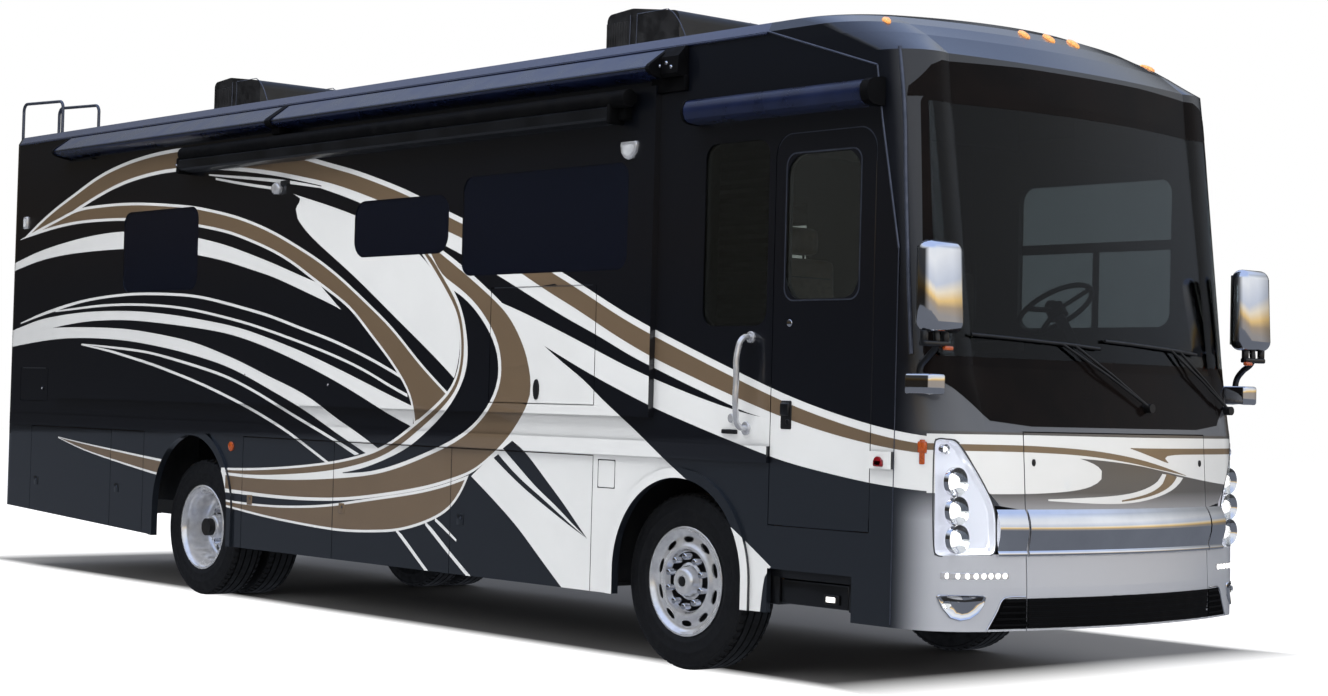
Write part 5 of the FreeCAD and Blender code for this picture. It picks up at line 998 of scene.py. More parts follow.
def nose_film(name, node, body, shapes, low, high, thickness, facing=0.25):
    """Painted or moulded shapes on the nose, drawn from ahead as (left of the middle, height)."""
    faces = triangles(node, lambda n, c: n.x > facing and low < c.z < high)
    tree = tree_over(faces)

    def to_space(q):
        return landing(tree, Vector((AHEAD, *q)), Vector((-1, 0, 0)), Vector((NOSE_AT, *q)))

    shapes = [(key, shape if turns_left(shape) else shape[::-1]) for key, shape in shapes]
    return film(name, body, faces, shapes, lambda p: (p.y, p.z), to_space, Vector((1, 0, 0)), thickness,
                curved=True)


def both_sides(outline):
    """Outline over both halves of the nose, from its points left of the middle."""
    return np.array(outline + [(-y, z) for y, z in outline[::-1]])


def moulding(y0, y1, profile, pace=0.04):
    """Bar along the nose from y0 to y1. The profile is (height, how far out), bottom to top."""
    rings = []
    for y in steps_between(y0, y1, max(2, round(abs(y1 - y0) / pace))):
        rings.append([on_nose(y, z, out) for z, out in profile]
                     + [on_nose(y, z, -0.004) for z, _ in profile[::-1]])
    return loft(rings)


def windscreen_trim():
    """Black paint round the windscreen and in the recess of the sun visor."""
    # black mask under the windscreen, and the recess of the sun visor above it
    mask = both_sides([(-1.245, 1.72), (-1.235, 1.66), (-1.127, 1.584), (-0.943, 1.428), (-0.687, 1.403)])
    nose_film("windscreen_mask", "front_cap", "coach", [("mask", mask)], 1.36, 1.75, 0.0012)
    visor = both_sides([(-1.235, 3.05), (-1.228, 3.10), (-1.12, 3.215), (-1.05, 3.245), (-0.5, 3.262)])
    nose_film("visor_recess", "front_cap", "coach", [("mask", visor)], 3.0, 3.32, 0.0015, facing=0.1)
    edge = both_sides([(-1.24, 1.69), (-1.24, 3.09)])
    clear = both_sides([(-1.19, 1.745), (-1.15, 3.03)])
    nose_film("windscreen_frit", "windscreen", "coach", [("mask", edge), ("body", clear)], 1.6, 3.2, 0.0008)


def chrome_bar():
    """Chrome bar between the lamps, in three lengths: a fat roll over a thin lip."""
    bar = [(0.753, 0.006), (0.757, 0.016), (0.766, 0.019), (0.775, 0.016), (0.782, 0.011), (0.80, 0.013),
           (0.825, 0.022), (0.855, 0.031), (0.89, 0.035), (0.925, 0.031), (0.952, 0.023), (0.97, 0.014),
           (0.98, 0.008), (0.988, 0.004)]
    settle(moulding(-HOOD_SIDE + 0.006, HOOD_SIDE - 0.006, bar), "chrome_bar_hood", "chrome", "front_hood",
           40)
    for side, word in SIDES:
        settle(moulding(side * (HOOD_SIDE + 0.008), side * 0.93, bar, 0.03), f"chrome_bar_{word}", "chrome",
               "coach", 40)


def air_intake():
    """Black mesh behind slats, low in the nose, in three lengths."""
    for part, body, y0, y1 in (("hood", "front_hood", -HOOD_SIDE + 0.006, HOOD_SIDE - 0.006),
                               ("right", "coach", -0.985, -HOOD_SIDE - 0.008),
                               ("left", "coach", HOOD_SIDE + 0.008, 0.985)):
        node = "front_hood" if part == "hood" else "front_cap"
        shape = both_sides([(-0.977, 0.396), (-0.889, 0.545)])
        nose_film(f"air_intake_{part}", node, body, [("gap", shape)], 0.2, 0.8, 0.003)
        slats = []
        for z in (0.415, 0.445, 0.475, 0.505, 0.533):
            reach = 0.975 - (z - 0.396) * 0.59 - 0.012
            start, end = max(y0, -reach), min(y1, reach)
            slats.append(moulding(start, end, [(z - 0.005, 0.003), (z - 0.004, 0.008), (z + 0.004, 0.008),
                                               (z + 0.005, 0.003)], 0.08))
        settle(joined(slats), f"air_intake_slats_{part}", "gap", body)


def nose_fittings():
    """Bright edge of the air intake, hood locks, markers, seams and painted highlights along the windscreen
    posts.
    """
    for side, word in SIDES:
        line = [on_nose(side * y, z, 0.003) for y, z in ((0.985, 0.392), (0.93, 0.482), (0.893, 0.545),
                                                         (0.87, 0.552),
                                                         (HOOD_SIDE + 0.012, 0.553))]
        rim = tube(line, 0.0045)
        settle(rim, f"air_intake_rim_{word}", "chrome", "coach", 60)
        # oval locks of the hood
        lock = on_nose(side * 0.69, 1.222, 0.0)
        knob = round_bar(lock - Vector((0.004, 0, 0)), lock + Vector((0.006, 0, 0)), 0.018, 0.002)
        knob.scale = (0.62, 1, 1.25)
        settle(knob, f"hood_lock_{word}", "plastic", "front_hood")
        # amber marker at the corner: a tall lens with a wider head
        spot = on_nose(side * 1.246, 1.265)
        lens = joined([block(spot - Vector((0.014, 0.010, 0.062)), spot + Vector((0.014, 0.010, 0.062)),
                             0.006, 3),
                       block(spot + Vector((-0.026, -0.012, -0.006)), spot + Vector((0.026, 0.012, 0.054)),
                             0.008, 3)])
        settle(lens, f"corner_marker_{word}", "amber", "coach")
        spot = on_side(4.763, side, 1.205)
        hood = joined([block(spot - Vector((0.032, 0.012, 0.022)), spot + Vector((0.032, 0.012, 0.014)),
                             0.008, 3),
                       round_bar(spot + Vector((0, -0.012, 0.004)), spot + Vector((0, 0.012, 0.004)), 0.026,
                                 0.003)])
        settle(hood, f"side_marker_{word}", "red", "coach")
        seam = [Vector((x, side * (BODY_SIDE + 0.0005), z)) for x, z in JOINT_LINE]
        strip = joined([tube([a.lerp(b, t) for t in (0, 0.5, 1)], 0.006) for a, b in zip(seam[2:], seam[3:])]
                       + [tube([seam[0], seam[0].lerp(seam[2], 0.5), seam[2]], 0.003)])
        settle(strip, f"cap_joint_{word}", "trim", "coach", 60)
        # grey tube along the corner post beside the windscreen: a painted highlight for the sky mirrored on
        # its rounded edge
        post = [on_nose(side * y, z, 0.004) for y, z in ((1.262, 1.75), (1.258, 2.2), (1.252, 2.6),
                                                         (1.244, 3.0),
                                                         (1.236, 3.30))]
        settle(tube(post, 0.011), f"windscreen_post_highlight_{word}", "trim", "coach", 60)


def front_trim():
    """Mask, chrome bar, air intake and small fittings of the nose."""
    windscreen_trim()
    chrome_bar()
    air_intake()
    nose_fittings()


# middle of a fog lamp
FOG_Y, FOG_Z = 1.10, 0.515
# the three round lamps of the right or left corner, highest first
LAMP_SPOTS = ((1.127, 1.122), (1.124, 0.979), (1.121, 0.840))
LAMP_OUTLINE = [(1.212, 0.775), (1.205, 0.760), (1.195, 0.755), (0.95, 0.768), (0.935, 0.80), (0.935, 0.96),
                (0.94, 0.985),
                (0.955, 1.03), (0.985, 1.085), (1.06, 1.205), (1.125, 1.308), (1.145, 1.327), (1.17, 1.332),
                (1.205, 1.330), (1.212, 1.318)]


def headlamps():
    """Three round lamps and a small one behind a clear cover on each corner."""
    for side, word in SIDES:
        centre = Vector((0, side * 1.08, 1.0))
        shell = []
        for depth, inset in ((0.0, 0.0), (0.004, 0.012), (0.030, 0.020), (0.034, 0.030)):
            ring = []
            for y, z in LAMP_OUTLINE:
                pull = (Vector((0, side * y, z)) - centre).normalized() * inset
                ring.append(on_nose(side * y, z, -0.002) - Vector((depth, pull.y, pull.z)))
            shell.append(ring)
        bowl = loft(shell, open_ends=True)
        floor = mesh_object("floor", shell[-1], [list(range(len(LAMP_OUTLINE)))])
        bowl = joined([bowl, floor])
        settle(bowl, f"headlamp_bowl_{word}", "bowl", "coach", 30)
        rings = []
        for n, (y, z) in enumerate(LAMP_SPOTS + ((1.172, 1.282),)):
            radius = 0.068 if n < 3 else 0.024
            spot = on_nose(side * y, z, 0.0) - Vector((0.026, 0, 0))
            reflector = spun([(-0.006, radius * 0.2), (0.002, radius * 0.62), (0.014, radius * 0.84),
                              (0.020, radius),
                              (0.022, radius * 1.05), (0.016, radius * 1.08), (-0.008, radius * 1.08),
                              (-0.012, radius * 0.2)], spot, "X", 40, hollow=True)
            rings.append(reflector)
            bulb = spun([(-0.004, 0.0), (-0.002, radius * 0.5), (0.006, radius * 0.46),
                         (0.013, radius * 0.34),
                         (0.018, radius * 0.16), (0.019, 0.0)], spot, "X", 32)
            settle(bulb, f"headlamp_lens_{word}_{n}", "lit", "coach", 60)
            # dark crescent in the top of each round lamp's bowl: the eyelid of its bezel, coloured dark as a
            # painted shade in the bowl
            if n < 3:
                brow = []
                for k in range(9):
                    a = math.radians(15 + 16 * k)
                    tip = math.sin(math.radians(180 * k / 8))
                    here = Vector((0.022, -side * math.cos(a) * radius, math.sin(a) * radius))
                    lower = Vector((0.012, -side * math.cos(a) * radius * (1 - 0.34 * tip),
                                    math.sin(a) * radius * (1 - 0.34 * tip)))
                    brow.append((spot + here, spot + lower))
                lid = mesh_object("lid", [p for pair in brow for p in pair],
                                  [(2 * k, 2 * k + 2, 2 * k + 3, 2 * k + 1) for k in range(8)])
                apply_modifier(lid, "SOLIDIFY", thickness=0.003, offset=0)
                settle(lid, f"headlamp_shaded_lid_{word}_{n}", "iron", "coach", 60)
        settle(joined(rings), f"headlamp_reflectors_{word}", "chrome", "coach", 60)
        shape = np.array([(side * y, z) for y, z in LAMP_OUTLINE][::-side])
        cover = nose_film(f"headlamp_cover_{word}", "headlamps", "coach", [("clear", shape)], 0.6, 1.5,
                          0.0015,
                          facing=0.02)
        rim = tube([on_nose(side * y, z, 0.0) for y, z in LAMP_OUTLINE], 0.0035, closed=True)
        settle(rim, f"headlamp_seal_{word}", "iron", "coach", 60)
        # strip of daytime lamps
        strip = moulding(side * 0.862, side * 1.192, [(0.643, 0.001), (0.646, 0.005), (0.672, 0.005),
                                                      (0.675, 0.001)],
                         0.03)
        settle(strip, f"daytime_lamp_{word}", "aluminium", "coach")
        beads = []
        for k in range(8):
            spot = on_nose(side * (0.884 + 0.041 * k), 0.659, 0.004)
            beads.append(spun([(0.0, 0.015), (0.003, 0.0145), (0.006, 0.010), (0.007, 0.0)], spot, "X", 20))
        settle(joined(beads), f"daytime_lenses_{word}", "lit", "coach", 60)
        # fog lamp in its shield-shaped bowl, which is drawn in toward its middle
        outline = [(1.205, 0.556), (1.198, 0.566), (1.10, 0.567), (1.006, 0.566), (0.994, 0.556),
                   (1.006, 0.515),
                   (1.034, 0.476), (1.075, 0.447), (1.118, 0.438), (1.158, 0.452), (1.188, 0.50)]
        rings = []
        for scale, out in ((1.0, -0.002), (1.0, 0.006), (0.95, 0.009), (0.90, 0.006), (0.82, 0.002),
                           (0.5, 0.0012),
                           (0.1, 0.001)):
            rings.append([on_nose(side * (FOG_Y + (y - FOG_Y) * scale), FOG_Z + (z - FOG_Z) * scale, out)
                          for y, z in outline])
        settle(loft(rings), f"fog_lamp_bowl_{word}", "chrome", "coach", 50)
        top = [(1.19, 0.553), (1.10, 0.557), (1.01, 0.554), (1.02, 0.538), (1.10, 0.532), (1.18, 0.535)]
        shade = np.array([(side * y, z) for y, z in top][::side])
        lid = loft([[on_nose(y, z, out) for y, z in shade] for out in (0.001, 0.008)])
        settle(lid, f"fog_lamp_lid_{word}", "plastic", "coach")
        spot = on_nose(side * 1.168, 0.520, 0.002)
        eye = spun([(0.0, 0.021), (0.010, 0.020), (0.014, 0.012), (0.016, 0.0)], spot, "X", 28)
        settle(eye, f"fog_lamp_{word}", "clear", "coach", 60)
    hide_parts("headlamps")


def mirrors():
    """Chrome mirror heads on black arms over chrome feet."""
    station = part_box("mirrors")[1].x - 0.0475
    for side, word in SIDES:
        track = BODY_SIDE + 0.0425
        head = block((station - 0.060, -0.142, 1.853), (station + 0.060, 0.142, 2.307), 0.052, 6)
        for vertex in head.data.vertices:
            p = vertex.co + head.location
            up = (p.z - 2.06) / 0.25
            vertex.co.y *= 1.0 - 0.10 * up * up
            if p.x > station:
                vertex.co.x += 0.040 * max(0, 1 - (p.y / 0.15) ** 2) * max(0,
                                                                           1 - (up + 0.55) ** 2 / 2.0) - 0.012
        head.location.y = side * (track - 0.032)
        settle(head, f"mirror_head_{word}", "chrome", "coach", 60)
        glass = block((station - 0.064, side * (track - 0.032) - 0.105, 1.885),
                      (station - 0.057, side * (track - 0.032) + 0.105, 2.275), 0.003)
        settle(glass, f"mirror_glass_{word}", "glass", "coach")
        base = station - 0.078
        foot = block((station - 0.163, side * (BODY_SIDE + 0.02) - 0.0625, 1.548),
                     (station + 0.007, side * (BODY_SIDE + 0.02) + 0.0625, 1.653), 0.016, 4)
        with editing(foot):
            bpy.ops.mesh.subdivide(number_cuts=2)
        for vertex in foot.data.vertices:
            if vertex.co.z < -0.02:
                lengthwise = 1 - min(1, abs(vertex.co.x) / 0.075)
                crosswise = 1 - min(1, abs(vertex.co.y) / 0.06) ** 2
                vertex.co.z += 0.022 * lengthwise * crosswise
        settle(foot, f"mirror_foot_{word}", "chrome", "coach", 50)
        line = [(base - 0.03, side * (BODY_SIDE + 0.030), 1.640),
                (base - 0.02, side * (BODY_SIDE + 0.030), 1.690),
                (base + 0.02, side * (track - 0.020), 1.735), (station, side * (track - 0.012), 1.790),
                (station, side * (track - 0.010), 1.86)]
        arm = tube(line, 0.017, steps=6)
        cuff = [round_bar((station, side * track + y, 1.792), (station, side * track + y, 1.862), 0.020,
                          0.004)
                for y in (-0.075, 0.075)]
        saddle = block((station - 0.022, side * track - 0.092, 1.785),
                       (station + 0.022, side * track + 0.092, 1.812), 0.008, 3)
        settle(joined([arm, saddle] + cuff), f"mirror_arm_{word}", "casing", "coach", 50)
        lens = block((station + 0.004, side * (track - 0.075) - 0.030, 1.768),
                     (station + 0.034, side * (track - 0.075) + 0.030, 1.790), 0.009, 3)
        settle(lens, f"mirror_repeater_{word}", "amber", "coach", 50)
    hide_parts("mirrors")


def brow_markers():
    """Five marker lamps on the brow."""
    tree = face_tree(lambda n, c: n.z > 0.1, "front_cap", "roof")
    for n, (x, y) in enumerate(((4.541, -1.089), (4.713, -0.206), (4.713, 0), (4.713, 0.206),
                                (4.541, 1.089))):
        hit, normal, _, _ = tree.ray_cast(Vector((x, y, ABOVE)), Vector((0, 0, -1)))
        turn = normal.to_track_quat("Z", "Y").to_matrix().to_4x4()
        dome = spun([(-0.004, 0.036), (0.006, 0.035), (0.013, 0.029), (0.018, 0.016), (0.0195, 0.0)],
                    (0, 0, 0), "Z", 28)
        dome.data.transform(Matrix.Diagonal((0.62, 1.35, 1.0, 1.0)))
        dome.data.transform(Matrix.Translation(hit) @ turn)
        settle(dome, f"roof_marker_{n}", "glow", "coach", 60)


# ------------------------------------------------------------------ wheels
TYRE_SHOULDER = [(0.098, 0.291), (0.110, 0.297), (0.119, 0.312), (0.1245, 0.332), (0.1262, 0.336),
                 (0.1262, 0.341),
                 (0.1270, 0.352), (0.1275, 0.385), (0.1290, 0.389), (0.1290, 0.398), (0.1275, 0.402),
                 (0.1262, 0.420),
                 (0.1225, 0.442), (0.117, 0.460), (0.1185, 0.463), (0.1175, 0.468), (0.112, 0.476),
                 (0.104, 0.4850),
                 (0.098, 0.4875), (0.082, 0.4890), (0.081, 0.478), (0.072, 0.478), (0.071, 0.4895),
                 (0.034, 0.490),
                 (0.033, 0.478), (0.023, 0.478), (0.022, 0.490)]
FRONT_FACE = [(1.188, 0.2925), (1.189, 0.303), (1.194, 0.3045), (1.197, 0.300), (1.1975, 0.292),
              (1.190, 0.284),
              (1.180, 0.276), (1.173, 0.262), (1.1725, 0.250), (1.176, 0.222), (1.181, 0.205), (1.187, 0.198),
              (1.190, 0.190),
              (1.187, 0.180), (1.174, 0.173), (1.160, 0.170), (1.156, 0.165), (1.156, 0.112), (1.158, 0.104),
              (1.166, 0.090), (1.196, 0.081), (1.210, 0.075), (1.219, 0.066), (1.222, 0.056), (1.222, 0.036),
              (1.219, 0.032), (1.206, 0.030), (1.204, 0.0), (1.150, 0.0), (1.148, 0.165), (1.166, 0.178),
              (1.168, 0.262),
              (1.176, 0.284), (1.183, 0.2915)]
REAR_FACE = [(1.186, 0.2925), (1.187, 0.303), (1.192, 0.3045), (1.196, 0.299), (1.196, 0.289), (1.188, 0.281),
             (1.176, 0.273), (1.155, 0.2665), (1.120, 0.262), (1.060, 0.258), (1.020, 0.251), (0.994, 0.241),
             (0.982, 0.228), (0.978, 0.205), (0.980, 0.178), (0.988, 0.165), (0.990, 0.112), (1.000, 0.098),
             (1.060, 0.090), (1.104, 0.086), (1.114, 0.080), (1.118, 0.070), (1.118, 0.050), (1.128, 0.044),
             (1.132, 0.030), (1.132, 0.0), (0.968, 0.0), (0.968, 0.240), (1.010, 0.262), (1.060, 0.268),
             (1.160, 0.2775), (1.178, 0.2895)]


def around(piece, centre, count):
    """One object of a piece and its copies, set evenly about the wheel's axis."""
    return joined([piece] + [turned(copied(piece), 2 * math.pi * k / count, "Y", centre)
                             for k in range(1, count)])


def tyre(name, centre, body):
    half = TYRE_SHOULDER + [(-a, r) for a, r in TYRE_SHOULDER[::-1]]
    piece = spun(half, centre, "Y", 120, hollow=True)
    # notches of the shoulder ribs
    pick(piece)
    bpy.ops.object.mode_set(mode="EDIT")
    bpy.ops.mesh.select_mode(type="FACE")
    shape = bmesh.from_edit_mesh(piece.data)
    for face in shape.faces:
        at = face.calc_center_median() - Vector(centre)
        radius = math.hypot(at.x, at.z)
        turn = (math.degrees(math.atan2(at.z, at.x)) + 1.5) % 6
        face.select = radius > 0.472 and turn < 3 and abs(face.normal.y) < 0.96 and \
            (0.084 < abs(at.y) < 0.116)
    bmesh.update_edit_mesh(piece.data)
    bpy.ops.mesh.inset(thickness=0.0015, depth=-0.006, use_individual=False)
    bpy.ops.object.mode_set(mode="OBJECT")
    return settle(piece, name, "tyre", body, 35)


def rim(name, profile, centre, holes_at, hole, ring, body):
    """Polished wheel turned from its profile, with ten oval hand holes."""
    disc = spun(profile, centre, "Y", 120, hollow=True)
    cutter = round_bar(Vector(centre) + Vector((0, 0.90, holes_at)),
                       Vector(centre) + Vector((0, 1.25, holes_at)),
                       0.5, steps=28)
    cutter.data.transform(Matrix.Diagonal((hole[0], hole[1], 1, 1)))
    pick(cutter)
    bpy.ops.object.transform_apply(location=True, rotation=True, scale=True)
    tool = around(cutter, centre, 10)
    apply_modifier(disc, "BOOLEAN", operation="DIFFERENCE", object=tool, solver="EXACT")
    bpy.data.objects.remove(tool)
    apply_modifier(disc, "BEVEL", width=0.002, segments=2, limit_method="ANGLE", angle_limit=math.radians(50))
    settle(disc, name, ("aluminium", "gap"), body, 40)
    # the recess round the nuts is in shade
    for face in disc.data.polygons:
        at = face.center - Vector(centre)
        if ring[0] < math.hypot(at.x, at.z) < ring[1] and at.y < ring[2] and face.normal.y > 0.9:
            face.material_index = 1
    return disc


def wheel(which, x, profile, holes_at, hole, shade, lug, barrels, web, tracks):
    """Face, nuts, barrel and tyres of the left wheels of an axle. Returns the pieces."""
    hub = (x, 0, AXLE_HEIGHT)
    wheel_body = f"left_{which}_wheel"
    pieces = [rim(f"left_{which}_wheel_face", profile, hub, holes_at, hole, shade, wheel_body)]
    ring, low, high, radius = lug
    nut = spun([(low, 0), (low, radius * 1.15), (low + 0.004, radius * 1.15), (low + 0.008, radius),
                (high - 0.006, radius),
                (high - 0.002, radius * 0.88), (high, radius * 0.6), (high, 0)],
               Vector(hub) + Vector((0, 0, ring)), "Y", 20)
    pieces.append(settle(around(nut, hub, 10), f"left_{which}_wheel_nuts", "chrome", wheel_body,
                         40))
    if which == "front":
        centre_cap = spun([(1.207, 0.0), (1.207, 0.027), (1.216, 0.026), (1.2185, 0.020), (1.219, 0.0)], hub,
                          "Y", 40)
        pieces.append(settle(centre_cap, "left_front_hub_plug", "plastic", wheel_body, 40))
    shells = []
    for outer, inner in barrels:
        shells.append(spun([(outer, 0.2915), (outer, 0.283), (inner + 0.02, 0.283), (inner + 0.004, 0.292),
                            (inner - 0.002, 0.303), (inner - 0.008, 0.303), (inner - 0.006, 0.2915)], hub,
                           "Y", 80,
                           hollow=True))
    shells.append(spun([(web, 0), (web, 0.2835), (web - 0.012, 0.2835), (web - 0.012, 0)], hub, "Y", 64))
    pieces.append(settle(joined(shells), f"left_{which}_wheel_barrel", "iron", wheel_body,
                         40))
    for word, track in tracks:
        pieces.append(tyre(f"left_{which}_tread_{word}", (x, track, AXLE_HEIGHT), wheel_body))
    return pieces


def wheels():
    """Polished wheels with hand holes, covered nuts and ribbed tyres: single in front, twin behind."""
    front = wheel("front", FRONT_AXLE, FRONT_FACE, 0.233, (0.084, 0.034), (0.105, 0.166, 1.158),
                  (0.1385, 1.150, 1.208, 0.0185), [(1.184, 0.957)], 1.10, [("outer", 1.072)])
    rear = wheel("rear", REAR_AXLE, REAR_FACE, 0.207, (0.066, 0.036), (0.105, 0.162, 0.992),
                 (0.1385, 0.985, 1.045, 0.0175), [(0.992, 0.957), (0.887, 0.657)], 0.930,
                 [("outer", 1.072), ("inner", 0.772)])
    for which, pieces in (("front", front), ("rear", rear)):
        for piece in list(pieces):
            twin = copied(piece, mirror=True)
            twin.name = twin.data.name = piece.name.replace("left", "right", 1)
            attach(twin, f"right_{which}_wheel")
            ("tyre_rubber" if "tread" in piece.name else
                    "chrome_trim" if "nuts" in piece.name else
                    "black_plastic" if "plug" in piece.name else "polished_aluminium")
        for side in ("left", "right"):
            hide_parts(f"{side}_{which}_rim")
            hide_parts(f"{side}_{which}_tyre")


# ------------------------------------------------------------------ roof, awnings and slide
WALL = -BODY_SIDE
# middle bracket of the patio awning, and rear edge of the front roof unit
MID_BRACKET = -0.927
FRONT_UNIT_REAR = 3.40 - 2.077
SLIDE_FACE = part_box("slide_out_glass")[0].y + 0.002
PATIO_PROFILE = [(WALL - 0.002, 3.447), (WALL - 0.020, 3.447), (WALL - 0.026, 3.440), (WALL - 0.145, 3.352),
                 (WALL - 0.156, 3.340), (WALL - 0.158, 3.326), (WALL - 0.150, 3.314), (WALL - 0.132, 3.304),
                 (WALL - 0.060, 3.288), (WALL - 0.002, 3.283)]
DOOR_PROFILE = [(WALL - 0.002, 3.142), (WALL - 0.030, 3.144), (WALL - 0.090, 3.132), (WALL - 0.116, 3.118),
                (WALL - 0.130, 3.092), (WALL - 0.131, 3.058), (WALL - 0.118, 3.026), (WALL - 0.092, 3.010),
                (WALL - 0.050, 3.004), (WALL - 0.002, 3.004)]


def drawn(profile, x0, x1):
    """Bar along the coach from x0 to x1 with the given (y, z) cross-section."""
    return plate([(x0, y, z) for y, z in profile], (x1 - x0, 0, 0))


def grown(profile, out):
    """Cross-section grown about its middle by a distance."""
    y0 = sum(y for y, _ in profile) / len(profile)
    z0 = sum(z for _, z in profile) / len(profile)
    ring = []
    for y, z in profile:
        away = Vector((y - y0, z - z0)).normalized() * out
        ring.append((min(y + away.x, WALL - 0.001), z + away.y))
    return ring


def screws(places, radius=0.009):
    """Domed screw heads facing right."""
    heads = [spun([(0.004, radius), (0.0, radius), (-0.005, radius * 0.7), (-0.007, 0.0)], place, "Y", 16)
             for place in places]
    return joined(heads)


def awnings():
    """Awning casings with end brackets under the roof edge, and the slide's topper."""
    low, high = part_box("patio_awning")
    casing = drawn(PATIO_PROFILE, low.x + 0.02, high.x - 0.20)
    settle(casing, "patio_awning_casing", "wrap", "coach", 20)
    lip = tube([(x, WALL - 0.153, 3.331) for x in steps_between(low.x + 0.02, high.x - 0.20, 8)], 0.007)
    settle(lip, "patio_awning_lead_rail", "casing", "coach", 60)
    ends = [drawn(grown(PATIO_PROFILE, 0.010), low.x, low.x + 0.024),
            drawn(grown(PATIO_PROFILE, 0.010), high.x - 0.205, high.x - 0.175),
            drawn([(WALL - 0.001, 3.455), (WALL - 0.022, 3.455), (WALL - 0.075, 3.395), (WALL - 0.080, 3.300),
                   (WALL - 0.060, 3.283), (WALL - 0.001, 3.283)], high.x - 0.178, high.x - 0.03),
            block((high.x - 0.31, WALL - 0.030, 3.205), (high.x - 0.02, WALL - 0.001, 3.292), 0.008, 2)]
    ends += [drawn(grown(PATIO_PROFILE, 0.012), MID_BRACKET - 0.035, MID_BRACKET + 0.035),
             block((MID_BRACKET - 0.05, WALL - 0.10, 3.245), (MID_BRACKET + 0.05, WALL - 0.001, 3.30), 0.010,
                   2)]
    settle(joined(ends), "patio_awning_brackets", "gap", "coach", 30)
    bolts = [spun([(0.0, 0.011), (0.004, 0.011), (0.008, 0.006), (0.009, 0)], (high.x - 0.174, WALL - y, z),
                  "X", 16)
             for y, z in ((0.045, 3.40), (0.085, 3.345), (0.04, 3.33))]
    side_bolts = screws([(high.x - 0.13, WALL - 0.078, 3.36), (high.x - 0.09, WALL - 0.078, 3.335)], 0.012)
    settle(joined(bolts + [side_bolts]), "patio_awning_screws", "chrome", "coach", 60)
    # folded arm and its foot at the rear end of the awning
    arm = [block((low.x + 0.03, WALL - 0.036, 3.245), (low.x + 0.42, WALL - 0.001, 3.272), 0.006, 2),
           block((low.x + 0.13, WALL - 0.030, 2.60), (low.x + 0.19, WALL - 0.001, 3.25), 0.010, 3)]
    settle(joined(arm), "patio_awning_arm", "plastic", "coach", 30)
    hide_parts("patio_awning")

    low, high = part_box("door_awning")
    settle(drawn(DOOR_PROFILE, low.x + 0.015, high.x - 0.075), "door_awning_casing", "wrap", "coach",
           30)
    ends = [drawn(grown(DOOR_PROFILE, 0.004), low.x, low.x + 0.018),
            drawn(grown(DOOR_PROFILE, 0.004), high.x - 0.085, high.x - 0.03)]
    settle(joined(ends), "door_awning_ends", "gap", "coach", 30)
    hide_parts("door_awning")

    # topper of the slide: fabric roll coloured near black as painted shade under the awning, over a long
    # casing
    low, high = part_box("slide_out")
    centre_y, centre_z, face = low.y + 0.05, 3.185, SLIDE_FACE
    start, end = REAR_AXLE - 0.08, high.x - 0.15
    cloth = round_bar((start - 0.004, centre_y, centre_z), (end + 0.006, centre_y, centre_z), 0.0515, 0.008,
                      32)
    settle(cloth, "topper_cloth_painted_shade", "gap", "slide_out", 40)
    end -= 0.075
    profile = [(face - 0.001, 3.148), (face - 0.060, 3.156), (face - 0.108, 3.148), (face - 0.118, 3.136),
               (face - 0.1185, 3.080), (face - 0.108, 3.066), (face - 0.060, 3.058), (face - 0.001, 3.058)]
    settle(drawn(profile, start - 0.01, end - 0.06), "topper_casing", "casing", "slide_out",
           30)
    ends = []
    for x0, x1 in ((start - 0.030, start + 0.004), (end - 0.075, end - 0.045)):
        ends.append(block((x0, face - 0.124, 3.044), (x1, face - 0.001, 3.160), 0.014, 3))
    ends.append(block((end - 0.05, face - 0.06, 3.07), (end + 0.02, face - 0.001, 3.14), 0.01, 2))
    settle(joined(ends), "topper_ends", "gap", "slide_out", 30)
    settle(screws([(start - 0.013, face - 0.126, 3.105)], 0.008), "topper_screw", "chrome", "slide_out",
           60)


def roof_units():
    """Grilles and seams of the roof air conditioners and the roof edge rail."""
    low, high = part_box("roof_air_conditioners")
    for n, rear in enumerate((low.x, FRONT_UNIT_REAR)):
        slats, seams = [], []
        for side in (RIGHT, LEFT):
            y = side * (high.y + 0.002)
            for k in range(9):
                x = rear + 0.045 + 0.024 * k
                slats.append(block((x, min(y, y - side * 0.010), 3.64),
                                   (x + 0.010, max(y, y - side * 0.010), 3.89),
                                   0.002, 1))
            for x in (rear + 0.27, rear + 0.335):
                seams.append(tube([(x, y, 3.62), (x + 0.01, y, 3.80), (x + 0.012, y, 3.925)], 0.0035))
            seams.append(tube([(rear + 0.86, y, 3.62), (rear + 0.80, y, 3.76), (rear + 0.70, y, 3.89),
                               (rear + 0.64, y, 3.925)], 0.0035))
            seams.append(tube([(rear + 0.35, y, 3.925), (rear + 0.63, y, 3.925)], 0.003))
        for k in range(12):
            y = -0.30 + 0.052 * k
            slats.append(block((rear - 0.004, y, 3.66), (rear + 0.03, y + 0.020, 3.90), 0.003, 1))
        settle(joined(slats), f"cooler_grille_{n}", "plastic", "coach")
        settle(joined(seams), f"cooler_seams_{n}", "trim", "coach", 60)
    for side, word in SIDES:
        # aluminium rail where the roof skin meets the wall
        rail = [(side * (BODY_SIDE - 0.004), 3.452), (side * (BODY_SIDE + 0.008), 3.452),
                (side * (BODY_SIDE + 0.011), 3.458), (side * (BODY_SIDE + 0.008), 3.464),
                (side * (BODY_SIDE - 0.004), 3.466)]
        settle(drawn(rail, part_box("roof")[0].x, 3.86), f"roof_rail_{word}", "wrap", "coach")


# ------------------------------------------------------------------ the sides
# how far a luggage door's latch is from its rear edge
LATCH_IN = 0.105
# thickness of the stripes and paint that fittings stand on
SKIN = 0.0005
DOORS = {RIGHT: 5, LEFT: 3}


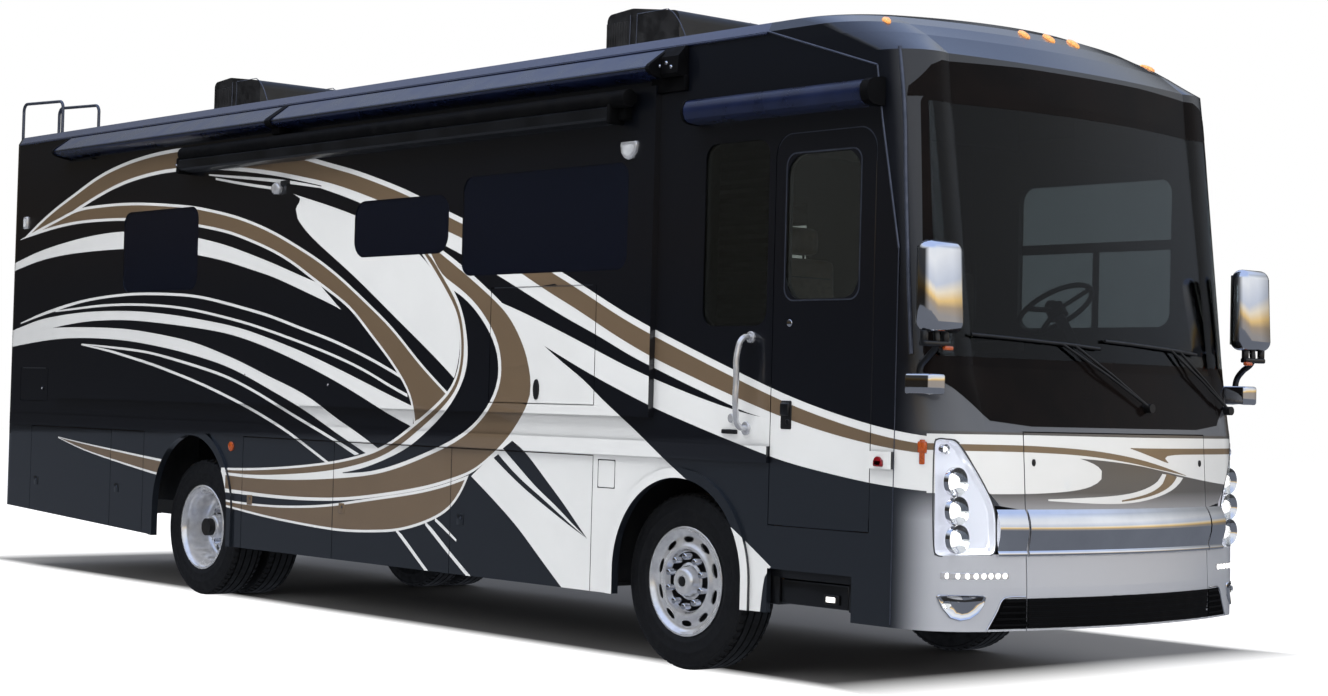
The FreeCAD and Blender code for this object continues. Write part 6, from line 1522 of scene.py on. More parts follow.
def oval(place, size, depth, bevel=0.004, steps=28):
    """Oval boss facing right, centred at place; size is (along, height)."""
    boss = round_bar(Vector(place) + Vector((0, 0.004, 0)), Vector(place) - Vector((0, depth, 0)), 0.5,
                     steps=steps)
    boss.data.transform(Matrix.Diagonal((size[0], size[1], 1, 1)))
    pick(boss)
    bpy.ops.object.transform_apply(location=False, rotation=True, scale=True)
    apply_modifier(boss, "BEVEL", width=bevel, segments=3, limit_method="ANGLE", angle_limit=math.radians(60))
    return boss


def grown_by(low, high, out, radius):
    """Rectangle (rear, front, bottom, top, corner radius) round a box seen from the side, larger by out."""
    return low.x - out, high.x + out, low.z - out, high.z + out, radius


def frame_of(outer, inner, depth, place):
    """Rounded frame between two rectangles of that kind, standing off the right side at y = place."""
    rings = []
    for (x0, x1, z0, z1, r), y in ((outer, place), (outer, place - depth), (inner, place - depth),
                                   (inner, place)):
        ring = []
        for cx, cz, a0 in ((x1 - r, z1 - r, 0), (x0 + r, z1 - r, 90), (x0 + r, z0 + r, 180),
                           (x1 - r, z0 + r, 270)):
            for k in range(7):
                a = math.radians(a0 + 15 * k)
                ring.append((cx + r * math.cos(a), y, cz + r * math.sin(a)))
        rings.append(ring)
    return loft(rings, open_ends=True)


def door_details():
    """Seal round the entry door, frame of its glass, paddle handle and locks."""
    low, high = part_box("entry_door")
    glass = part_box("entry_door_glass")
    seal = frame_of((low.x - 0.002, high.x + 0.002, low.z - 0.002, high.z + 0.006, 0.115),
                    (low.x + 0.012, high.x - 0.012, low.z + 0.012, high.z - 0.008, 0.105), 0.006,
                    low.y + 0.012)
    settle(seal, "entry_door_edge", "trim", "entry_door", 30)
    rubber = frame_of(grown_by(*glass, 0.052, 0.10), grown_by(*glass, 0.010, 0.07), 0.009, low.y + 0.012)
    settle(rubber, "entry_door_glass_frame", "casing", "entry_door", 30)
    bead = frame_of(grown_by(*glass, 0.011, 0.07), grown_by(*glass, 0.004, 0.065), 0.011, low.y + 0.012)
    settle(bead, "entry_door_glass_bead", "trim", "entry_door", 30)
    door_y = low.y + 0.010
    paddle = block((4.028, door_y - 0.014, 1.352), (4.112, door_y + 0.004, 1.505), 0.010, 3)
    settle(paddle, "entry_door_latch_plate", "plastic", "entry_door")
    grip = block((4.038, door_y - 0.030, 1.425), (4.104, door_y - 0.010, 1.492), 0.009, 3)
    settle(grip, "entry_door_paddle", "casing", "entry_door")
    settle(oval((4.086, door_y, 1.392), (0.030, 0.030), 0.018), "entry_door_latch_key", "casing",
           "entry_door",
           50)
    settle(oval((4.078, door_y, 1.910), (0.040, 0.040), 0.012), "entry_door_deadbolt", "chrome", "entry_door",
           50)


def porch_details():
    """Grab rail, keypad lock and bell plate beside the door."""
    y = WALL - SKIN
    rail = tube([(3.768, y + 0.002, 1.350), (3.769, y - 0.060, 1.362), (3.774, y - 0.088, 1.440),
                 (3.777, y - 0.092, 1.60),
                 (3.779, y - 0.088, 1.760), (3.788, y - 0.060, 1.830), (3.790, y + 0.002, 1.838)], 0.0165,
                steps=8)
    settle(rail, "grab_rail", "bright", "coach", 60)
    feet = [oval((3.768, y, 1.350), (0.062, 0.075), 0.014), oval((3.790, y, 1.838), (0.062, 0.062), 0.014)]
    settle(joined(feet), "grab_rail_feet", "bright", "coach", 50)
    settle(oval((3.652, y, 1.402), (0.044, 0.050), 0.014), "door_keypad_lock", "bright", "coach",
           50)
    settle(block((3.583, y - 0.016, 1.318), (3.700, y + 0.002, 1.342), 0.006, 3), "door_bell_plate",
           "plastic",
           "coach")


def side_lamps():
    """Porch lamp, a chrome shield with a lens in it, awning lamp, rear markers and reflectors."""
    shield = [(2.722, 2.950), (2.858, 2.950), (2.862, 2.922), (2.852, 2.884), (2.826, 2.856), (2.790, 2.844),
              (2.754, 2.856), (2.728, 2.884), (2.718, 2.922)]
    face = SLIDE_FACE - SKIN
    lamp = plate([(x, face + 0.002, z) for x, z in shield], (0, -0.028, 0))
    apply_modifier(lamp, "BEVEL", width=0.009, segments=3, limit_method="ANGLE", angle_limit=math.radians(40))
    settle(lamp, "porch_lamp", "bright", "slide_out", 40)
    lens = plate([(2.79 + (x - 2.79) * 0.7, face - 0.024, 2.905 + (z - 2.905) * 0.62) for x, z in shield],
                 (0, -0.010, 0))
    apply_modifier(lens, "BEVEL", width=0.005, segments=3, limit_method="ANGLE", angle_limit=math.radians(40))
    settle(lens, "porch_lamp_lens", "clear", "slide_out", 40)
    # awning lamp over the slide and marker at the rear
    settle(oval((-0.955, face, 2.880), (0.105, 0.085), 0.044, 0.018), "awning_lamp", "bright", "slide_out",
           50)
    arm = block((-0.905, face - 0.03, 2.898), (-0.81, face + 0.001, 2.93), 0.008, 2)
    settle(arm, "awning_lamp_arm", "plastic", "slide_out")
    for side, word in SIDES:
        spot = Vector((-4.89, side * (BODY_SIDE + 0.0005), 2.81))
        lamp = block(spot - Vector((0.034, 0.016, 0.050)), spot + Vector((0.034, 0.016, 0.050)), 0.010, 3)
        settle(lamp, f"rear_marker_bezel_{word}", "bright", "coach")
        lamp = block(spot - Vector((0.022, 0.021, 0.036)), spot + Vector((0.022, 0.021, 0.036)), 0.008, 3)
        settle(lamp, f"rear_marker_{word}", "clear", "coach")
        # round amber reflector over the rear wheel
        skin = on_side(REAR_AXLE + 0.53, side, 1.09)
        disc = round_bar(skin + Vector((0, -side * 0.006, 0)), skin + Vector((0, side * 0.010, 0)), 0.034,
                         0.004, 32)
        settle(disc, f"side_reflector_{word}", "amber", "coach", 50)


def hatch_details():
    """Trim strips of the slide, catch of its hatch and the small round locks."""
    face = SLIDE_FACE - SKIN
    low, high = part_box("slide_out")
    strips = [block((high.x - 0.024, face - 0.007, low.z + 0.002), (high.x - 0.002, face + 0.001, 3.245),
                    0.004, 2),
              block((low.x + 0.004, face - 0.006, low.z + 0.002), (low.x + 0.022, face + 0.001, 3.245), 0.004,
                    2),
              block((low.x + 0.004, face - 0.006, low.z + 0.002),
                    (high.x - 0.002, face + 0.001, low.z + 0.014), 0.003, 2)]
    settle(joined(strips), "slide_trim", "trim", "slide_out")
    # recessed catch of the media hatch
    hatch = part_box("media_hatch")[0].y + 0.006
    catch = oval((1.988, hatch - 0.004, 1.535), (0.052, 0.122), 0.010)
    settle(catch, "media_hatch_catch", "plastic", "media_hatch", 50)
    # small round locks
    hatch_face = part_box("rear_side_hatch")[0].y
    for n, (x, out, z, size, body) in enumerate(((-0.267, face, 1.538, 0.075, "slide_out"),
                                                 (-4.505, hatch_face, 1.467, 0.034, "rear_side_hatch"),
                                                 (-1.328, face, 1.596, 0.030, "slide_out"))):
        settle(oval((x, out + 0.002, z), (size, size), 0.006, 0.002), f"side_lock_{n}", "casing", body,
               50)
        settle(oval((x, out - 0.002, z), (0.017, 0.017), 0.007, 0.002), f"side_key_{n}", "bright", body,
               50)


def bay_latches():
    """Latch and lock of each luggage door."""
    for side, word in SIDES:
        for n in range(1, DOORS[side] + 1):
            door = f"{word}_bay_door_{n}"
            low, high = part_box(door)
            out = low.y if side == RIGHT else high.y
            paint = "sand" if side == RIGHT and n in (3, 4) else "body"
            x = low.x + LATCH_IN
            latch = block((x - 0.033, out - 0.003 if side == RIGHT else out - 0.006, 0.690),
                          (x + 0.033, out + 0.006 if side == RIGHT else out + 0.003, 0.760), 0.004, 2)
            settle(latch, f"{door}_latch", paint, door)
            key = round_bar((x + 0.012, out + side * 0.004, 0.735), (x + 0.012, out + side * 0.007, 0.735),
                            0.009,
                            0.002, 20)
            settle(key, f"{door}_lock", "trim", door, 50)


def step_details():
    """Housing of the entry step, its nosing and tread, and the lamp that rides on it."""
    low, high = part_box("entry_step")
    rear, front, back = low.x - 0.13, high.x + 0.21, high.y + 0.05
    outer_face, foot = low.y - 0.030, low.z - 0.072
    housing = [block((rear, outer_face, high.z + 0.008), (front, back, high.z + 0.085), 0.008),
               block((rear, outer_face, foot), (low.x - 0.014, back, high.z + 0.02), 0.008),
               block((high.x + 0.014, outer_face, foot), (front, back, high.z + 0.02), 0.008),
               block((rear, high.y - 0.02, foot), (front, back, high.z + 0.02), 0.008)]
    settle(joined(housing), "step_housing", "casing", "coach")
    fascia = block((low.x - 0.006, low.y - 0.022, low.z - 0.062),
                   (high.x + 0.006, low.y + 0.012, high.z + 0.003),
                   0.008, 3)
    settle(fascia, "entry_step_nosing", "casing", "entry_step")
    treads = [block((low.x + 0.03, low.y + 0.03 + 0.045 * k, high.z - 0.001),
                    (high.x - 0.03, low.y + 0.055 + 0.045 * k, high.z + 0.003), 0.001, 1) for k in range(6)]
    settle(joined(treads), "entry_step_tread", "chassis", "entry_step")
    lamp = block((4.345, outer_face - 0.010, 0.458), (4.455, outer_face + 0.01, 0.512), 0.008, 3)
    settle(lamp, "step_lamp", "plastic", "entry_step")
    eye = block((4.368, outer_face - 0.016, 0.472), (4.432, outer_face - 0.006, 0.500), 0.005, 3)
    settle(eye, "step_lamp_lens", "lit", "entry_step")


def side_details():
    """Handles, locks, lamps, trim strips and the step housing of the sides."""
    door_details()
    porch_details()
    side_lamps()
    hatch_details()
    bay_latches()
    step_details()


# ------------------------------------------------------------------ the cab
# how far a seat stands off the coach's middle and an armrest off the seat's, the dashboard's face and the
# partition behind the cab
SEAT_OFF = 0.6
ARM_OFF = 0.262
DASH_FACE = 4.563
PARTITION = 3.085


def cushion(low, high, crown, sides=0.05, bend=0.0):
    """Stuffed form between two corners: a rounded box, subdivided and crowned upward or forward."""
    low, high = Vector(low), Vector(high)
    piece = block(low, high, min(high - low) * 0.28, 3)
    with editing(piece):
        bpy.ops.mesh.subdivide(number_cuts=3, smoothness=0.2)
    half = (high - low) / 2
    for vertex in piece.data.vertices:
        u = [max(-1.0, min(1.0, vertex.co[k] / half[k])) for k in range(3)]
        round_off = (1 - u[1] ** 2) * (1 - (u[2] if crown == "X" else u[0]) ** 2)
        if crown == "X":
            vertex.co.x += (1 if u[0] > 0 else -0.4) * sides * round_off * abs(u[0])
            vertex.co.x += bend * u[1] ** 4 - sides * 0.5
        else:
            vertex.co.z += (1 if u[2] > 0 else -0.3) * sides * round_off * abs(u[2]) - sides * 0.5
    return piece


def seats():
    """Two captain's chairs: crowned cushions with seams and piping, armrests, a pedestal and a belt."""
    x0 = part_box("cab_seats")[1].x - 0.26
    for side, word in SIDES:
        y0 = side * SEAT_OFF
        parts = [
            ("seat_cushion", cushion((x0 - 0.25, y0 - 0.262, 1.565), (x0 + 0.262, y0 + 0.262, 1.695), "Z",
                                     0.035)),
            ("backrest_cushion", cushion((x0 - 0.325, y0 - 0.25, 1.66), (x0 - 0.195, y0 + 0.25, 2.31), "X",
                                         0.035, 0.03)),
            ("lumbar_cushion", cushion((x0 - 0.235, y0 - 0.165, 1.72), (x0 - 0.150, y0 + 0.165, 1.98), "X",
                                       0.02)),
            ("head_cushion", cushion((x0 - 0.318, y0 - 0.145, 2.335), (x0 - 0.205, y0 + 0.145, 2.485), "X",
                                     0.02)),
        ]
        for edge, hand in SIDES:
            y = y0 + edge * 0.215
            parts.append((f"seat_bolster_{hand}",
                          cushion((x0 - 0.23, y - 0.045, 1.60), (x0 + 0.24, y + 0.045, 1.725), "Z", 0.012)))
            y = y0 + edge * ARM_OFF
            parts.append((f"arm_pad_{hand}",
                          cushion((x0 - 0.20, y - 0.032, 1.835), (x0 + 0.17, y + 0.032, 1.895), "Z", 0.008)))
        for name, form in parts:
            piece = settle(form, f"{name}_{word}", "leather", "coach", 60)
        seams = []
        for x, reach in ((x0 - 0.02, 0.20), (x0 + 0.10, 0.20)):
            seams.append(tube([(x, y0 - reach, 1.706), (x + 0.01, y0, 1.714), (x, y0 + reach, 1.706)], 0.003))
        for z, middle_x in ((1.86, x0 - 0.142), (2.06, x0 - 0.162), (2.20, x0 - 0.162)):
            seams.append(tube([(x0 - 0.175, y0 - 0.19, z), (middle_x, y0, z), (x0 - 0.175, y0 + 0.19, z)],
                              0.003))
        settle(joined(seams), f"seat_seams_{word}", "dash", "coach", 60)
        frame_parts = [block((x0 - 0.17, y0 - 0.16, 1.215), (x0 + 0.17, y0 + 0.16, 1.50), 0.02, 3),
                       block((x0 - 0.22, y0 - 0.20, 1.50), (x0 + 0.22, y0 + 0.20, 1.565), 0.015, 3)]
        for edge in (RIGHT, LEFT):
            y = y0 + edge * ARM_OFF
            frame_parts.append(tube([(x0 - 0.27, y, 1.86), (x0 - 0.10, y, 1.84), (x0 + 0.15, y, 1.845)],
                                    0.014))
            y = y0 + edge * 0.06
            frame_parts.append(round_bar((x0 - 0.26, y, 2.28), (x0 - 0.26, y, 2.37), 0.007))
        settle(joined(frame_parts), f"seat_frame_{word}", "plastic", "coach")
        belt = block((x0 - 0.30, side * 0.92, 1.70), (x0 - 0.26, side * 0.94, 2.40), 0.006, 2)
        settle(belt, f"seat_belt_reel_{word}", "plastic", "coach")
    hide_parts("cab_seats")


def dash_fittings():
    """Instruments, screen and vents on the dashboard's face, and the wheel's pad."""
    gauges = []
    for k, (y, radius) in enumerate(((0.48, 0.055), (0.60, 0.065), (0.72, 0.055))):
        gauges.append(spun([(0.002, radius), (-0.010, radius), (-0.012, radius * 0.9),
                            (-0.004, radius * 0.86), (-0.004, 0)],
                           (DASH_FACE - 0.001, y, 1.685 if k == 1 else 1.68), "X", 32))
    settle(joined(gauges), "instrument_dials", "trim", "coach", 50)
    screen = block((DASH_FACE - 0.016, -0.13, 1.44), (DASH_FACE + 0.004, 0.17, 1.60), 0.006, 3)
    settle(screen, "dash_screen", "mask", "coach")
    vents = []
    for y in (-0.95, -0.45, 0.25, 0.95):
        vents.append(block((DASH_FACE - 0.010, y - 0.07, 1.515), (DASH_FACE + 0.004, y + 0.07, 1.585), 0.008,
                           3))
        for k in range(4):
            vents.append(block((DASH_FACE - 0.016, y - 0.058, 1.527 + 0.014 * k),
                               (DASH_FACE - 0.006, y + 0.058, 1.532 + 0.014 * k), 0.001, 1))
    settle(joined(vents), "dash_vents", "plastic", "coach")
    # centre pad of the steering wheel
    pad = spun([(-0.016, 0.0), (-0.014, 0.050), (0.004, 0.062), (0.020, 0.058), (0.030, 0.040), (0.033, 0.0)],
               (0, 0, 0), "X", 40)
    tilt = Matrix.Rotation(math.radians(35), 4, "Y")
    pad.data.transform(Matrix.Translation(middle("steering_wheel")) @ Matrix.Rotation(math.pi, 4, "Z") @ tilt)
    settle(pad, "steering_wheel_pad", "dash", "steering_wheel", 50)


def cab_lining():
    """Partition behind the cab, its header and the headlining, and the bars of the driver's window."""
    panels = [block((PARTITION, side * 0.42 if side > 0 else -1.235, 1.212),
                    (PARTITION + 0.02, 1.235 if side > 0 else -0.42, 3.40), 0.006)
              for side in (LEFT, RIGHT)]
    panels.append(block((PARTITION, -0.425, 2.95), (PARTITION + 0.02, 0.425, 3.40), 0.006))
    panels.append(block((PARTITION + 0.02, -1.225, 3.14), (4.66, 1.225, 3.155), 0.004))
    settle(joined(panels), "cab_lining", "lining", "coach")
    # driver's window: frame bars between its fixed and sliding panes
    y = BODY_SIDE
    bars = [block((3.483, y - 0.012, 2.44), (4.703, y + 0.003, 2.50), 0.004),
            block((4.030, y - 0.012, 1.99), (4.075, y + 0.003, 2.46), 0.004)]
    settle(joined(bars), "driver_window_bars", "plastic", "coach")


def window_blinds():
    """Pleated blinds, drawn down behind every pane but the driver's, near black as painted shade of the dark
    cab and rooms. The longest pane's stops short.
    """
    shades = [(RIGHT, 3.445, 3.998, 1.87, 2.92), (LEFT, 0.0, 1.64, 2.70, 2.86),
              (LEFT, -1.80, -0.96, 2.35, 2.77), (LEFT, -4.0, -2.84, 2.18, 2.84)]
    for n, (side, x0, x1, z0, z1) in enumerate(shades):
        depth = BODY_SIDE - 0.055
        pleats = round((z1 - z0) / 0.025)
        points, faces = [], []
        for k in range(pleats + 1):
            z = z0 + (z1 - z0) * k / pleats
            push = 0.010 * (k % 2)
            points += [(x0, side * (depth - push), z), (x1, side * (depth - push), z)]
            if k:
                faces.append((2 * k - 2, 2 * k - 1, 2 * k + 1, 2 * k))
        shade = mesh_object("shade", points, faces)
        apply_modifier(shade, "SOLIDIFY", thickness=0.002, offset=0)
        settle(shade, f"window_blind_{n}", "gap", "coach", 20)


def sun_visors():
    """Visors folded up under the brow."""
    for side, word in SIDES:
        y = side * SEAT_OFF
        visor = block((4.70, y - 0.36, 2.86), (4.725, y + 0.36, 3.08), 0.010, 3)
        settle(visor, f"sun_visor_{word}", "lining", "coach")


def cab_fittings():
    """Instruments and linings of the cab, and the shades of the side windows."""
    dash_fittings()
    cab_lining()
    window_blinds()
    sun_visors()


# ------------------------------------------------------------------ the tail
# height of the number plate's middle
PLATE_AT = 1.75


def on_tail(y, z, out=0.0):
    """Point of the tail's skin at (y, z), moved out square to it."""
    tree = face_tree(lambda n, c: n.x < -0.02, "rear_cap", "engine_hatch", key="tail")
    return standing_off(tree, Vector((-AHEAD, y, z)), Vector((1, 0, 0)), Vector((TAIL_AT, y, z)), out)


def tail_lamps():
    """Tail, clearance and brake lamps, and the corner reflectors."""
    for side, word in SIDES:
        face = on_tail(side * 1.06, 1.15)
        bezel = block((face.x - 0.022, side * 1.06 - 0.085, 0.86), (face.x + 0.02, side * 1.06 + 0.085, 1.45),
                      0.016, 3)
        settle(bezel, f"tail_lamp_bezel_{word}", "chrome", "coach")
        back = face.x - 0.020
        for z, finish, kind in ((1.355, "red", "stop"), (1.155, "amber", "turn"),
                                (0.955, "clear", "reverse")):
            ring = spun([(0.004, 0.076), (-0.006, 0.076), (-0.010, 0.072), (-0.004, 0.068), (0.004, 0.068)],
                        (back, side * 1.06, z), "X", 40, hollow=True)
            settle(ring, f"tail_{kind}_ring_{word}", "chrome", "coach", 50)
            dome = spun([(0.002, 0.0685), (-0.008, 0.066), (-0.015, 0.050), (-0.019, 0.026), (-0.020, 0.0)],
                        (back, side * 1.06, z), "X", 40)
            settle(dome, f"tail_{kind}_lens_{word}", finish, "coach", 50)
        # clearance lamps and corner reflectors
        spot = on_tail(side * 1.02, 3.36)
        lamp = block(spot - Vector((0.018, 0.045, 0.018)), spot + Vector((0.012, 0.045, 0.018)), 0.008, 3)
        settle(lamp, f"tail_clearance_{word}", "red", "coach")
        spot = on_tail(side * 0.98, 0.66)
        disc = round_bar(spot + Vector((0.004, 0, 0)), spot - Vector((0.008, 0, 0)), 0.036, 0.003, 32)
        settle(disc, f"tail_reflector_{word}", "red", "coach", 50)
    for n, y in enumerate((-0.16, 0.0, 0.16)):
        spot = on_tail(y, 3.40)
        lamp = block(spot - Vector((0.018, 0.045, 0.016)), spot + Vector((0.012, 0.045, 0.016)), 0.007, 3)
        settle(lamp, f"tail_identity_lamp_{n}", "red", "coach")
    spot = on_tail(0.0, 3.22)
    brake = block(spot - Vector((0.022, 0.26, 0.020)), spot + Vector((0.012, 0.26, 0.020)), 0.009, 3)
    settle(brake, "high_brake_lamp", "red", "coach")


def reversing_camera():
    """Camera in its hood."""
    spot = on_tail(0.0, 3.10)
    hood = plate([(spot.x + 0.01, -0.055, spot.z + 0.035), (spot.x - 0.060, -0.055, spot.z + 0.028),
                  (spot.x - 0.066, -0.055, spot.z + 0.010),
                  (spot.x - 0.035, -0.055, spot.z - 0.032), (spot.x + 0.01, -0.055, spot.z - 0.035)],
                 (0, 0.11, 0))
    apply_modifier(hood, "BEVEL", width=0.006, segments=2, limit_method="ANGLE", angle_limit=math.radians(30))
    eye = round_bar((spot.x - 0.030, 0, spot.z), (spot.x - 0.058, 0, spot.z - 0.014), 0.018, 0.003)
    settle(joined([hood, eye]), "reversing_camera", "plastic", "coach")


def engine_hatch_details():
    """Louvres and locks of the engine hatch, and the sheet lining seen with it open."""
    slats = []
    for k in range(13):
        z = 0.86 + 0.043 * k
        rings = []
        for y in steps_between(-0.46, 0.46, 8):
            base = on_tail(y, z)
            rings.append([(base.x + 0.003, y, z), (base.x - 0.016, y, z - 0.012),
                          (base.x - 0.018, y, z - 0.016),
                          (base.x - 0.014, y, z - 0.016), (base.x + 0.003, y, z - 0.005)])
        slats.append(loft(rings))
    settle(joined(slats), "engine_hatch_louvres", "body", "engine_hatch")
    backing = mesh_object("backing", [on_tail(y, z, 0.0012) for z in (0.83, 1.10, 1.395)
                                      for y in (-0.475, -0.24, 0, 0.24, 0.475)],
                          [(5 * r + k, 5 * r + k + 1, 5 * r + k + 6, 5 * r + k + 5) for r in range(2)
                           for k in range(4)])
    apply_modifier(backing, "SOLIDIFY", thickness=0.002, offset=0)
    settle(backing, "engine_hatch_screen", "gap", "engine_hatch")
    for side, word in SIDES:
        spot = on_tail(side * 0.42, 0.70)
        lock = round_bar(spot + Vector((0.004, 0, 0)), spot - Vector((0.010, 0, 0)), 0.020, 0.003)
        settle(lock, f"engine_hatch_lock_{word}", "bright", "engine_hatch", 50)
    low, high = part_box("engine")
    bay = [block((low.x - 0.25, side * 0.78 - 0.006, 0.62), (high.x + 0.10, side * 0.78 + 0.006, 1.16), 0.003,
                 1) for side in (-1, 1)]
    bay += [block((high.x + 0.09, -0.78, 0.62), (high.x + 0.10, 0.78, 1.16), 0.003, 1),
            block((low.x - 0.25, -0.78, 0.60), (low.x + 0.9, 0.78, 0.62), 0.003, 1)]
    settle(joined(bay), "engine_bay_lining", "chassis", "coach")


def tail_trim():
    """Bright strip of the bumper, blank number plate and treads of the ladder."""
    line = [on_tail(y, 0.565, 0.004) for y in steps_between(-1.16, 1.16, 12)]
    settle(tube(line, 0.009), "rear_bumper_strip", "chrome", "coach", 60)
    # blank number plate in its frame, on the raised pad over the hatch
    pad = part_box("rear_cap")[0].x
    surround = block((pad - 0.010, -0.163, PLATE_AT - 0.086), (pad + 0.004, 0.163, PLATE_AT + 0.086), 0.004,
                     2)
    settle(surround, "number_plate_frame", "plastic", "coach")
    blank = block((pad - 0.013, -0.1525, PLATE_AT - 0.076), (pad - 0.008, 0.1525, PLATE_AT + 0.076), 0.001, 1)
    settle(blank, "number_plate_blank", "pale", "coach")
    bolts = [round_bar((pad - 0.012, y, PLATE_AT + z), (pad - 0.016, y, PLATE_AT + z), 0.006, 0.001, 16)
             for y in (-0.0889, 0.0889) for z in (-0.0603, 0.0603)]
    settle(joined(bolts), "number_plate_screws", "bright", "coach", 50)
    # treads of the ladder
    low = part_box("ladder")[0]
    treads = []
    for k in range(8):
        z = low.z + 0.10 + 0.32 * k
        treads.append(block((low.x - 0.004, -1.095, z + 0.008), (low.x + 0.026, -0.825, z + 0.015), 0.002, 1))
    settle(joined(treads), "ladder_treads", "plastic", "coach")


def tail():
    """Lamps, camera, louvres, trim and plate of the rear face."""
    tail_lamps()
    reversing_camera()
    engine_hatch_details()
    tail_trim()


# ------------------------------------------------------------------ operators
class MOTORHOME_OT_finishes(bpy.types.Operator):
    """Makes every material and gives each construction node its finish"""
    bl_idname = "motorhome.finishes"
    bl_label = "Finishes"

    def execute(self, context):
        make_materials(context.scene.motorhome_paint)
        for name, node in NODES.items():
            key = NODE_FINISH.get(name) or SLOT_FINISH[node.data.materials[0].name.split(".")[0]]
            node.data.materials.clear()
            node.data.materials.append(M[key])
        return {"FINISHED"}


class MOTORHOME_OT_stripes(bpy.types.Operator):
    """Lays the painted stripes on the walls, doors, hatches, nose and rear corners"""
    bl_idname = "motorhome.stripes"
    bl_label = "Stripes"

    def execute(self, context):
        paint_stripes(context.scene.motorhome_paint)
        return {"FINISHED"}


class MOTORHOME_OT_front_trim(bpy.types.Operator):
    """Lays the windscreen mask, the chrome bar, the air intake, the markers and the seams of the nose"""
    bl_idname = "motorhome.front_trim"
    bl_label = "Nose trim"

    def execute(self, context):
        front_trim()
        return {"FINISHED"}


class MOTORHOME_OT_headlamps(bpy.types.Operator):
    """Models the headlamps, the daytime lamps and the fog lamps"""
    bl_idname = "motorhome.headlamps"
    bl_label = "Headlamps"

    def execute(self, context):
        headlamps()
        return {"FINISHED"}


class MOTORHOME_OT_mirrors(bpy.types.Operator):
    """Models the mirrors and the marker lamps of the brow"""
    bl_idname = "motorhome.mirrors"
    bl_label = "Mirrors and markers"

    def execute(self, context):
        mirrors()
        brow_markers()
        return {"FINISHED"}


class MOTORHOME_OT_wheels(bpy.types.Operator):
    """Models the wheels and tyres"""
    bl_idname = "motorhome.wheels"
    bl_label = "Wheels"

    def execute(self, context):
        wheels()
        return {"FINISHED"}


class MOTORHOME_OT_awnings(bpy.types.Operator):
    """Models the awning casings and the slide's topper"""
    bl_idname = "motorhome.awnings"
    bl_label = "Awnings"

    def execute(self, context):
        awnings()
        return {"FINISHED"}


class MOTORHOME_OT_roof_units(bpy.types.Operator):
    """Models the grilles of the roof units and the roof rails"""
    bl_idname = "motorhome.roof_units"
    bl_label = "Roof units"

    def execute(self, context):
        roof_units()
        return {"FINISHED"}


class MOTORHOME_OT_side_details(bpy.types.Operator):
    """Models the handles, locks, lamps and trim of the sides"""
    bl_idname = "motorhome.side_details"
    bl_label = "Side details"

    def execute(self, context):
        side_details()
        return {"FINISHED"}


class MOTORHOME_OT_seats(bpy.types.Operator):
    """Models the two cab seats"""
    bl_idname = "motorhome.seats"
    bl_label = "Cab seats"

    def execute(self, context):
        seats()
        return {"FINISHED"}


class MOTORHOME_OT_cab_fittings(bpy.types.Operator):
    """Models the instruments, linings and blinds of the cab"""
    bl_idname = "motorhome.cab_fittings"
    bl_label = "Cab fittings"

    def execute(self, context):
        cab_fittings()
        return {"FINISHED"}


class MOTORHOME_OT_tail(bpy.types.Operator):
    """Models the lamps, louvres and trim of the tail"""
    bl_idname = "motorhome.tail"
    bl_label = "Tail"

    def execute(self, context):
        tail()
        return {"FINISHED"}


# middle and half sizes of the floor's shaded patch, past which it whitens
SHADE_AT = (-0.9, 0.9, 0)
SHADE_HALF = (5.3, 1.95)


def softbox(name, place, target, size, power):
    """Rectangular lamp that polished parts don't mirror."""
    data = bpy.data.lights.new(name, "AREA")
    data.shape = "RECTANGLE"
    data.size, data.size_y = size
    data.energy = power
    lamp = bpy.data.objects.new(name, data)
    lamp.location = place
    lamp.rotation_euler = (Vector(target) - Vector(place)).to_track_quat("-Z", "Y").to_euler()
    lamp.visible_glossy = False
    bpy.context.scene.collection.objects.link(lamp)


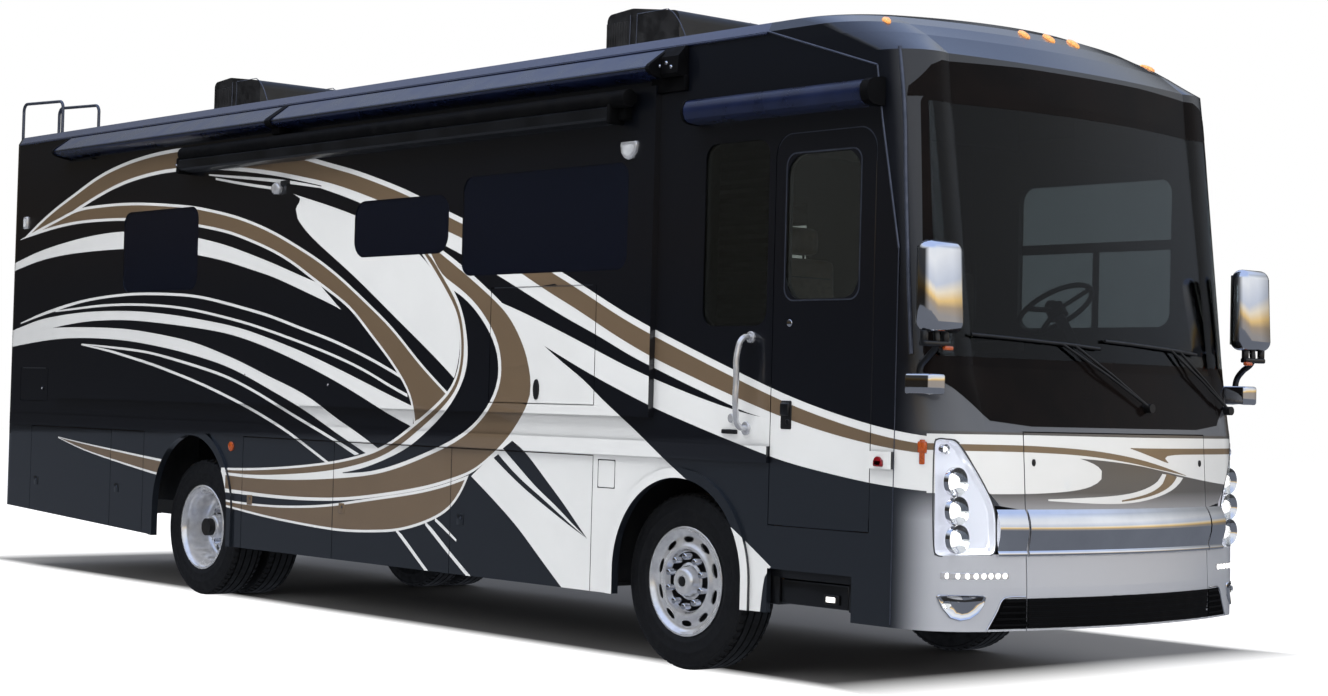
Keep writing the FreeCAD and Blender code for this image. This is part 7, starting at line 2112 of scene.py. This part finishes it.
class MOTORHOME_OT_stage(bpy.types.Operator):
    """Sets the camera, the floor, the world and the lamps"""
    bl_idname = "motorhome.stage"
    bl_label = "Stage"

    def execute(self, context):
        settings = context.scene.motorhome_stage
        data = bpy.data.cameras.new("camera")
        data.lens = settings.lens
        data.sensor_width = 36
        data.clip_end = 300
        camera = bpy.data.objects.new("camera", data)
        yaw, pitch, roll = 2.4256, 0.0241, 0.0261
        ahead = Vector((math.cos(yaw) * math.cos(pitch), math.sin(yaw) * math.cos(pitch), math.sin(pitch)))
        turn = ahead.to_track_quat("-Z", "Y") @ Quaternion((0, 0, 1), roll)
        camera.matrix_world = Matrix.Translation(VIEWPOINT) @ turn.to_matrix().to_4x4()
        context.scene.collection.objects.link(camera)
        context.scene.camera = camera

        deselect()
        bpy.ops.mesh.primitive_plane_add(size=2 * settings.floor_reach, location=(0, 0, 0))
        floor = context.object
        floor.name = "studio_floor"
        floor.data.name = "studio_floor"
        material, shader, place = new_material("studio_floor_painted_shadow", Base_Color=(0.8, 0.8, 0.8), Roughness=0.9)
        # seen from the camera the floor is darker than in the light it sends back: a painted shadow round the
        # coach, which the glow below lifts to white further off
        rays = add_node(material, "ShaderNodeLightPath")
        tone = add_node(material, "ShaderNodeMix",
                        {"data_type": "RGBA", 6: (0.8, 0.8, 0.8, 1), 7: (0.34, 0.33, 0.32, 1)},
                        {0: rays.outputs["Is Camera Ray"]})
        join(material, tone.outputs[2], shader, "Base Color")
        # the floor whitens away from the coach's shadow, so that no horizon shows
        about = add_node(material, "ShaderNodeVectorMath", {"operation": "SUBTRACT", 1: SHADE_AT}, {0: place})
        flat = add_node(material, "ShaderNodeVectorMath",
                        {"operation": "MULTIPLY", 1: (1 / SHADE_HALF[0], 1 / SHADE_HALF[1], 0)},
                        {0: about.outputs[0]})
        away = add_node(material, "ShaderNodeVectorMath", {"operation": "ABSOLUTE"}, {0: flat.outputs[0]})
        parts = add_node(material, "ShaderNodeSeparateXYZ", None, {0: away.outputs[0]})
        reach = add_node(material, "ShaderNodeMath", {"operation": "MAXIMUM"},
                         {0: parts.outputs[0], 1: parts.outputs[1]})
        far = add_node(material, "ShaderNodeMapRange", {"From Min": 0.93, "From Max": 1.04},
                       {"Value": reach.outputs[0]})
        seen = add_node(material, "ShaderNodeMath", {"operation": "MAXIMUM"},
                        {0: rays.outputs["Is Camera Ray"], 1: rays.outputs["Is Transmission Ray"]})
        strength = add_node(material, "ShaderNodeMath", {"operation": "MULTIPLY"},
                            {0: far.outputs[0], 1: seen.outputs[0]})
        glow = add_node(material, "ShaderNodeEmission", {"Color": (1, 1, 1, 1)},
                        {"Strength": strength.outputs[0]})
        both = add_node(material, "ShaderNodeAddShader", None, {0: shader.outputs[0], 1: glow.outputs[0]})
        # in reflections the floor is a flat dim blue-grey glow: a painted reflection
        painted_floor_reflection = add_node(material, "ShaderNodeEmission", {"Color": (0.15, 0.165, 0.20, 1)})
        seen = add_node(material, "ShaderNodeMixShader", None,
                        {0: rays.outputs["Is Glossy Ray"], 1: both.outputs[0], 2: painted_floor_reflection.outputs[0]})
        material.node_tree.links.new(seen.outputs[0],
                                     material.node_tree.nodes["Material Output"].inputs["Surface"])
        floor.data.materials.append(material)

        world = bpy.data.worlds.new("studio_world")
        context.scene.world = world
        world.use_nodes = True
        base = world.node_tree.nodes["Background"]
        base.inputs["Color"].default_value = (0.75, 0.78, 0.84, 1)
        base.inputs["Strength"].default_value = 0.5
        place = add_node(world, "ShaderNodeTexCoord")
        split = add_node(world, "ShaderNodeSeparateXYZ", None, {0: place.outputs["Generated"]})
        # gloss sees a pale sky over a warm skyline ahead of the coach, and a dim yard behind it
        height = add_node(world, "ShaderNodeValToRGB", None, {0: split.outputs["Z"]})
        ramp = height.color_ramp
        ramp.elements[0].position, ramp.elements[0].color = 0.0, (0.36, 0.34, 0.33, 1)
        ramp.elements[1].position, ramp.elements[1].color = 1.0, (0.50, 0.63, 1.0, 1)
        for spot, tint in ((0.04, (0.45, 0.36, 0.26, 1)), (0.07, (0.95, 0.66, 0.28, 1)),
                           (0.11, (1.0, 0.90, 0.72, 1)), (0.15, (0.66, 0.72, 0.84, 1)),
                           (0.28, (0.92, 0.95, 1.0, 1)), (0.45, (0.85, 0.91, 1.0, 1)),
                           (0.70, (0.50, 0.64, 1.0, 1))):
            stop = ramp.elements.new(spot)
            stop.color = tint
        front = add_node(world, "ShaderNodeMapRange", {"From Min": -0.15, "From Max": 0.55, "To Min": 0.05},
                         {"Value": split.outputs["X"]})
        above = add_node(world, "ShaderNodeMapRange", {"From Min": 0.30, "From Max": 0.62, "To Min": 0.0},
                         {"Value": split.outputs["Z"]})
        bright = add_node(world, "ShaderNodeMath", {"operation": "MAXIMUM"},
                          {0: front.outputs[0], 1: above.outputs[0]})
        shine = add_node(world, "ShaderNodeBackground", None,
                         {"Color": height.outputs["Color"], "Strength": bright.outputs[0]})
        white = add_node(world, "ShaderNodeBackground", {"Color": (1, 1, 1, 1), "Strength": 1.0})
        rays = add_node(world, "ShaderNodeLightPath")
        first = add_node(world, "ShaderNodeMixShader", None,
                         {0: rays.outputs["Is Glossy Ray"], 1: base.outputs[0], 2: shine.outputs[0]})
        seen = add_node(world, "ShaderNodeMath", {"operation": "MAXIMUM"},
                        {0: rays.outputs["Is Camera Ray"], 1: rays.outputs["Is Transmission Ray"]})
        second = add_node(world, "ShaderNodeMixShader", None,
                          {0: seen.outputs[0], 1: first.outputs[0], 2: white.outputs[0]})
        world.node_tree.links.new(second.outputs[0], world.node_tree.nodes["World Output"].inputs["Surface"])

        softbox("overhead_softbox", (1.0, -4.5, 10.5), (0.5, 0, 0), (15, 6), 1750)
        softbox("front_softbox", (15, -1.0, 4.5), (4, 0, 1.6), (5, 4), 700)
        softbox("right_softbox", (2, -14, 6), (0, 0, 1.5), (12, 4), 420)
        context.scene.view_settings.view_transform = "Standard"
        return {"FINISHED"}


class MOTORHOME_PT_panel(bpy.types.Panel):
    bl_label = "Motorhome"
    bl_idname = "MOTORHOME_PT_panel"
    bl_space_type = "VIEW_3D"
    bl_region_type = "UI"
    bl_category = "Motorhome"

    def draw(self, context):
        for settings in (context.scene.motorhome_paint, context.scene.motorhome_stage):
            for name in settings.bl_rna.properties.keys():
                if name not in ("name", "rna_type"):
                    self.layout.prop(settings, name)
        for operator in STEPS:
            self.layout.operator(operator.bl_idname)


STEPS = [MOTORHOME_OT_finishes, MOTORHOME_OT_stripes, MOTORHOME_OT_front_trim, MOTORHOME_OT_headlamps,
         MOTORHOME_OT_mirrors, MOTORHOME_OT_wheels, MOTORHOME_OT_awnings, MOTORHOME_OT_roof_units,
         MOTORHOME_OT_side_details, MOTORHOME_OT_seats, MOTORHOME_OT_cab_fittings, MOTORHOME_OT_tail,
         MOTORHOME_OT_stage]
CLASSES = [PaintSettings, StageSettings, *STEPS, MOTORHOME_PT_panel]


def register():
    for item in CLASSES:
        bpy.utils.register_class(item)
    bpy.types.Scene.motorhome_paint = bpy.props.PointerProperty(type=PaintSettings)
    bpy.types.Scene.motorhome_stage = bpy.props.PointerProperty(type=StageSettings)


def unregister():
    del bpy.types.Scene.motorhome_stage
    del bpy.types.Scene.motorhome_paint
    for item in reversed(CLASSES):
        bpy.utils.unregister_class(item)


def main():
    register()
    for step in STEPS:
        group, name = step.bl_idname.split(".")
        getattr(getattr(bpy.ops, group), name)()


if __name__ == "__main__":
    main()
